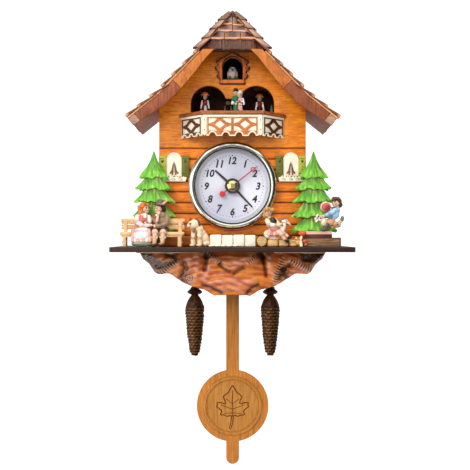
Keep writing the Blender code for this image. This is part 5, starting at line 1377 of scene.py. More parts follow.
# ---- the painted windows
def buildWindows():
    ivory = paintFinish("windowIvory", creamPaint)
    lightGreen = paintFinish("shutterLight", dict(creamPaint, colour=tint(176, 178, 62), vary=0.16))
    darkGreen = paintFinish("shutterDark", dict(creamPaint, colour=tint(104, 106, 34), vary=0.2))
    ink = paintFinish("windowInk", dict(creamPaint, colour=tint(58, 40, 18), vary=0.2))
    curtain = paintFinish("curtainBrown", dict(creamPaint, colour=tint(150, 96, 52), vary=0.25))
    flower = paintFinish("flowerRed", dict(creamPaint, colour=tint(196, 96, 62), vary=0.2))
    leaf = paintFinish("leafGreen", dict(creamPaint, colour=tint(112, 128, 52), vary=0.2))
    back = frontY - gap
    for name, side in sides:
        x = side * 53.6
        panel = [(x - 7.15, 7.0), (x + 7.15, 7.0), *arc(x, 23.7, 7.15, 0, 180, 24)]
        parts = [(slab(panel, back - 1.6, back, 0.35, steps=2), 0)]
        rim = [(x - 6.6, 8.2), (x + 6.6, 8.2), *arc(x, 23.7, 6.6, 0, 180, 24)]
        parts.append((tube([(a, back - 1.7, b) for a, b in rim], 0.5, 8, closed=True), 0))
        # the pane, a little lower than its rim, with two drawn curtains parted like a tent
        for way in (-1, 1):
            fold = [(x + way * 0.4, 22.0), (x + way * 1.2, 17.2), (x + way * 2.4, 14.4), (x + way * 4.1, 12.4), (x + way * 3.9, 11.0)]
            fold += [(x + way * 2.2, 11.4), (x + way * 0.8, 11.0)]
            parts.append((slab(fold, back - 2.15, back - 1.5, 0.25), 4))
            for k in (0.2, 0.5, 0.8):
                parts.append((tube([(x + way * (0.5 + 0.3 * k), back - 2.1, 20.5), (x + way * (0.8 + 2.6 * k), back - 2.1, 11.8)], 0.16, 5), 3))
            parts.append((slab([(x + way * 0.5, 10.2), (x + way * 2.4, 10.0), (x + way * 1.5, 12.4)], back - 2.3, back - 1.5, 0.2), 4))
        parts.append((tube([(x, back - 1.9, 12.0), (x, back - 1.9, 22.4)], 0.16, 6), 3))
        for way in (-1, 1):
            outer = way == side
            x0, x1 = sorted((x + way * 7.0, x + way * 13.85))
            parts.append((roundedBox((x0, back - 2.6, 8.3), (x1, back, 27.6), 0.35), 1 if outer else 2))
            inside = roundedBox((x0 + 0.9, back - 2.85, 9.3), (x1 - 0.9, back - 2.3, 26.6), 0.25)
            parts.append((inside, 1 if outer else 2))
            cx = (x0 + x1) / 2
            heart = [(cx, 20.6), (cx + 1.3, 22.5), (cx + 1.0, 23.8), (cx + 0.2, 23.4), (cx, 22.9), (cx - 0.2, 23.4), (cx - 1.0, 23.8), (cx - 1.3, 22.5)]
            parts.append((slab(smoothed(heart, 1), back - 3.05, back - 2.6, 0.12), 3))
            for z in (17.6, 14.9):
                parts.append((ball((cx, back - 2.85, z), (0.45, 0.3, 0.5), 10), 3))
            for z in (11.2, 24.8):  # hinge straps
                parts.append((roundedBox((min(x0, x1) + 0.4, back - 3.0, z - 0.3), (max(x0, x1) - 2.2, back - 2.6, z + 0.3), 0.12), 3))
        box = slab([(x - 11.8, 7.9), (x - 10.6, 3.9), (x + 10.6, 3.9), (x + 11.8, 7.9)], back - 4.6, back, 0.5, steps=2)
        parts.append((box, 0))
        chance = random.Random(21 + side)
        for i in range(26):
            fx = x - 10.6 + 21.2 * i / 25 + chance.uniform(-0.3, 0.3)
            fz = 8.0 + chance.uniform(-0.3, 0.9)
            r = chance.uniform(0.6, 1.0)
            kind = 6 if i % 3 == 1 else 5 if i % 4 == 0 else 0
            parts.append((ball((fx, back - 3.6 + chance.uniform(-0.6, 0.5), fz), (r, r * 0.8, r * 0.85), 8), kind))
        for i in range(3):  # painted scrolls on the box
            cx = x - 6.4 + 6.4 * i
            path = []
            for k in range(20):
                a = k / 19 * 3.6 * math.pi
                r = 1.5 * (1 - 0.6 * k / 19)
                path.append((cx + (k / 19 - 0.5) * 3.2 + r * math.cos(a), back - 4.62, 5.9 + r * 0.8 * math.sin(a)))
            parts.append((tube(path, 0.16, 5), 3))
        makePiece(f"window.{name}", parts, [ivory, lightGreen, darkGreen, ink, curtain, flower, leaf], stands=[f"window_{name}"])
    print("windows made")


# ---- the clock insert
handAngles = {"hour": 312, "minute": 137, "second": 51.5}
dialLook = {"numeralRadius": 23.6, "numeralHeight": 6.9, "dotRadius": 28.3, "slant": 0.22}


def letters(text, size, shear=0.2, depth=0.12):
    # upright numerals in the XZ plane, centred on the origin, facing -Y
    curve = bpy.data.curves.new("numeral", "FONT")
    curve.body, curve.size, curve.shear, curve.extrude = text, size, shear, depth
    curve.offset = 0.032 * size
    curve.resolution_u = 6
    obj = bpy.data.objects.new("numeral", curve)
    bpy.context.scene.collection.objects.link(obj)
    bpy.context.view_layer.update()
    mesh = bpy.data.meshes.new_from_object(obj.evaluated_get(bpy.context.evaluated_depsgraph_get()))
    bpy.data.objects.remove(obj)
    points = [v.co.copy() for v in mesh.vertices]
    faces = [tuple(p.vertices) for p in mesh.polygons]
    bpy.data.meshes.remove(mesh)
    bm = bmesh.new()
    found = [bm.verts.new(p) for p in points]
    for f in faces:
        bm.faces.new([found[i] for i in f])
    bmesh.ops.remove_doubles(bm, verts=bm.verts, dist=0.0005)
    shape = taken(bm)
    xs, ys = [p.x for p in shape[0]], [p.y for p in shape[0]]
    centre = Vector(((min(xs) + max(xs)) / 2, (min(ys) + max(ys)) / 2, 0))
    wide, tall = max(xs) - min(xs), max(ys) - min(ys)
    scale = size / tall
    return moved(shape, facings["Y"] @ Matrix.Scale(scale, 4) @ Matrix.Translation(-centre)), wide * scale


def buildInsert():
    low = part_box("bezel")[0] / mm
    chrome = metalFinish("chrome", {"colour": (0.93, 0.94, 0.90, 1), "dull": (0.86, 0.87, 0.84, 1), "rough": 0.03, "bump": 0.002, "hair": (3, 3, 3)})
    profile = [(35.55, -70.3), (35.55, -78.0), (34.75, -78.0)]
    for i in range(41):  # a half-round ring, fuller on its outer slope
        a = math.pi * i / 40
        across = 36.6 - 1.9 * math.cos(a) if a < math.pi / 2 else 36.6 - 3.8 * math.cos(a)
        profile.append((across, -76.6 - 2.9 * math.sin(a)) if a < math.pi / 2 else (across, -75.4 - 4.1 * math.sin(a)))
    profile += [(40.45, -71.4), (40.45, -70.7), (40.1, -70.3)]
    makePiece("bezelRing", [(shiftedTurn(profile, 160), 0)], [chrome], stands=["bezel"], smooth=50)
    blackRing = [(34.15, -77.95), (34.5, -78.2), (35.2, -78.1), (35.2, -75.6), (34.0, -75.9)]
    rubber = paintFinish("sealRubber", {"colour": tint(26, 30, 26), "rough": 0.5, "vary": 0.3})
    makePiece("lensSeal", [(shiftedTurn(blackRing, 120), 0)], [rubber])
    lensGlass()
    face = Finish("dialSilver")
    apart = face.add("ShaderNodeSeparateXYZ")
    face.plug(face.place, apart.inputs[0])
    # the silver turns lighter and darker twice round the dial: a painted sheen, as on a brushed dial under light
    angle = face.sum("ARCTAN2", apart.outputs["Z"], apart.outputs["X"])
    sheenSweep = face.sum("COSINE", face.sum("MULTIPLY", face.sum("ADD", angle, 0.35), 2.0))
    tone = face.ramp(face.sum("MULTIPLY_ADD", sheenSweep, 0.5, 0.5), (0.0, tint(196, 196, 214)), (0.5, tint(214, 213, 228)), (1.0, tint(232, 231, 242)))
    speck = face.ramp(face.cloud(1600, 2), (0.3, 0.96), (0.7, 1.03))
    face.set(color=face.mix(1.0, tone, speck, "MULTIPLY"), metal=0.1, rough=face.ramp(face.cloud(900, 2), (0.3, 0.56), (0.7, 0.48)))
    face.bump(face.cloud(2200, 2), 0.06, 0.05)
    ink = paintFinish("dialInk", {"colour": tint(10, 9, 14), "rough": 0.7, "vary": 0.2, "coat": 0})
    plate = [(2.8, -69.0), (30.6, -69.0), (31.0, -69.25), (31.4, -69.0), (35.2, -69.0), (35.2, -68.3), (2.8, -68.3)]
    parts = [(shiftedTurn(plate, 120), 0)]
    for hour in range(1, 13):
        numeral, wide = letters(str(hour), dialLook["numeralHeight"], dialLook["slant"])
        a = math.radians(30 * hour)
        spot = (dialLook["numeralRadius"] * math.sin(a), -69.1, dialLook["numeralRadius"] * math.cos(a))
        narrow = Matrix.Diagonal((0.92, 1, 1, 1))
        parts.append((moved(numeral, Matrix.Translation(spot) @ narrow), 1))
    makePiece("dialFace", parts, [face.material, ink], stands=["dial"])
    # minute dots, larger at the hours
    dot = makeMesh("dot", [(turned([(0, 0), (0.34, 0), (0.26, 0.1), (0, 0.12)], 10, axis="Y"), 0)], [ink])
    spots = []
    for i in range(60):
        a = math.radians(6 * i)
        size = 1.8 if i % 5 == 0 else 1.0
        r = dialLook["dotRadius"]
        spots.append(((r * math.sin(a), -69.02, r * math.cos(a)), Matrix.Identity(3), (size, 1, size)))
    settle(scattered("minuteDots", dot, spots, ink), "minuteDots", "case")
    black = paintFinish("handBlack", {"colour": tint(7, 8, 12), "rough": 0.55, "coat": 0, "vary": 0.3})
    brassLook = {"colour": (0.82, 0.62, 0.25, 1), "dull": (0.66, 0.46, 0.16, 1), "rough": 0.16}
    brass = metalFinish("gearBrass", brassLook)
    red = paintFinish("secondRed", {"colour": tint(176, 34, 58), "rough": 0.45, "vary": 0.08, "coat": 0})
    redDisc = paintFinish("secondDisc", {"colour": tint(206, 4, 30), "rough": 0.4, "vary": 0.06, "coat": 0})
    makeHand("minuteHand", "minute", (1.15, 26.8, 3.2), (-71.6, -71.1), 1.8, black, "minute_hand", "minute_hand")
    makeHand("hourHand", "hour", (1.3, 21.8, 3.4), (-70.4, -69.9), 1.8, black, "hour_hand", None)
    give("hour_hand", brass)
    give("motion_wheel", brass)
    give("minute_arbor", brass)
    spin = Matrix.Rotation(math.radians(handAngles["second"]), 4, "Y")
    bar = slab([(-0.62, 0), (0.62, 0), (0.42, 28.6), (0, 29.3), (-0.42, 28.6)], -72.75, -72.25, 0.08)
    ring = slab(circle(0, 24.2, 2.4, 32), -72.8, -72.2, 0.15, [circle(0, 24.2, 1.55, 32)])
    tail = slab(rectangle(-0.7, 0.7, -12, 0), -72.7, -72.3, 0.1)
    disc = slab(circle(0, -12, 2.7, 32), -72.8, -72.2, 0.2, steps=2)
    hub = slab(circle(0, 0, 2.6, 32), -72.8, -72.2, 0.15)
    parts = [(moved(s, spin), k) for s, k in ((bar, 0), (ring, 0), (tail, 0), (disc, 1), (hub, 0))]
    parts.append((tube([(0, -72.4, 0), (0, -65.5, 0)], 0.5, 12), 0))
    makePiece("secondHand", parts, [red, redDisc], "second_hand", ["second_hand"])
    goldLook = {"colour": (0.86, 0.68, 0.28, 1), "dull": (0.78, 0.60, 0.24, 1), "rough": 0.05, "bump": 0.002, "hair": (3, 3, 3)}
    gold = metalFinish("capBrass", goldLook)
    dome = [(0, -75.9)] + [(5.35 * math.sin(math.pi / 2 * i / 10), -73.75 - 2.15 * math.cos(math.pi / 2 * i / 10)) for i in range(1, 11)]
    dome += [(5.35, -73.2), (0, -73.2)]
    skirt = [(5.0, -74.0), (6.2, -73.95), (6.9, -73.7), (7.0, -73.35), (6.9, -73.0), (5.0, -73.0)]
    parts = [(shiftedTurn(dome, 64), 0), (turnedFront(skirt, 64, True), 1)]
    makePiece("centreCap", parts, [gold, black], "second_hand", ["centre_cap"])
    print("insert made")


def turnedFront(profile, steps, ring):
    # (radius, y) points turned about the dial's axis
    return turned([(r, -y) for r, y in profile], steps, axis="Y", ring=ring)


def shiftedTurn(profile, steps):
    return turnedFront(profile, steps, profile[0][0] > 0)


def lensGlass():
    made = Finish("lensGlass")
    haze = made.cloud(120, 2)
    made.set(
        color=(1, 1, 1, 1),
        rough=made.ramp(haze, (0.3, 0.02), (0.7, 0.05)),
        alpha=made.ramp(haze, (0.3, 0.012), (0.7, 0.02)),
        ior=1.45,
    )
    made.bump(haze, 0.01)
    made.material.surface_render_method = "BLENDED"
    profile = [(0, -77.9), (33.4, -77.75), (34.2, -77.5), (34.5, -77.2), (34.2, -76.95), (0, -76.95)]
    makePiece("lensPane", [(turnedFront(profile, 96, False), 0)], [made.material], stands=["lens"])


def plasticFinish(name, look=None):
    look = look or {}
    made = Finish(name)
    spark = made.cloud(1000 / look.get("spark", 0.25), 3, 0.6)
    cloudy = made.cloud(90, 2)
    colour = look.get("colour", tint(34, 34, 36))
    colour = made.mix(1.0, colour, made.ramp(cloudy, (0.3, 0.85), (0.7, 1.15)), "MULTIPLY")
    rough = look.get("rough", 0.45)
    made.set(color=colour, rough=made.ramp(spark, (0.3, rough + 0.08), (0.7, rough - 0.06)))
    made.bump(spark, 0.12, 0.06)
    return made.material


def makeHand(name, which, size, depth, bore, finish, node, stands):
    half, long, hub = size
    edge = math.degrees(math.asin(half / hub))
    outline = arc(0, 0, hub, 90 + edge, 450 - edge, 28)
    outline += [(half * 0.8, long * 0.5), (half * 0.62, long - 1.2), (0, long), (-half * 0.62, long - 1.2), (-half * 0.8, long * 0.5)]
    shape = slab(outline, *depth, 0.12, [circle(0, 0, bore, 24)])
    spin = Matrix.Rotation(math.radians(handAngles[which]), 4, "Y")
    body = "minute_hand" if which == "minute" else "hour_hand"
    if stands is None:  # the CAD piece keeps its wheel and pipe, and this lies over its blade
        shape = slab([(x * 1.04, z * 1.004 if z > 2 else z * 1.03) for x, z in outline], depth[0] - 0.12, depth[1] + 0.1, 0.12, [circle(0, 0, bore, 24)])
    makePiece(name, [(moved(shape, spin), 0)], [finish], body, [stands] if stands else [])


# ---- the pendulum
pendulumLook = {
    "light": tint(218, 142, 56),
    "mid": tint(202, 122, 42),
    "dark": tint(160, 88, 26),
    "along": "z",
    "grain": 0.95,
    "long": 26,
    "warp": 0.25,
    "patch": 20,
    "dim": 0.9,
    "bright": 1.06,
    "pore": 0.6,
    "coat": 0.1,
    "rough": 0.5,
}
bob = {"z": -210.8, "radius": 34.8, "half": 6.3, "end": -267.3, "y": -30.0, "thick": 3.0}


def buildPendulum():
    wood = woodFinish("bladeWood", pendulumLook)
    discLook = dict(pendulumLook, light=tint(206, 142, 62), mid=tint(190, 124, 48), dark=tint(152, 90, 32))
    disc = woodFinish("discWood", discLook)
    burnt = woodFinish("burntWood", dict(pendulumLook, light=tint(150, 92, 40), mid=tint(126, 72, 28), dark=tint(92, 48, 18)))
    edge = math.degrees(math.asin(bob["half"] / bob["radius"]))
    low, high = bob["y"] - bob["thick"] / 2, bob["y"] + bob["thick"] / 2
    right = arc(0, bob["end"] + bob["half"], bob["half"], 270, 360, 10)
    right += arc(0, bob["z"], bob["radius"], edge - 90, 90 - edge, 64) + [(bob["half"], -20.5)]
    blade = slab(right + mirrored(right[1:]), low, high, 0.45, steps=2)
    makePiece("pendulumBlade", [(blade, 0)], [wood], "pendulum", ["pendulum_blade"])
    face = low - gap
    # a turned disc: rim, groove, bead and a flat field with the leaf cut into it
    profile = [(0, face - 0.75), (23.6, face - 0.75), (24.4, face - 0.85), (24.9, face - 0.2), (25.4, face - 0.25), (26.0, face - 1.3)]
    profile += [(26.9, face - 1.62), (27.8, face - 1.35), (28.5, face - 0.6), (28.7, face - 0.1), (28.7, face), (0, face)]
    medal = shifted(turnedFront(profile, 128, False), z=bob["z"])
    half = [(0, 20.5), (1.6, 17.4), (3.9, 13.6), (5.2, 12.2), (9.3, 9.4), (8.6, 7.6), (6.9, 4.4), (6.8, 1.9), (11, 3.3), (15.7, 3.6)]
    half += [(14.4, 1.2), (15.9, -0.6), (13.0, -2.4), (10.4, -4.7), (10.9, -6.4), (12.2, -8.6), (8.2, -8.6), (5.0, -10.2), (2.6, -9.0)]
    leaf = [(x, z + bob["z"]) for x, z in half + [(1.1, -9.5), (-1.0, -9.8)] + mirrored(half)[:-1]]
    stem = [(0.9, -9.2), (0.4, -14), (-0.6, -18.4), (-1.5, -22.0), (-3.4, -21.6), (-2.4, -18), (-1.3, -13.6), (-0.8, -9.2)]
    stem = [(x, z + bob["z"]) for x, z in stem]
    plate = bpy.data.objects.new("medal", makeMesh("medal", [(medal, 0)], [disc, burnt]))
    # the V-cut outline of the leaf: its edge as a line of small prisms
    line = grooveLine([(x, z) for x, z in smoothed(leaf, 1)], face - 0.75, 0.62)
    veins = [grooveLine([(0, bob["z"] - 9), (0, bob["z"] + 15)], face - 0.75, 0.42, False)]
    for side in (-1, 1):
        for (x0, z0), (x1, z1) in (((0, 2), (6.4, 7.2)), ((0, -3), (11.5, 1.2)), ((0, -6.6), (8.2, -7.2))):
            veins.append(grooveLine([(side * x0, bob["z"] + z0), (side * x1, bob["z"] + z1)], face - 0.75, 0.36, False))
    stemLine = grooveLine([(x, z) for x, z in smoothed(stem, 1)], face - 0.75, 0.5)
    cutter = bpy.data.objects.new("cutter", makeMesh("cutter", [(s, 1) for s in (line, stemLine, *veins)], [disc, burnt]))
    for obj in (plate, cutter):
        bpy.context.scene.collection.objects.link(obj)
    carve = plate.modifiers.new("engrave", "BOOLEAN")
    carve.operation, carve.solver, carve.object, carve.use_self = "DIFFERENCE", "EXACT", cutter, True
    made = frozen(plate)
    bpy.data.objects.remove(cutter)
    made.shade_smooth()
    made.set_sharp_from_angle(angle=math.radians(30))
    made.name = "bobMedallion"
    settle(made, "bobMedallion", "pendulum", ["bob_medallion"])
    give("hanger_strip", metalFinish("stripBrass", {"colour": (0.72, 0.56, 0.26, 1), "rough": 0.28}))
    print("pendulum made")


def grooveLine(points, y, deep, closed=True):
    # a square-section bar along a line in the face, turned on its edge: what a V tool takes out
    path = [(x, y, z) for x, z in points]
    if not closed:
        (x0, z0), (x1, z1) = points
        path = [(x0 + (x1 - x0) * i / 6, y, z0 + (z1 - z0) * i / 6) for i in range(7)]
    shape, faces = [], []
    count = len(path)
    for i, p in enumerate(path):
        a = path[i - 1 if closed else max(i - 1, 0)]
        b = path[(i + 1) % count if closed else min(i + 1, count - 1)]
        along = Vector((b[0] - a[0], 0, b[2] - a[2])).normalized()
        across = Vector((along.z, 0, -along.x))
        for dx, dy in ((deep, 0), (0, deep), (-deep, 0), (0, -deep)):
            shape.append(Vector(p) + across * dx + Vector((0, dy, 0)))
    for i in range(count if closed else count - 1):
        j = (i + 1) % count
        for k in range(4):
            m = (k + 1) % 4
            faces.append((i * 4 + k, i * 4 + m, j * 4 + m, j * 4 + k))
    if not closed:
        faces += [(3, 2, 1, 0), tuple(range(count * 4 - 4, count * 4))]
    return shape, faces


# ---- the pine-cone weights
coneProfile = [(0.0, -92.3), (1.6, -92.4), (2.8, -93.2), (3.6, -94.4), (3.2, -96.0), (2.9, -98.8), (3.3, -101.0), (4.9, -103.0)]
coneProfile += [(6.7, -106.2), (7.9, -109.6), (8.2, -112.0), (7.9, -113.6), (7.8, -118.0), (7.4, -124.0), (6.9, -131.0), (6.1, -138.0)]
coneProfile += [(5.3, -145.0), (4.5, -150.6), (3.6, -154.2), (2.2, -156.2), (0.0, -156.8)]
cone = {"rows": 17, "around": 12, "from": -111.0, "to": -154.4, "seed": 31}


def coneRadius(z):
    for (r0, z0), (r1, z1) in zip(coneProfile, coneProfile[1:]):
        if z <= z0 and z >= z1:
            return r0 + (r1 - r0) * (z - z0) / (z1 - z0)
    return 0.5


def coneScale():
    # one woody scale, its base at the origin; it hangs down -y and its lip stands out along z
    bm = bmesh.new()
    rows, columns, grid = 4, 4, {}
    for layer in (0, 1):
        for i in range(rows + 1):
            for j in range(columns + 1):
                v, u = i / rows, (j / columns - 0.5) * 2
                wide = 0.62 + 0.38 * math.sin(math.pi * min(v * 0.62 + 0.08, 1))
                droop = v * (1 - 0.20 * u * u)
                lift = 0.30 + 0.62 * v**1.5 * (1 - 0.45 * u * u) + (0.16 * math.exp(-((u / 0.3) ** 2)) * v)
                thick = 0.42 if layer else 0
                grid[layer, i, j] = bm.verts.new((u * wide * 0.5, -droop, lift * 0.55 - 0.30 + thick * (0.5 + 0.5 * v)))
    for layer in (0, 1):
        for i in range(rows):
            for j in range(columns):
                bm.faces.new([grid[layer, a, b] for a, b in ((i, j), (i, j + 1), (i + 1, j + 1), (i + 1, j))])
    rim = [(0, j) for j in range(columns + 1)] + [(i, columns) for i in range(1, rows + 1)]
    rim += [(rows, j) for j in range(columns - 1, -1, -1)] + [(i, 0) for i in range(rows - 1, 0, -1)]
    for a, b in zip(rim, rim[1:] + rim[:1]):
        bm.faces.new((grid[0, *a], grid[0, *b], grid[1, *b], grid[1, *a]))
    bmesh.ops.recalc_face_normals(bm, faces=bm.faces)
    bmesh.ops.scale(bm, vec=(mm, mm, mm), verts=bm.verts)
    mesh = bpy.data.meshes.new("coneScale")
    bm.to_mesh(mesh)
    bm.free()
    worn = mesh.attributes.new("edge", "FLOAT", "POINT")
    worn.data.foreach_set("value", [(0.8 if -v.co.y > 0.9 * mm else 0.0) for v in mesh.vertices])
    return mesh


def buildWeights():
    bronzeLook = {"colour": tint(74, 44, 24), "dull": tint(36, 18, 9), "metal": 0.55, "rough": 0.3, "smear": 3, "edge": tint(178, 122, 66)}
    bronze = metalFinish("coneBronze", bronzeLook)
    wireLook = {"colour": (0.75, 0.58, 0.26, 1), "rough": 0.3}
    wireBrass = metalFinish("eyeBrass", wireLook)
    for name, side in sides:
        x, y = side * 35.0, -64.0
        facets = lambda a, row: 1 + 0.055 * (abs(math.cos(4 * a + 0.3)) - 0.6) * (5 <= row <= 11)
        core = turned(coneProfile, 64, (x, y, 0), wave=facets)
        # the collar of pointed leaves above the cone
        collar = [(0, -94.6), (3.0, -94.4), (5.2, -95.9), (6.7, -97.6), (6.4, -98.6), (4.6, -99.9), (3.0, -100.4), (0, -100.4)]
        points = lambda a, row: 1 + (0.12 * abs(math.cos(3 * a + 0.4)) - 0.06) * (1 <= row <= 5)
        cap = turned(collar, 60, (x, y, 0), wave=points)
        stem = tube([(x, y, -92.0), (x, y, -76), (x, y, -70.4)], 0.5, 10)
        hook = [(x, y + 2.0 * math.cos(t), -67.9 + 2.0 * math.sin(t)) for t in (math.radians(-90 - 325 * i / 26) for i in range(27))]
        parts = [(joined(core, cap, stem, tube(hook, 0.5, 10)), 0)]
        for k in range(7):
            a = k * 2 * math.pi / 7
            tip = Vector((x + 3.3 * math.cos(a), y + 3.3 * math.sin(a), -96.9))
            path = [(x + 0.7 * math.cos(a), y + 0.7 * math.sin(a), -92.4), (x + 3.3 * math.cos(a), y + 3.3 * math.sin(a), -94.4), tip]
            parts.append((tube(path, [0.5, 1.25, 0.4], 7), 0))
        mesh = makeMesh(f"coneBody.{name}", parts, [bronze])
        settle(mesh, f"coneBody.{name}", f"weight_{name}", [f"weight_{name}"])
        spots, chance = [], random.Random(cone["seed"] + side)
        for row in range(cone["rows"]):
            share = row / (cone["rows"] - 1)
            z = cone["from"] + (cone["to"] - cone["from"]) * share
            r = coneRadius(z)
            r2 = coneRadius(z - 1.5)
            count = max(6, round(cone["around"] * (0.62 + 0.38 * min(1, r / 7))))
            step = (cone["from"] - cone["to"]) / (cone["rows"] - 1)
            for k in range(count):
                a = 2 * math.pi * (k + 0.5 * (row % 2)) / count + chance.uniform(-0.06, 0.06)
                out = Vector((math.cos(a), math.sin(a), 0))
                slope = Vector((out.x * (r - r2) / 1.5, out.y * (r - r2) / 1.5, 1)).normalized()
                wide = 2 * math.pi * max(r, 1.5) / count * 1.22
                place = Vector((x, y, z + 1.4)) + out * (coneRadius(z + 1.4) - 0.25)
                spots.append((place, frameOf(slope, slope.cross(out).cross(slope)), (wide, step * 1.35, 1.9)))
        mesh = scattered(f"coneScales.{name}", coneScale(), spots, bronze, 8 + side, (6, 3, 4), 0.05, 60)
        settle(mesh, f"coneScales.{name}", f"weight_{name}")
        give(f"screw_eye_{name}", wireBrass)
    print("weights made")


# ---- the carved apron under the shelf
apron = {
    "edge": [
        (0.0, -99.3), (15.3, -100.0), (23.5, -95.0), (35.0, -92.0), (41.8, -89.1), (47.5, -85.4),
        (54.5, -80.6), (64.8, -81.7), (68.3, -80.0), (73.7, -72.5), (80.0, -67.5), (82.5, -62.4),
    ],
    "half": 88.0,
    "bow": 34.0,
    "columns": 300,
    "rows": 84,
}  # fmt: skip


def apronLower(x):
    x = abs(x) * apron["edge"][-1][0] / apron["half"]
    for a, b in zip(apron["edge"], apron["edge"][1:]):
        if x <= b[0]:
            return heightOn((a, b), x)
    return apron["edge"][-1][1]


def ridge(x, z, line, wide):
    # distance to a polyline, as 1 on the line falling to 0, and how far along it
    best, where, run = 1e9, 0.0, 0.0
    for (x0, z0), (x1, z1) in zip(line, line[1:]):
        dx, dz = x1 - x0, z1 - z0
        length = math.hypot(dx, dz)
        t = min(max(((x - x0) * dx + (z - z0) * dz) / length**2, 0), 1)
        off = math.hypot(x - x0 - t * dx, z - z0 - t * dz)
        if off < best:
            best, where = off, run + t * length
        run += length
    return math.exp(-((best / wide) ** 2)), where, best


def apronCarving(x, z):
    # (how far the carving stands out in mm, gold painted highlight, pink painted highlight, painted shade) at a point
    # of the apron
    lift, dark, pink, gold = 0.0, 0.0, 0.0, 0.0
    wavy = noise.noise(Vector((x * 0.05, z * 0.09, 3.1)))
    lift += 1.5 * wavy + 0.7 * noise.noise(Vector((x * 0.16, z * 0.30, 7.7)))
    # long gouged flutes run across the middle, fanning out to the wings; their crests get a gold painted highlight and
    # their troughs painted shade
    flute = math.sin(z * 1.15 + 0.03 * x * x * 0.12 + 2.2 * wavy + 0.06 * abs(x))
    lift += 0.28 * flute
    gold += 0.35 * flute
    # deep folds beside the middle panel, and where the wings turn, darkened with painted shade
    folds = (
        ([(-22.5, -60), (-23.5, -67), (-25.5, -76)], 2.0, 2.6),
        ([(-24, -60), (-24, -64)], 3.4, 2.0),
        ([(25.5, -58), (27.5, -66), (29, -74), (30.5, -82)], 1.5, 3.0),
        ([(25, -58), (26.5, -65)], 4.2, 2.6),
        ([(-44.5, -70), (-42.5, -76), (-47, -84), (-42, -90)], 3.0, 3.6),
        ([(-84, -64), (-76, -68), (-69, -72)], 4.6, 2.6),
        ([(82, -64), (76, -68), (70, -66)], 4.2, 2.2),
        ([(47, -92), (49, -84), (47, -77)], 2.8, 3.0),
        ([(42.5, -84), (45, -77), (52, -73)], 2.6, 2.8),
        ([(-60, -62), (-52, -67), (-63, -74), (-70, -74)], 3.2, 2.4),
        ([(64, -62), (66, -68), (74, -66)], 3.0, 2.0),
        ([(-10, -97), (-20, -92.5), (-27, -90)], 2.0, 1.5),
        ([(13, -98), (17, -93), (23, -90)], 2.2, 2.0),
        ([(1.5, -80), (5.5, -76.5), (10, -74.5)], 1.7, 1.7),
        ([(-12, -72), (-6, -76), (-2, -78)], 1.6, 1.2),
    )
    for line, wide, deep in folds:
        near, _, _ = ridge(x, z, line, wide)
        lift -= deep * near
        dark += 0.85 * near
    # rounded ridges that catch the light, with a painted pink highlight on them
    swells = (
        ([(-31.5, -62), (-32, -74), (-34, -86)], 2.4, 2.0),
        ([(32, -60), (34.5, -74), (39, -86)], 2.6, 2.2),
        ([(-22, -60), (-21, -74), (-25, -86)], 2.8, 1.8),
        ([(-18, -88), (-4, -86), (8, -89), (20, -86)], 2.6, 1.7),
        ([(-16, -66), (-6, -70), (4, -69), (16, -64)], 2.4, 1.3),
        ([(-2, -76), (2, -73), (9, -70), (22, -68)], 1.7, 1.2),
        ([(-12, -95), (0, -93), (10, -95.5)], 2.2, 1.4),
        ([(-56, -66), (-49, -71), (-38, -66)], 2.6, 1.6),
        ([(52, -68), (60, -70), (72, -78)], 2.8, 1.6),
        ([(-78, -64), (-70, -68)], 2.2, 1.0),
    )
    for line, wide, tall in swells:
        near, _, _ = ridge(x, z, line, wide)
        lift += tall * near
        pink += 0.75 * near * (0.6 + 0.4 * math.sin(0.5 * x + z))
    # notched bands like a twisted rope along the wings, with painted highlights on the crests of the notches and
    # painted shade between them
    for line, wide, pitch in (
        ([(-51, -68), (-57, -72.5), (-62, -77), (-68, -82)], 3.0, 2.6),
        ([(46, -66), (43, -73), (40.5, -80), (38.5, -89)], 2.7, 2.4),
        ([(53, -68), (60, -71.5), (67, -76), (73, -78)], 2.9, 2.6),
        ([(-20, -63), (-15, -67), (-11.5, -69.5)], 2.3, 2.0),
        ([(14, -70), (19, -66), (23, -63)], 2.3, 2.0),
    ):
        near, run, off = ridge(x, z, line, wide)
        if near > 0.03:
            notch = 0.5 + 0.5 * math.cos(2 * math.pi * run / pitch + off * 0.5)
            lift += near * (0.5 + 1.5 * notch)
            gold += near * notch * 1.2
            pink += near * max(notch - 0.6, 0) * 1.2
            dark += near * (1 - notch) * 0.95
    # a small rosette on the left, with a painted pink highlight along its spiral and painted shade between its turns
    r = math.hypot(x + 39, z + 84.3)
    if r < 4.4:
        turn = math.atan2(z + 84.3, x + 39)
        spiral = 0.5 + 0.5 * math.cos(r * 3.2 - turn)
        rim = blended(4.4, 3.6, r) if r > 3.6 else 1
        lift += rim * (0.8 + 0.8 * spiral)
        pink = max(pink, 0.8 * spiral)
        dark += (1 - spiral) * 0.7 * rim
    return lift, gold, pink, min(dark, 1.0)


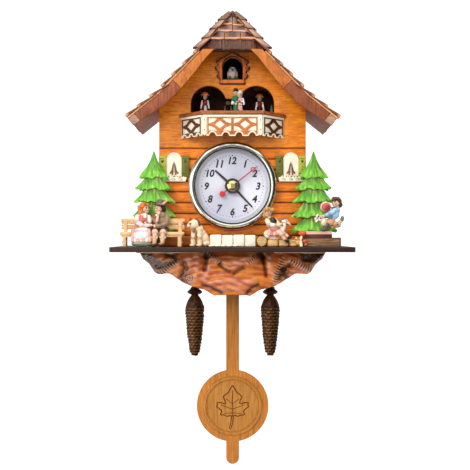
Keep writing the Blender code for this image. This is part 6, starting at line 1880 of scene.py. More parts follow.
def buildApron():
    top, half = baseLow - gap, apron["half"]
    columns, rows = apron["columns"], apron["rows"]
    points, faces, colours = [], [], []
    mahogany, orange, rose = np.array(tint(186, 84, 40)), np.array(tint(234, 134, 48)), np.array(tint(246, 170, 142))
    shadow = np.array(tint(48, 16, 12))
    for layer in (0, 1):
        for j in range(rows + 1):
            down = j / rows
            for i in range(columns + 1):
                x = (2 * i / columns - 1) * half
                # the rim is chewed a little, but not at the very ends
                chew = 0.5 * noise.noise(Vector((x * 0.35, 1.7, 0))) * (1 - (abs(x) / half) ** 6)
                z = top + down * (apronLower(x) + chew - top)
                bow = apron["bow"] * (abs(x) / half) ** 2.2
                belly = 5 * math.sin(math.pi * down)
                lift, gold, pink, dark = apronCarving(x, z)
                ease = min(1, down * 9) * min(1, (1 - abs(x) / half) * 14 + 0.15)
                front = lift * ease * (0.6 + 0.4 * (1 - down**4))
                y = frontY + bow - belly - 10 + 6 * layer - (front if layer == 0 else min(front, 2.5) * 0.6)
                points.append((x, y, z))
                # the wood runs at random from mahogany to orange; over it go the carving's gold and pink painted
                # highlights and its painted shade, and painted shade deepens towards the wings
                mixed = mahogany + (orange - mahogany) * min(max(0.5 + 0.9 * noise.noise(Vector((x * 0.07, z * 0.16, 0.3))) + gold, 0), 1)
                mixed = mixed + (rose - mixed) * min(max(pink, 0), 0.85)
                wingShade = blended(60, 82, abs(x)) * 0.35
                mixed = mixed + (shadow - mixed) * min(max(dark + wingShade, 0), 0.93)
                mixed[3] = 1
                colours.append(mixed if layer == 0 else shadow * 0.8 + mahogany * 0.2)
    wide = columns + 1
    for layer in (0, 1):
        start = layer * wide * (rows + 1)
        for j in range(rows):
            for i in range(columns):
                a = start + j * wide + i
                faces.append((a, a + 1, a + wide + 1, a + wide))
    rim = [i for i in range(wide)] + [j * wide + columns for j in range(1, rows + 1)]
    rim += [rows * wide + i for i in range(columns - 1, -1, -1)] + [j * wide for j in range(rows - 1, 0, -1)]
    other = wide * (rows + 1)
    for a, b in zip(rim, rim[1:] + rim[:1]):
        faces.append((a, b, b + other, a + other))
    lacquer = Finish("apronLacquer")
    grain = lacquer.cloud((90, 90, 900), 5, 0.62, 1.2)
    patch = lacquer.cloud(130, 3, 0.6, 0.5)
    colour = lacquer.mix(1.0, lacquer.attribute("paint", "Color"), lacquer.ramp(grain, (0.3, 0.74), (0.7, 1.18)), "MULTIPLY")
    colour = lacquer.mix(1.0, colour, lacquer.ramp(patch, (0.3, 0.86), (0.7, 1.1)), "MULTIPLY")
    lacquer.set(color=colour, rough=lacquer.ramp(grain, (0.3, 0.42), (0.7, 0.3)), coat=1.0, coatRough=0.08)
    lacquer.bump(grain, 0.35, 0.3)
    mesh = makeMesh("carvedApron", [((points, faces), 0)], [lacquer.material], smooth=70)
    paintPoints(mesh, colours)
    settle(mesh, "carvedApron", "case", ["corbel"])
    print("apron made")


# ---- the garden: painted figures with plain faces, carved from lumps
ground = -55.3
skin, rose, ink = tint(240, 196, 164), tint(216, 108, 96), tint(28, 20, 18)
creamCloth, straw, nut = tint(244, 224, 192), tint(214, 160, 92), tint(74, 46, 32)


def lump(lumps, colour, *shapes):
    # each shape is (x, y, z, rx, ry, rz), with (tx, ty, tz) degrees after it if it is turned
    for s in shapes:
        lumps.append(("ball", s[:3], s[3:6], colour, s[6:9] if len(s) > 6 else (0, 0, 0)))


def limbs(lumps, colour, *runs):
    # each run is points (x, y, z, radius) along an arm, a leg or a stick
    for run in runs:
        for a, b in zip(run, run[1:]):
            lumps.append(("limb", a[:3], b[:3], a[3], b[3], colour))


def addFace(lumps, centre, size, look, tilt=0):
    # a plain doll's face; look is how far it is turned to the right of the viewer, in degrees
    turn = Matrix.Translation(centre) @ Euler((math.radians(tilt), 0, math.radians(look))).to_matrix().to_4x4()

    def put(colour, x, y, z, *radii):
        lumps.append(("ball", tuple(turn @ Vector((x * size, y * size, z * size))), [r * size for r in radii], colour, (tilt, 0, look)))

    put(skin, 0, 0, 0, 0.86, 0.92, 1.0)
    put(skin, 0, -0.2, -0.5, 0.62, 0.66, 0.52)
    put(skin, 0, -0.95, -0.12, 0.13, 0.16, 0.2)
    put(tint(190, 70, 62), 0, -0.80, -0.50, 0.2, 0.1, 0.075)
    for way in (-1, 1):
        put(tint(238, 168, 142), way * 0.45, -0.66, -0.24, 0.22, 0.2, 0.2)
        put(ink, way * 0.32, -0.86, 0.1, 0.095, 0.08, 0.12)
        put(nut, way * 0.33, -0.84, 0.34, 0.17, 0.08, 0.05)
        put(skin, way * 0.86, 0.05, -0.05, 0.12, 0.2, 0.26)


def coupleLumps():
    lumps, blouse, apronWhite = [], tint(244, 214, 200), tint(248, 226, 218)
    lump(lumps, tint(232, 156, 146), (-79, -92.6, -36, 8.4, 4.0, 5.6), (-80.4, -98.6, -42.2, 9.0, 4.2, 4.4))
    lump(lumps, apronWhite, (-80.2, -100.6, -46.4, 9.0, 3.6, 6.2), (-79.6, -99.2, -40.6, 7.6, 4.0, 2.4))
    for k in range(7):
        x = -87.6 + 2.5 * k
        limbs(lumps, apronWhite if k % 2 else tint(238, 168, 160), [(x * 0.94 - 4.8, -101.0, -40.4, 1.0), (x, -102.6, -49.9, 1.7)])
    lump(lumps, tint(132, 144, 112), (-80, -100.9, -52.8, 9.2, 3.9, 2.6))
    lump(lumps, tint(176, 190, 150), (-81.5, -103.2, -52.3, 5.8, 1.8, 0.9))
    lump(lumps, blouse, (-79, -92.8, -30.6, 6.0, 3.7, 5.4))
    lump(lumps, rose, (-78.9, -94.9, -31.2, 4.6, 2.6, 4.7))
    lump(lumps, tint(255, 244, 234), (-77.3, -96.9, -28.2, 1.5, 1.0, 2.4), (-78.2, -95.2, -27.0, 3.2, 2.2, 1.2))
    limbs(lumps, blouse, [(-84.4, -93.6, -28.8, 2.3), (-84.8, -96.4, -34.0, 2.4), (-78.0, -99.4, -36.8, 1.9), (-73.0, -100.2, -36.4, 1.5)])
    limbs(lumps, blouse, [(-74.4, -94.2, -29.0, 2.0), (-73.2, -96.6, -33.4, 1.9)])
    lump(lumps, skin, (-71.6, -100.4, -36.3, 1.7, 1.4, 1.3), (-78, -93.4, -26, 1.9, 1.8, 2))
    lump(lumps, tint(92, 26, 34), (-76.9, -99.2, -34.2, 2.5, 1.2, 1.5))
    lump(lumps, tint(240, 190, 176), (-76.6, -100.2, -34.0, 1.1, 0.7, 0.9))
    orange = tint(224, 122, 52)
    lump(lumps, orange, (-78.9, -91.9, -20.6, 4.7, 4.3, 5.2), (-80.6, -92.6, -24.6, 3.2, 3.4, 3.6), (-82.6, -91.8, -21, 2.2, 2.6, 2.9))
    addFace(lumps, (-76.9, -94.0, -22.0), 3.7, 34, -6)
    limbs(lumps, orange, [(-79.9, -95.4, -25.6, 0.9), (-80.3, -96.0, -20.6, 1.5), (-77.5, -97.0, -17.4, 1.3), (-73.9, -95.4, -18.9, 0.8)])
    # the man beside her
    jacket, shorts = tint(152, 124, 98), tint(80, 64, 52)
    lump(lumps, jacket, (-63.4, -92.9, -31.8, 7.0, 3.9, 7.2), (-64, -93.4, -27.6, 6.2, 3.7, 3.4))
    lump(lumps, tint(168, 60, 62), (-68.3, -95.2, -31.2, 2.6, 2.3, 5.4))
    lump(lumps, tint(250, 232, 214), (-66.4, -96.2, -27.6, 2.0, 1.5, 1.5))
    limbs(lumps, jacket, [(-58.7, -93.4, -28.8, 2.7), (-57.9, -96.2, -34.6, 2.5), (-63.4, -99.2, -37.0, 2.1), (-66.4, -99.8, -37.0, 1.8)])
    limbs(lumps, jacket, [(-70.0, -94.6, -30.2, 1.9), (-67.0, -98.6, -34.4, 1.7)])
    limbs(lumps, skin, [(-66.9, -98.5, -34.0, 1.3), (-65.3, -98.4, -27.0, 1.1), (-65.0, -98.0, -25.4, 1.4)])
    lump(lumps, skin, (-68.2, -99.9, -37.0, 1.7, 1.4, 1.3))
    lump(lumps, shorts, (-63.5, -94.6, -39.4, 7.0, 3.4, 2.6))
    for x, foot in ((-68.0, -69.2), (-61.0, -62.8)):
        limbs(lumps, shorts, [(x + 0.4, -93.0, -40.2, 2.6), (x, -99.0, -40.9, 3.0)])
        lump(lumps, skin, (x, -100.8, -42.6, 3.0, 2.6, 3.0))
        limbs(lumps, skin, [(x, -101.4, -43.6, 2.3), (x - 0.3, -101.2, -47.0, 1.9)])
        limbs(lumps, creamCloth, [(x - 2.0, -101.4, -47.2, 1.1), (x + 1.6, -101.4, -47.2, 1.1)])
        limbs(lumps, tint(226, 186, 140), [(x - 0.3, -101.2, -48.6, 2.1), (x - 0.6, -101.2, -52.2, 1.7)])
        lump(lumps, tint(86, 52, 38), (foot, -102.2, -53.7, 2.7, 3.2, 1.6))
        lump(lumps, tint(214, 170, 130), (foot - 0.2, -102.6, -52.8, 1.8, 2.1, 1.0))
    lump(lumps, tint(58, 40, 30), (-63.0, -91.6, -22.0, 3.9, 3.7, 4.4))
    addFace(lumps, (-66.0, -93.8, -22.4), 3.6, -34, -4)
    brim = tint(78, 62, 56)
    lump(lumps, brim, (-64.8, -92.8, -18.4, 6.0, 5.4, 0.8, 0, 8, 0))
    lump(lumps, tint(112, 94, 92), (-64.0, -92.6, -16.2, 3.8, 3.6, 2.7), (-64.6, -92.6, -14.6, 3.0, 3.0, 1.6))
    lump(lumps, tint(190, 150, 110), (-64.2, -92.7, -17.5, 4.0, 3.8, 0.7))
    limbs(lumps, tint(250, 206, 150), [(-61.0, -95.6, -17.2, 0.9), (-59.0, -95.8, -15.6, 1.1), (-57.6, -95.6, -13.9, 0.45)])
    return lumps


def dogLumps():
    lumps, fur, dark = [], tint(240, 210, 172), tint(92, 62, 46)
    lump(lumps, fur, (-34.4, -93.4, -35.9, 5.2, 4.4, 4.9), (-38.0, -94.4, -36.6, 2.9, 2.8, 2.3), (-30.2, -92.6, -41.2, 4.6, 4.0, 6.0))
    lump(lumps, fur, (-26.0, -91.6, -48.4, 5.0, 4.2, 6.6), (-28.2, -92, -44.5, 4.6, 3.8, 5.4), (-24.0, -92.4, -52.2, 4.0, 3.6, 3.0))
    limbs(lumps, fur, [(-34.2, -94.2, -42.0, 2.4), (-34.9, -95.0, -48.0, 2.0), (-35.0, -95.2, -53.6, 2.1)])
    limbs(lumps, fur, [(-29.4, -94.6, -42.0, 2.6), (-29.0, -96.0, -48.0, 2.2), (-28.9, -96.0, -53.4, 2.2)])
    lump(lumps, fur, (-35.6, -96.2, -54.0, 2.4, 2.6, 1.3), (-29.6, -97.2, -54.0, 2.4, 2.6, 1.3))
    limbs(lumps, fur, [(-22.6, -91, -52.6, 1.3), (-20.8, -91, -49.6, 1.0), (-21.6, -91, -46.6, 0.7)])
    limbs(lumps, dark, [(-40.6, -95.4, -35.8, 0.9), (-43.4, -95.8, -33.7, 0.55)])
    lump(lumps, ink, (-37.4, -97.4, -35.0, 0.75, 0.6, 0.8), (-40.9, -95.6, -36.4, 0.9, 0.9, 0.7))
    lump(lumps, dark, (-36.9, -93.6, -31.7, 1.6, 2.2, 1.7, 0, -20, 0), (-31.8, -92.4, -31.6, 2.0, 2.2, 1.5, 0, 24, 0), (-29.6, -94.4, -34.6, 1.1, 2.0, 3.0, 0, -14, 0))
    lump(lumps, tint(150, 104, 76), (-34.2, -96.4, -40.6, 1.4, 0.9, 2.6), (-32.0, -96.6, -43.2, 0.9, 0.7, 2.2))
    return lumps


def girlLumps():
    lumps, sleeve, pink = [], tint(250, 228, 200), tint(222, 128, 124)
    lump(lumps, tint(246, 226, 196), (32.6, -90.6, -44.4, 4.8, 4.8, 4.2), (36.4, -90.6, -43.8, 5.0, 4.6, 4.4), (31.0, -92.4, -46.2, 3.0, 3.4, 2.4))
    for k in range(5):
        limbs(lumps, pink if k % 2 else tint(244, 190, 176), [(33.6 + 1.7 * k, -92.6, -38.6, 1.1), (32.4 + 2.4 * k, -94.6, -44.6, 1.5)])
    lump(lumps, pink, (37.4, -92.6, -39.8, 4.8, 3.4, 2.6))
    lump(lumps, tint(238, 196, 170), (36.2, -90.8, -48.2, 6.2, 4.4, 1.4))
    lump(lumps, sleeve, (34.6, -90.2, -34.8, 3.8, 3.2, 4.8))
    lump(lumps, tint(42, 48, 40), (36.0, -91.9, -32.4, 3.4, 2.2, 3.2, 0, 28, 0))
    limbs(lumps, sleeve, [(30.9, -91.8, -32.0, 2.0), (32.6, -94.4, -36.0, 2.2), (38.2, -95.2, -36.6, 1.8), (42.0, -94.4, -35.6, 1.4)])
    limbs(lumps, sleeve, [(38.0, -89.6, -31.0, 1.5), (41.0, -91.0, -34.4, 1.2)])
    lump(lumps, skin, (43.2, -94.2, -35.2, 1.3, 1.2, 1.2), (33.0, -90.6, -29.4, 1.5, 1.5, 1.6))
    limbs(lumps, skin, [(40.6, -93.6, -42.0, 2.5), (44.4, -95.0, -45.6, 2.0), (46.8, -95.6, -49.4, 1.5)])
    limbs(lumps, skin, [(41.8, -90.6, -41.6, 2.3), (46.8, -91.6, -44.0, 1.8), (49.2, -92.2, -46.4, 1.4)])
    lump(lumps, tint(34, 26, 34), (48.0, -97.0, -50.4, 2.3, 1.9, 1.4, 0, 22, 0), (51.0, -93.2, -47.0, 2.3, 1.8, 1.4, 0, -26, 0))
    goose, beak = tint(250, 240, 222), tint(246, 200, 160)
    limbs(lumps, goose, [(44.0, -91.6, -41.0, 2.4), (46.4, -91.6, -37.6, 1.7), (46.0, -91.8, -33.4, 1.7)])
    lump(lumps, goose, (46.6, -91.8, -32.8, 2.8, 2.2, 2.2), (43.4, -91.0, -39.6, 3.0, 2.4, 2.6))
    lump(lumps, tint(110, 108, 122), (45.8, -91.8, -30.9, 2.2, 1.7, 1.2))
    lump(lumps, ink, (48.0, -93.6, -32.4, 0.5, 0.4, 0.5))
    limbs(lumps, beak, [(49.2, -91.8, -33.8, 1.2), (52.2, -91.8, -36.4, 0.55)])
    lump(lumps, straw, (31.6, -88.6, -23.8, 4.2, 3.6, 4.0), (35.6, -88.8, -22.4, 2.0, 1.9, 1.9), (28.6, -89.6, -27.6, 1.7, 1.9, 2.0))
    addFace(lumps, (31.2, -90.8, -25.6), 3.4, -14, -12)
    limbs(lumps, straw, [(28.4, -92.2, -25.2, 0.7), (29.2, -93.4, -22.6, 1.0), (32.0, -93.6, -21.6, 1.0), (34.4, -92.0, -23.4, 0.7)])
    return lumps


def boyLumps():
    lumps, shirt, boot = [], tint(164, 204, 226), tint(78, 92, 78)
    lump(lumps, shirt, (91.0, -91, -26.0, 4.6, 3.8, 5.8, 0, 18, 0), (92.8, -91, -22.6, 3.4, 3.2, 3.0))
    lump(lumps, tint(92, 146, 190), (87.0, -92.8, -28.2, 2.7, 2.2, 2.3), (88.8, -93.9, -25.6, 1.6, 0.8, 1.2))
    limbs(lumps, shirt, [(91.4, -94.0, -23.0, 2.3), (86.0, -95.0, -26.2, 2.0), (83.0, -94.8, -27.4, 1.7)])
    limbs(lumps, skin, [(83.0, -94.8, -27.4, 1.3), (79.8, -94.4, -28.6, 1.2)])
    lump(lumps, skin, (78.8, -94.2, -28.6, 1.5, 1.4, 1.4))
    shorts = tint(222, 160, 110)
    lump(lumps, shorts, (87.4, -91, -33.6, 4.6, 3.8, 3.8), (90.6, -91, -35.2, 3.6, 3.4, 3.0))
    lump(lumps, creamCloth, (81.2, -93.0, -33.2, 2.6, 2.4, 3.8))
    limbs(lumps, boot, [(84.8, -92.0, -35.6, 2.5), (83.2, -92.6, -38.4, 2.2), (82.4, -92.8, -39.6, 2.1)])
    lump(lumps, boot, (80.7, -93.2, -40.2, 3.2, 2.3, 1.4), (83.6, -92.8, -39.8, 1.9, 2.1, 1.7))
    limbs(lumps, tint(238, 198, 158), [(89.4, -90.4, -36.6, 2.6), (94.6, -90.2, -36.2, 2.3), (96.4, -90.2, -32.6, 1.5)])
    lump(lumps, tint(120, 72, 50), (90.4, -92.6, -36.0, 4.0, 1.4, 0.6, 0, -8, 0))
    lump(lumps, creamCloth, (96.6, -90.2, -33.0, 1.7, 1.8, 1.0))
    lump(lumps, tint(112, 112, 106), (98.0, -90.2, -30.6, 1.7, 1.9, 2.9, 0, 16, 0))
    red = tint(214, 84, 78)
    # the red bag, ringed with pale pink as a painted highlight
    lump(lumps, tint(244, 190, 176), (83.2, -90.4, -19.8, 4.9, 3.0, 4.7))
    lump(lumps, red, (83.5, -92.5, -20.1, 3.7, 1.8, 3.5))
    lump(lumps, tint(170, 44, 50), (84.2, -94.2, -20.8, 1.6, 0.5, 2.0, 0, 24, 0))
    limbs(lumps, tint(110, 40, 36), [(87.0, -93.4, -21.0, 0.7), (90.8, -94.4, -20.6, 0.7)])
    petals = tint(250, 240, 226)
    for k in range(9):
        a = k * 2.4
        r = 0.55 + 0.32 * k
        lump(lumps, petals, (76.0 + r * math.cos(a), -94.4 - 0.5 * (k % 2), -30.2 + r * math.sin(a), 1.35, 1.2, 1.35))
        if k % 2:
            lump(lumps, tint(108, 30, 46), (76.1 + r * math.cos(a + 0.5), -95.9, -30.1 + r * math.sin(a + 0.5), 0.6, 0.5, 0.6))
    hair = tint(92, 58, 42)
    lump(lumps, hair, (94.0, -89.6, -15.2, 3.9, 4.0, 4.2), (91.6, -90.6, -12.6, 3.2, 3.2, 1.9), (96.4, -90.0, -18.0, 2.0, 2.8, 2.7))
    addFace(lumps, (91.9, -91.6, -16.8), 3.6, -38, -12)
    limbs(lumps, hair, [(88.7, -93.4, -13.9, 0.9), (91.6, -94.8, -12.8, 1.2), (95.0, -93.6, -13.8, 1.1), (96.0, -92.4, -17.0, 0.9)])
    return lumps


def buildFigures():
    paint = paintFinish("figurePaint", {"rough": 0.42, "washAndShade": 0.8, "washColour": tint(86, 46, 34), "coat": 0.22, "brush": 0.5})

    def folds(p, colour):
        return 0.10 * math.sin(2.4 * p.x + 1.1 * p.z) + 0.22 * noise.noise(p * 0.55)

    for name, lumps, node, low in (
        ("couple", coupleLumps(), "seated_couple", ground),
        ("dogCarving", dogLumps(), "dog", ground),
        ("girl", girlLumps(), "sitting_girl", -51.9),
        ("boy", boyLumps(), "stepping_boy", -41.4),
    ):
        made = carve(name, lumps, 0.34, 1, folds)
        flatten(made, low)
        dress(made, name, paint, "case", [node])
    lumps = []
    limbs(lumps, tint(250, 230, 190), [(60.6, -100.6, -54.6, 1.5), (60.2, -100.6, -49.5, 1.1), (61.0, -100.6, -45.0, 1.0)])
    lump(lumps, tint(218, 84, 46), (61.5, -100.6, -43.6, 3.7, 3.1, 2.1))
    for k in range(5):
        a = k * 1.3 + 0.4
        lump(lumps, tint(255, 226, 190), (61.5 + 2.3 * math.cos(a), -100.8 - 2.0 * math.sin(a), -42.2 - 0.3 * k, 0.5, 0.5, 0.4))
    squirrel = tint(222, 166, 102)
    lump(lumps, squirrel, (57.4, -99.8, -51.6, 2.0, 1.8, 2.6), (56.2, -100.4, -48.7, 1.5, 1.4, 1.4), (53.6, -99.6, -53.8, 2.8, 1.8, 1.5))
    lump(lumps, squirrel, (56.8, -100.2, -47.4, 0.5, 0.4, 0.9), (55.7, -100.2, -47.4, 0.5, 0.4, 0.9))
    limbs(lumps, squirrel, [(59.2, -98.8, -54.0, 1.2), (60.4, -98.4, -51.0, 1.6), (59.6, -98.4, -48.0, 1.4)])
    lump(lumps, ink, (55.6, -101.6, -48.7, 0.32, 0.3, 0.34))
    lump(lumps, tint(226, 96, 60), (63.6, -100.2, -50.4, 1.7, 1.2, 1.5), (64.8, -100.0, -53.4, 1.3, 1.1, 1.2))
    limbs(lumps, tint(96, 136, 60), [(63.8, -99.8, -54.6, 0.6), (63.6, -100.2, -51.0, 0.5)])
    made = carve("toadstool", lumps, 0.3, 1)
    flatten(made, ground)
    dress(made, "toadstool", paint, "case", [])
    print("figures made")


# ---- the fir trees, flat carved tiers with drooping lips
firTiers = [
    # lip half-width, lip height, height of its top, half-width there
    (12.6, 6.8, 30.8, 0.4),
    (15.7, -3.7, 12.0, 6.0),
    (17.7, -15.0, 1.5, 7.0),
    (18.7, -28.6, -10.5, 7.6),
    (20.0, -41.8, -24.0, 8.0),
]
firPlace = {"left": -71.2, "right": 73.5}


def firTier(lip, low, high, neck, seed, flat=0.3, steps=96):
    rows = [(neck * 0.9, high, 0), (neck + (lip - neck) * 0.22, high - (high - low) * 0.34, 0.2)]
    rows += [(neck + (lip - neck) * 0.48, high - (high - low) * 0.60, 0.55), (neck + (lip - neck) * 0.76, high - (high - low) * 0.80, 0.85)]
    rows += [(lip - 0.5, low + 1.5, 1), (lip, low + 0.6, 1), (lip - 0.5, low, 1), (lip - 2.2, low + 0.3, 0.9), (neck * 0.8, low + 2.2, 0.2)]
    points, faces = [Vector((0, 0, rows[0][1] + 0.3 * neck))], []
    for r, z, loose in rows:
        for k in range(steps):
            a = 2 * math.pi * k / steps
            frill = 0.055 * math.sin(5 * a + seed) + 0.045 * math.sin(11 * a + 2.1 * seed) + 0.02 * math.sin(23 * a + seed)
            droop = 0.9 * math.sin(4 * a + 1.7 * seed) + 0.8 * math.sin(9 * a + seed) + 0.45 * math.sin(19 * a)
            comb = 0.35 * math.sin(31 * a + 3 * seed) * (0.3 + 0.7 * loose)
            reach = r * (1 + frill * loose) + comb
            points.append(Vector((reach * math.cos(a), reach * math.sin(a) * flat, z - max(droop, -1.2) * loose * 0.8)))
    points.append(Vector((0, 0, rows[-1][1])))
    last = len(points) - 1
    for k in range(steps):
        j = (k + 1) % steps
        faces.append((0, 1 + k, 1 + j))
        for row in range(len(rows) - 1):
            a, b = 1 + row * steps, 1 + (row + 1) * steps
            faces.append((a + k, b + k, b + j, a + j))
        faces.append((last, 1 + (len(rows) - 1) * steps + j, 1 + (len(rows) - 1) * steps + k))
    return points, faces


def buildTrees():
    bright, leafy, deep = np.array(tint(112, 196, 52)), np.array(tint(84, 160, 44)), np.array(tint(40, 92, 30))
    bark, tip = np.array(tint(120, 112, 72)), np.array(tint(206, 226, 120))
    fir = paintFinish("firPaint", {"rough": 0.5, "coat": 0.15, "brush": 0.9, "vary": 0.2, "bump": 0.5})
    for name, side in sides:
        shapes, colours = [], []
        x = firPlace[name]
        for k, (lip, low, high, neck) in enumerate(firTiers):
            shape = firTier(lip, low, high, neck, 1.3 * k + 2.1 * side)
            # each tier goes from painted shade, grey-brown like the bark, at its top under the tier above, to bright
            # green towards its lip; random streaks add pale and dark green; the underside of the lip gets more painted
            # shade
            for p in shape[0]:
                share = min(max((high - p.z) / (high - low), 0), 1)
                streak = noise.noise(Vector((p.x * 0.7, k * 9 + side, p.z * 0.13)))
                colour = bark * 0.72 + (leafy - bark * 0.72) * blended(0.26 if k else -0.3, 0.62 if k else 0.1, share)
                colour = colour + (bright - colour) * blended(0.58, 0.9, share)
                colour = colour + ((tip if streak > 0 else deep) - colour) * min(abs(streak) * 1.1, 0.75)
                if p.z < low - 0.6:
                    colour = colour + (deep - colour) * 0.25
                colours.append(colour)
            shapes.append((shifted(shape, x, -80.3, 0), 0))
        trunk = turned([(0, -24), (7.2, -24), (7.6, -36), (6.4, -40), (4.9, -44), (4.5, ground), (0, ground)], 24, wave=lambda a, row: 1 + 0.06 * math.sin(5 * a))
        trunk = moved(trunk, Matrix.Translation((x, -80.3, 0)) @ Matrix.Diagonal((1, 0.36, 1, 1)))
        shapes.append((trunk, 0))
        colours += [bark * 0.8 for _ in trunk[0]]
        mesh = makeMesh(f"fir.{name}", shapes, [fir], smooth=55)
        paintPoints(mesh, colours)
        settle(mesh, f"fir.{name}", "case", [f"tree_{name}"])
    print("trees made")


# ---- bench, stones, logs and timbers
def buildYard():
    benchLook = {"light": tint(250, 214, 164), "mid": tint(238, 194, 140), "dark": tint(200, 146, 96), "grain": 0.6, "along": "x", "coat": 0.15, "rough": 0.5}
    bench = woodFinish("benchPine", dict(benchLook, edge=tint(150, 96, 60)))
    parts = []
    left, right = -99.6, -42.9
    for low, high in ((-40.0, -35.6), (-35.1, -30.3)):
        parts.append((roundedBox((left, -88.5, low), (right, -87.0, high), 0.55), 0))
    parts.append((roundedBox((left, -98.5, -45.2), (right, -87.0, -42.2), 0.8), 0))
    parts.append((roundedBox((left + 1.5, -97.6, -46.8), (right - 1.5, -96.2, -45.2), 0.3), 0))
    for share in (0.07, 0.5, 0.93):
        x = left + (right - left) * share
        parts.append((roundedBox((x - 1.6, -89.5, ground), (x + 1.6, -87.6, -32.5), 0.4), 0))
        parts.append((roundedBox((x - 1.6, -97.5, ground), (x + 1.6, -95.5, -45.2), 0.4), 0))
    for share in (0.0, 1.0):
        x = left + 2.4 + (right - left - 4.8) * share
        parts.append((roundedBox((x - 0.8, -96.5, -52.4), (x + 0.8, -88.4, -50.6), 0.3), 0))
    makePiece("gardenBench", parts, [bench], stands=["bench"])
    stone = paintFinish("limestone", {"colour": tint(250, 242, 218), "rough": 0.7, "vary": 0.1, "bump": 0.8, "coat": 0})
    joint = paintFinish("mortar", {"colour": tint(92, 84, 72), "rough": 0.8, "vary": 0.3, "coat": 0})
    parts = [(roundedBox((-19.6, -93.9, ground), (20.3, -87.0, -45.6), 0.3), 1)]
    edges = [-20.0, -9.4, 0.6, 10.9, 20.7]
    for k, (a, b) in enumerate(zip(edges, edges[1:])):
        block = roundedBox((a + 0.22, -94.5, ground + 0.1), (b - 0.22, -86.5, -44.8 - 0.25 * (k % 2)), 0.9, 3)
        parts.append((ruffled(block, 0.22, 0.5, k), 0))
    for k in range(5):
        parts.append((ruffled(ball((-18.6 + 5.2 * k, -96.6, ground + 0.8), (2.6, 1.6, 0.9), 14), 0.3, 0.6, k), 0))
    makePiece("stoneBlocks", parts, [stone, joint], stands=["stone_wall"])
    logLook = {"light": tint(240, 204, 140), "mid": tint(224, 182, 118), "dark": tint(176, 126, 74), "grain": 0.5, "along": "x", "coat": 0.05, "rough": 0.6}
    logs = woodFinish("logPine", dict(logLook, edge=tint(112, 70, 40)))
    bark = woodFinish("logBark", {"light": tint(120, 84, 50), "mid": tint(86, 56, 32), "dark": tint(46, 28, 16), "along": "y", "grain": 0.8, "rough": 0.8})
    end = [(0, 94.9), (1.0, 94.95), (1.3, 94.75), (2.2, 94.9), (2.5, 94.72), (3.4, 94.85), (3.7, 94.65), (4.4, 94.6), (4.5, 86), (0, 86)]
    rind = [(4.35, 94.7), (4.7, 94.9), (4.95, 94.5), (4.95, 85.2), (4.3, 84.5), (4.35, 86)]
    uneven = lambda a, row: 1 + 0.03 * math.sin(3 * a) + 0.02 * math.sin(7 * a)
    place = lambda shape: shifted(shape, 26, 0, -50.35)
    parts = [(place(turned(end, 40, axis="Y", wave=uneven)), 0), (place(turned(rind, 40, axis="Y", ring=True, wave=uneven)), 1)]
    for k, (a, b, top) in enumerate(((31.2, 40.6, -49.0), (41.1, 50.0, -49.4), (50.5, 60.4, -49.2))):
        block = roundedBox((a, -94.5, ground + 0.1), (b, -84.8, top), 1.5, 3)
        parts.append((ruffled(block, 0.25, 0.4, k + 9), 0))
        parts.append((roundedBox((a - 0.7, -93.9, ground + 0.2), (a + 0.1, -85.2, top - 0.5), 0.3), 1))
    makePiece("logRow", parts, [logs, bark], stands=["log_row"])
    beamLook = {"light": tint(184, 150, 112), "mid": tint(140, 102, 70), "dark": tint(84, 52, 36), "grain": 0.55, "along": "x", "long": 20, "rough": 0.55, "coat": 0.1}
    brown = woodFinish("beamBrown", dict(beamLook, edge=tint(196, 160, 120)))
    red = woodFinish("beamRed", dict(beamLook, light=tint(124, 66, 54), mid=tint(98, 46, 40), dark=tint(58, 24, 24)))
    pale = woodFinish("beamPale", dict(beamLook, light=tint(236, 196, 172), mid=tint(218, 168, 144), dark=tint(170, 116, 94)))
    parts = [(ruffled(roundedBox((62.2, -97, ground + 0.1), (95.8, -85, -47.5), 0.7, 2), 0.18, 0.25, 3), 0)]
    parts.append((roundedBox((94.6, -97.15, ground + 0.1), (96.1, -84.9, -47.3), 0.4), 1))
    parts.append((roundedBox((62.2, -97.2, -48.1), (95.9, -96.2, -47.3), 0.25), 1))
    parts.append((ruffled(roundedBox((64.6, -96, -47.4), (88.4, -86.8, -44.2), 0.6), 0.15, 0.3, 5), 1))
    lid = [(-95.6, -44.3), (-94.2, -42.0), (-92.8, -41.5), (-87.0, -41.5), (-86.8, -44.3)]
    parts.append((ruffled(slab(lid, 64.8, 88.2, 0.3, facing="X"), 0.15, 0.3, 6), 2))
    makePiece("timberBeams", parts, [brown, red, pale], stands=["timber_stack"])
    print("yard made")


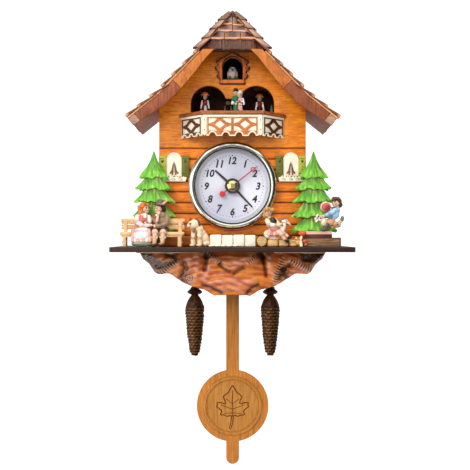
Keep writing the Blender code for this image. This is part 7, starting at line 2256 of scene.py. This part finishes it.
def ruffled(shape, depth, scale, seed):
    points, faces = shape
    return [Vector(p) + noise.noise_vector(Vector(p) * scale + Vector((seed * 7.3, 0, 0))) * depth for p in points], faces


# ---- finishes for the parts behind, which keep their own shapes
def finishRear():
    ply = {"light": tint(214, 170, 112), "mid": tint(198, 150, 92), "dark": tint(164, 114, 64), "grain": 0.8, "along": "z", "rough": 0.6, "coat": 0.05}
    give("back_panel", woodFinish("backPly", ply))
    give("rear_door", woodFinish("doorPly", dict(ply, along="x", light=tint(206, 158, 98), mid=tint(188, 138, 80))))
    give("movement_case", plasticFinish("movementBlack"))
    give("pendulum_driver", plasticFinish("driverBlack", {"colour": tint(44, 44, 48), "spark": 0.4, "rough": 0.5}))
    give("bird_guide", metalFinish("guideSteel", {"colour": (0.62, 0.62, 0.64, 1), "rough": 0.3, "hair": (3, 3, 0.3)}))
    wrap = Finish("batteryWrap")
    apart = wrap.add("ShaderNodeSeparateXYZ")
    wrap.plug(wrap.place, apart.inputs[0])
    low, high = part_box("battery")
    share = wrap.sum("DIVIDE", wrap.sum("SUBTRACT", apart.outputs["X"], low.x), high.x - low.x)
    band = wrap.ramp(share, (0.0, tint(190, 190, 194)), (0.05, tint(26, 26, 28)), (0.66, tint(26, 26, 28)), (0.67, tint(196, 132, 66)), (0.94, tint(196, 132, 66)), (0.96, tint(200, 200, 204)))
    scuff = wrap.ramp(wrap.cloud(420, 3), (0.3, 0.9), (0.7, 1.06))
    wrap.set(color=wrap.mix(1.0, band, scuff, "MULTIPLY"), metal=0.35, rough=wrap.ramp(wrap.cloud(500, 2), (0.3, 0.34), (0.7, 0.24)), coat=0.4, coatRough=0.1)
    wrap.bump(wrap.cloud(160, 2), 0.1, 0.1)
    give("battery", wrap.material)
    print("rear parts finished")


def main():
    buildStudio()
    buildHouse()
    buildBase()
    buildRoof()
    buildBird()
    buildStage()
    buildBalcony()
    buildWindows()
    buildInsert()
    buildPendulum()
    buildWeights()
    buildApron()
    buildFigures()
    buildTrees()
    buildYard()
    finishRear()


main()
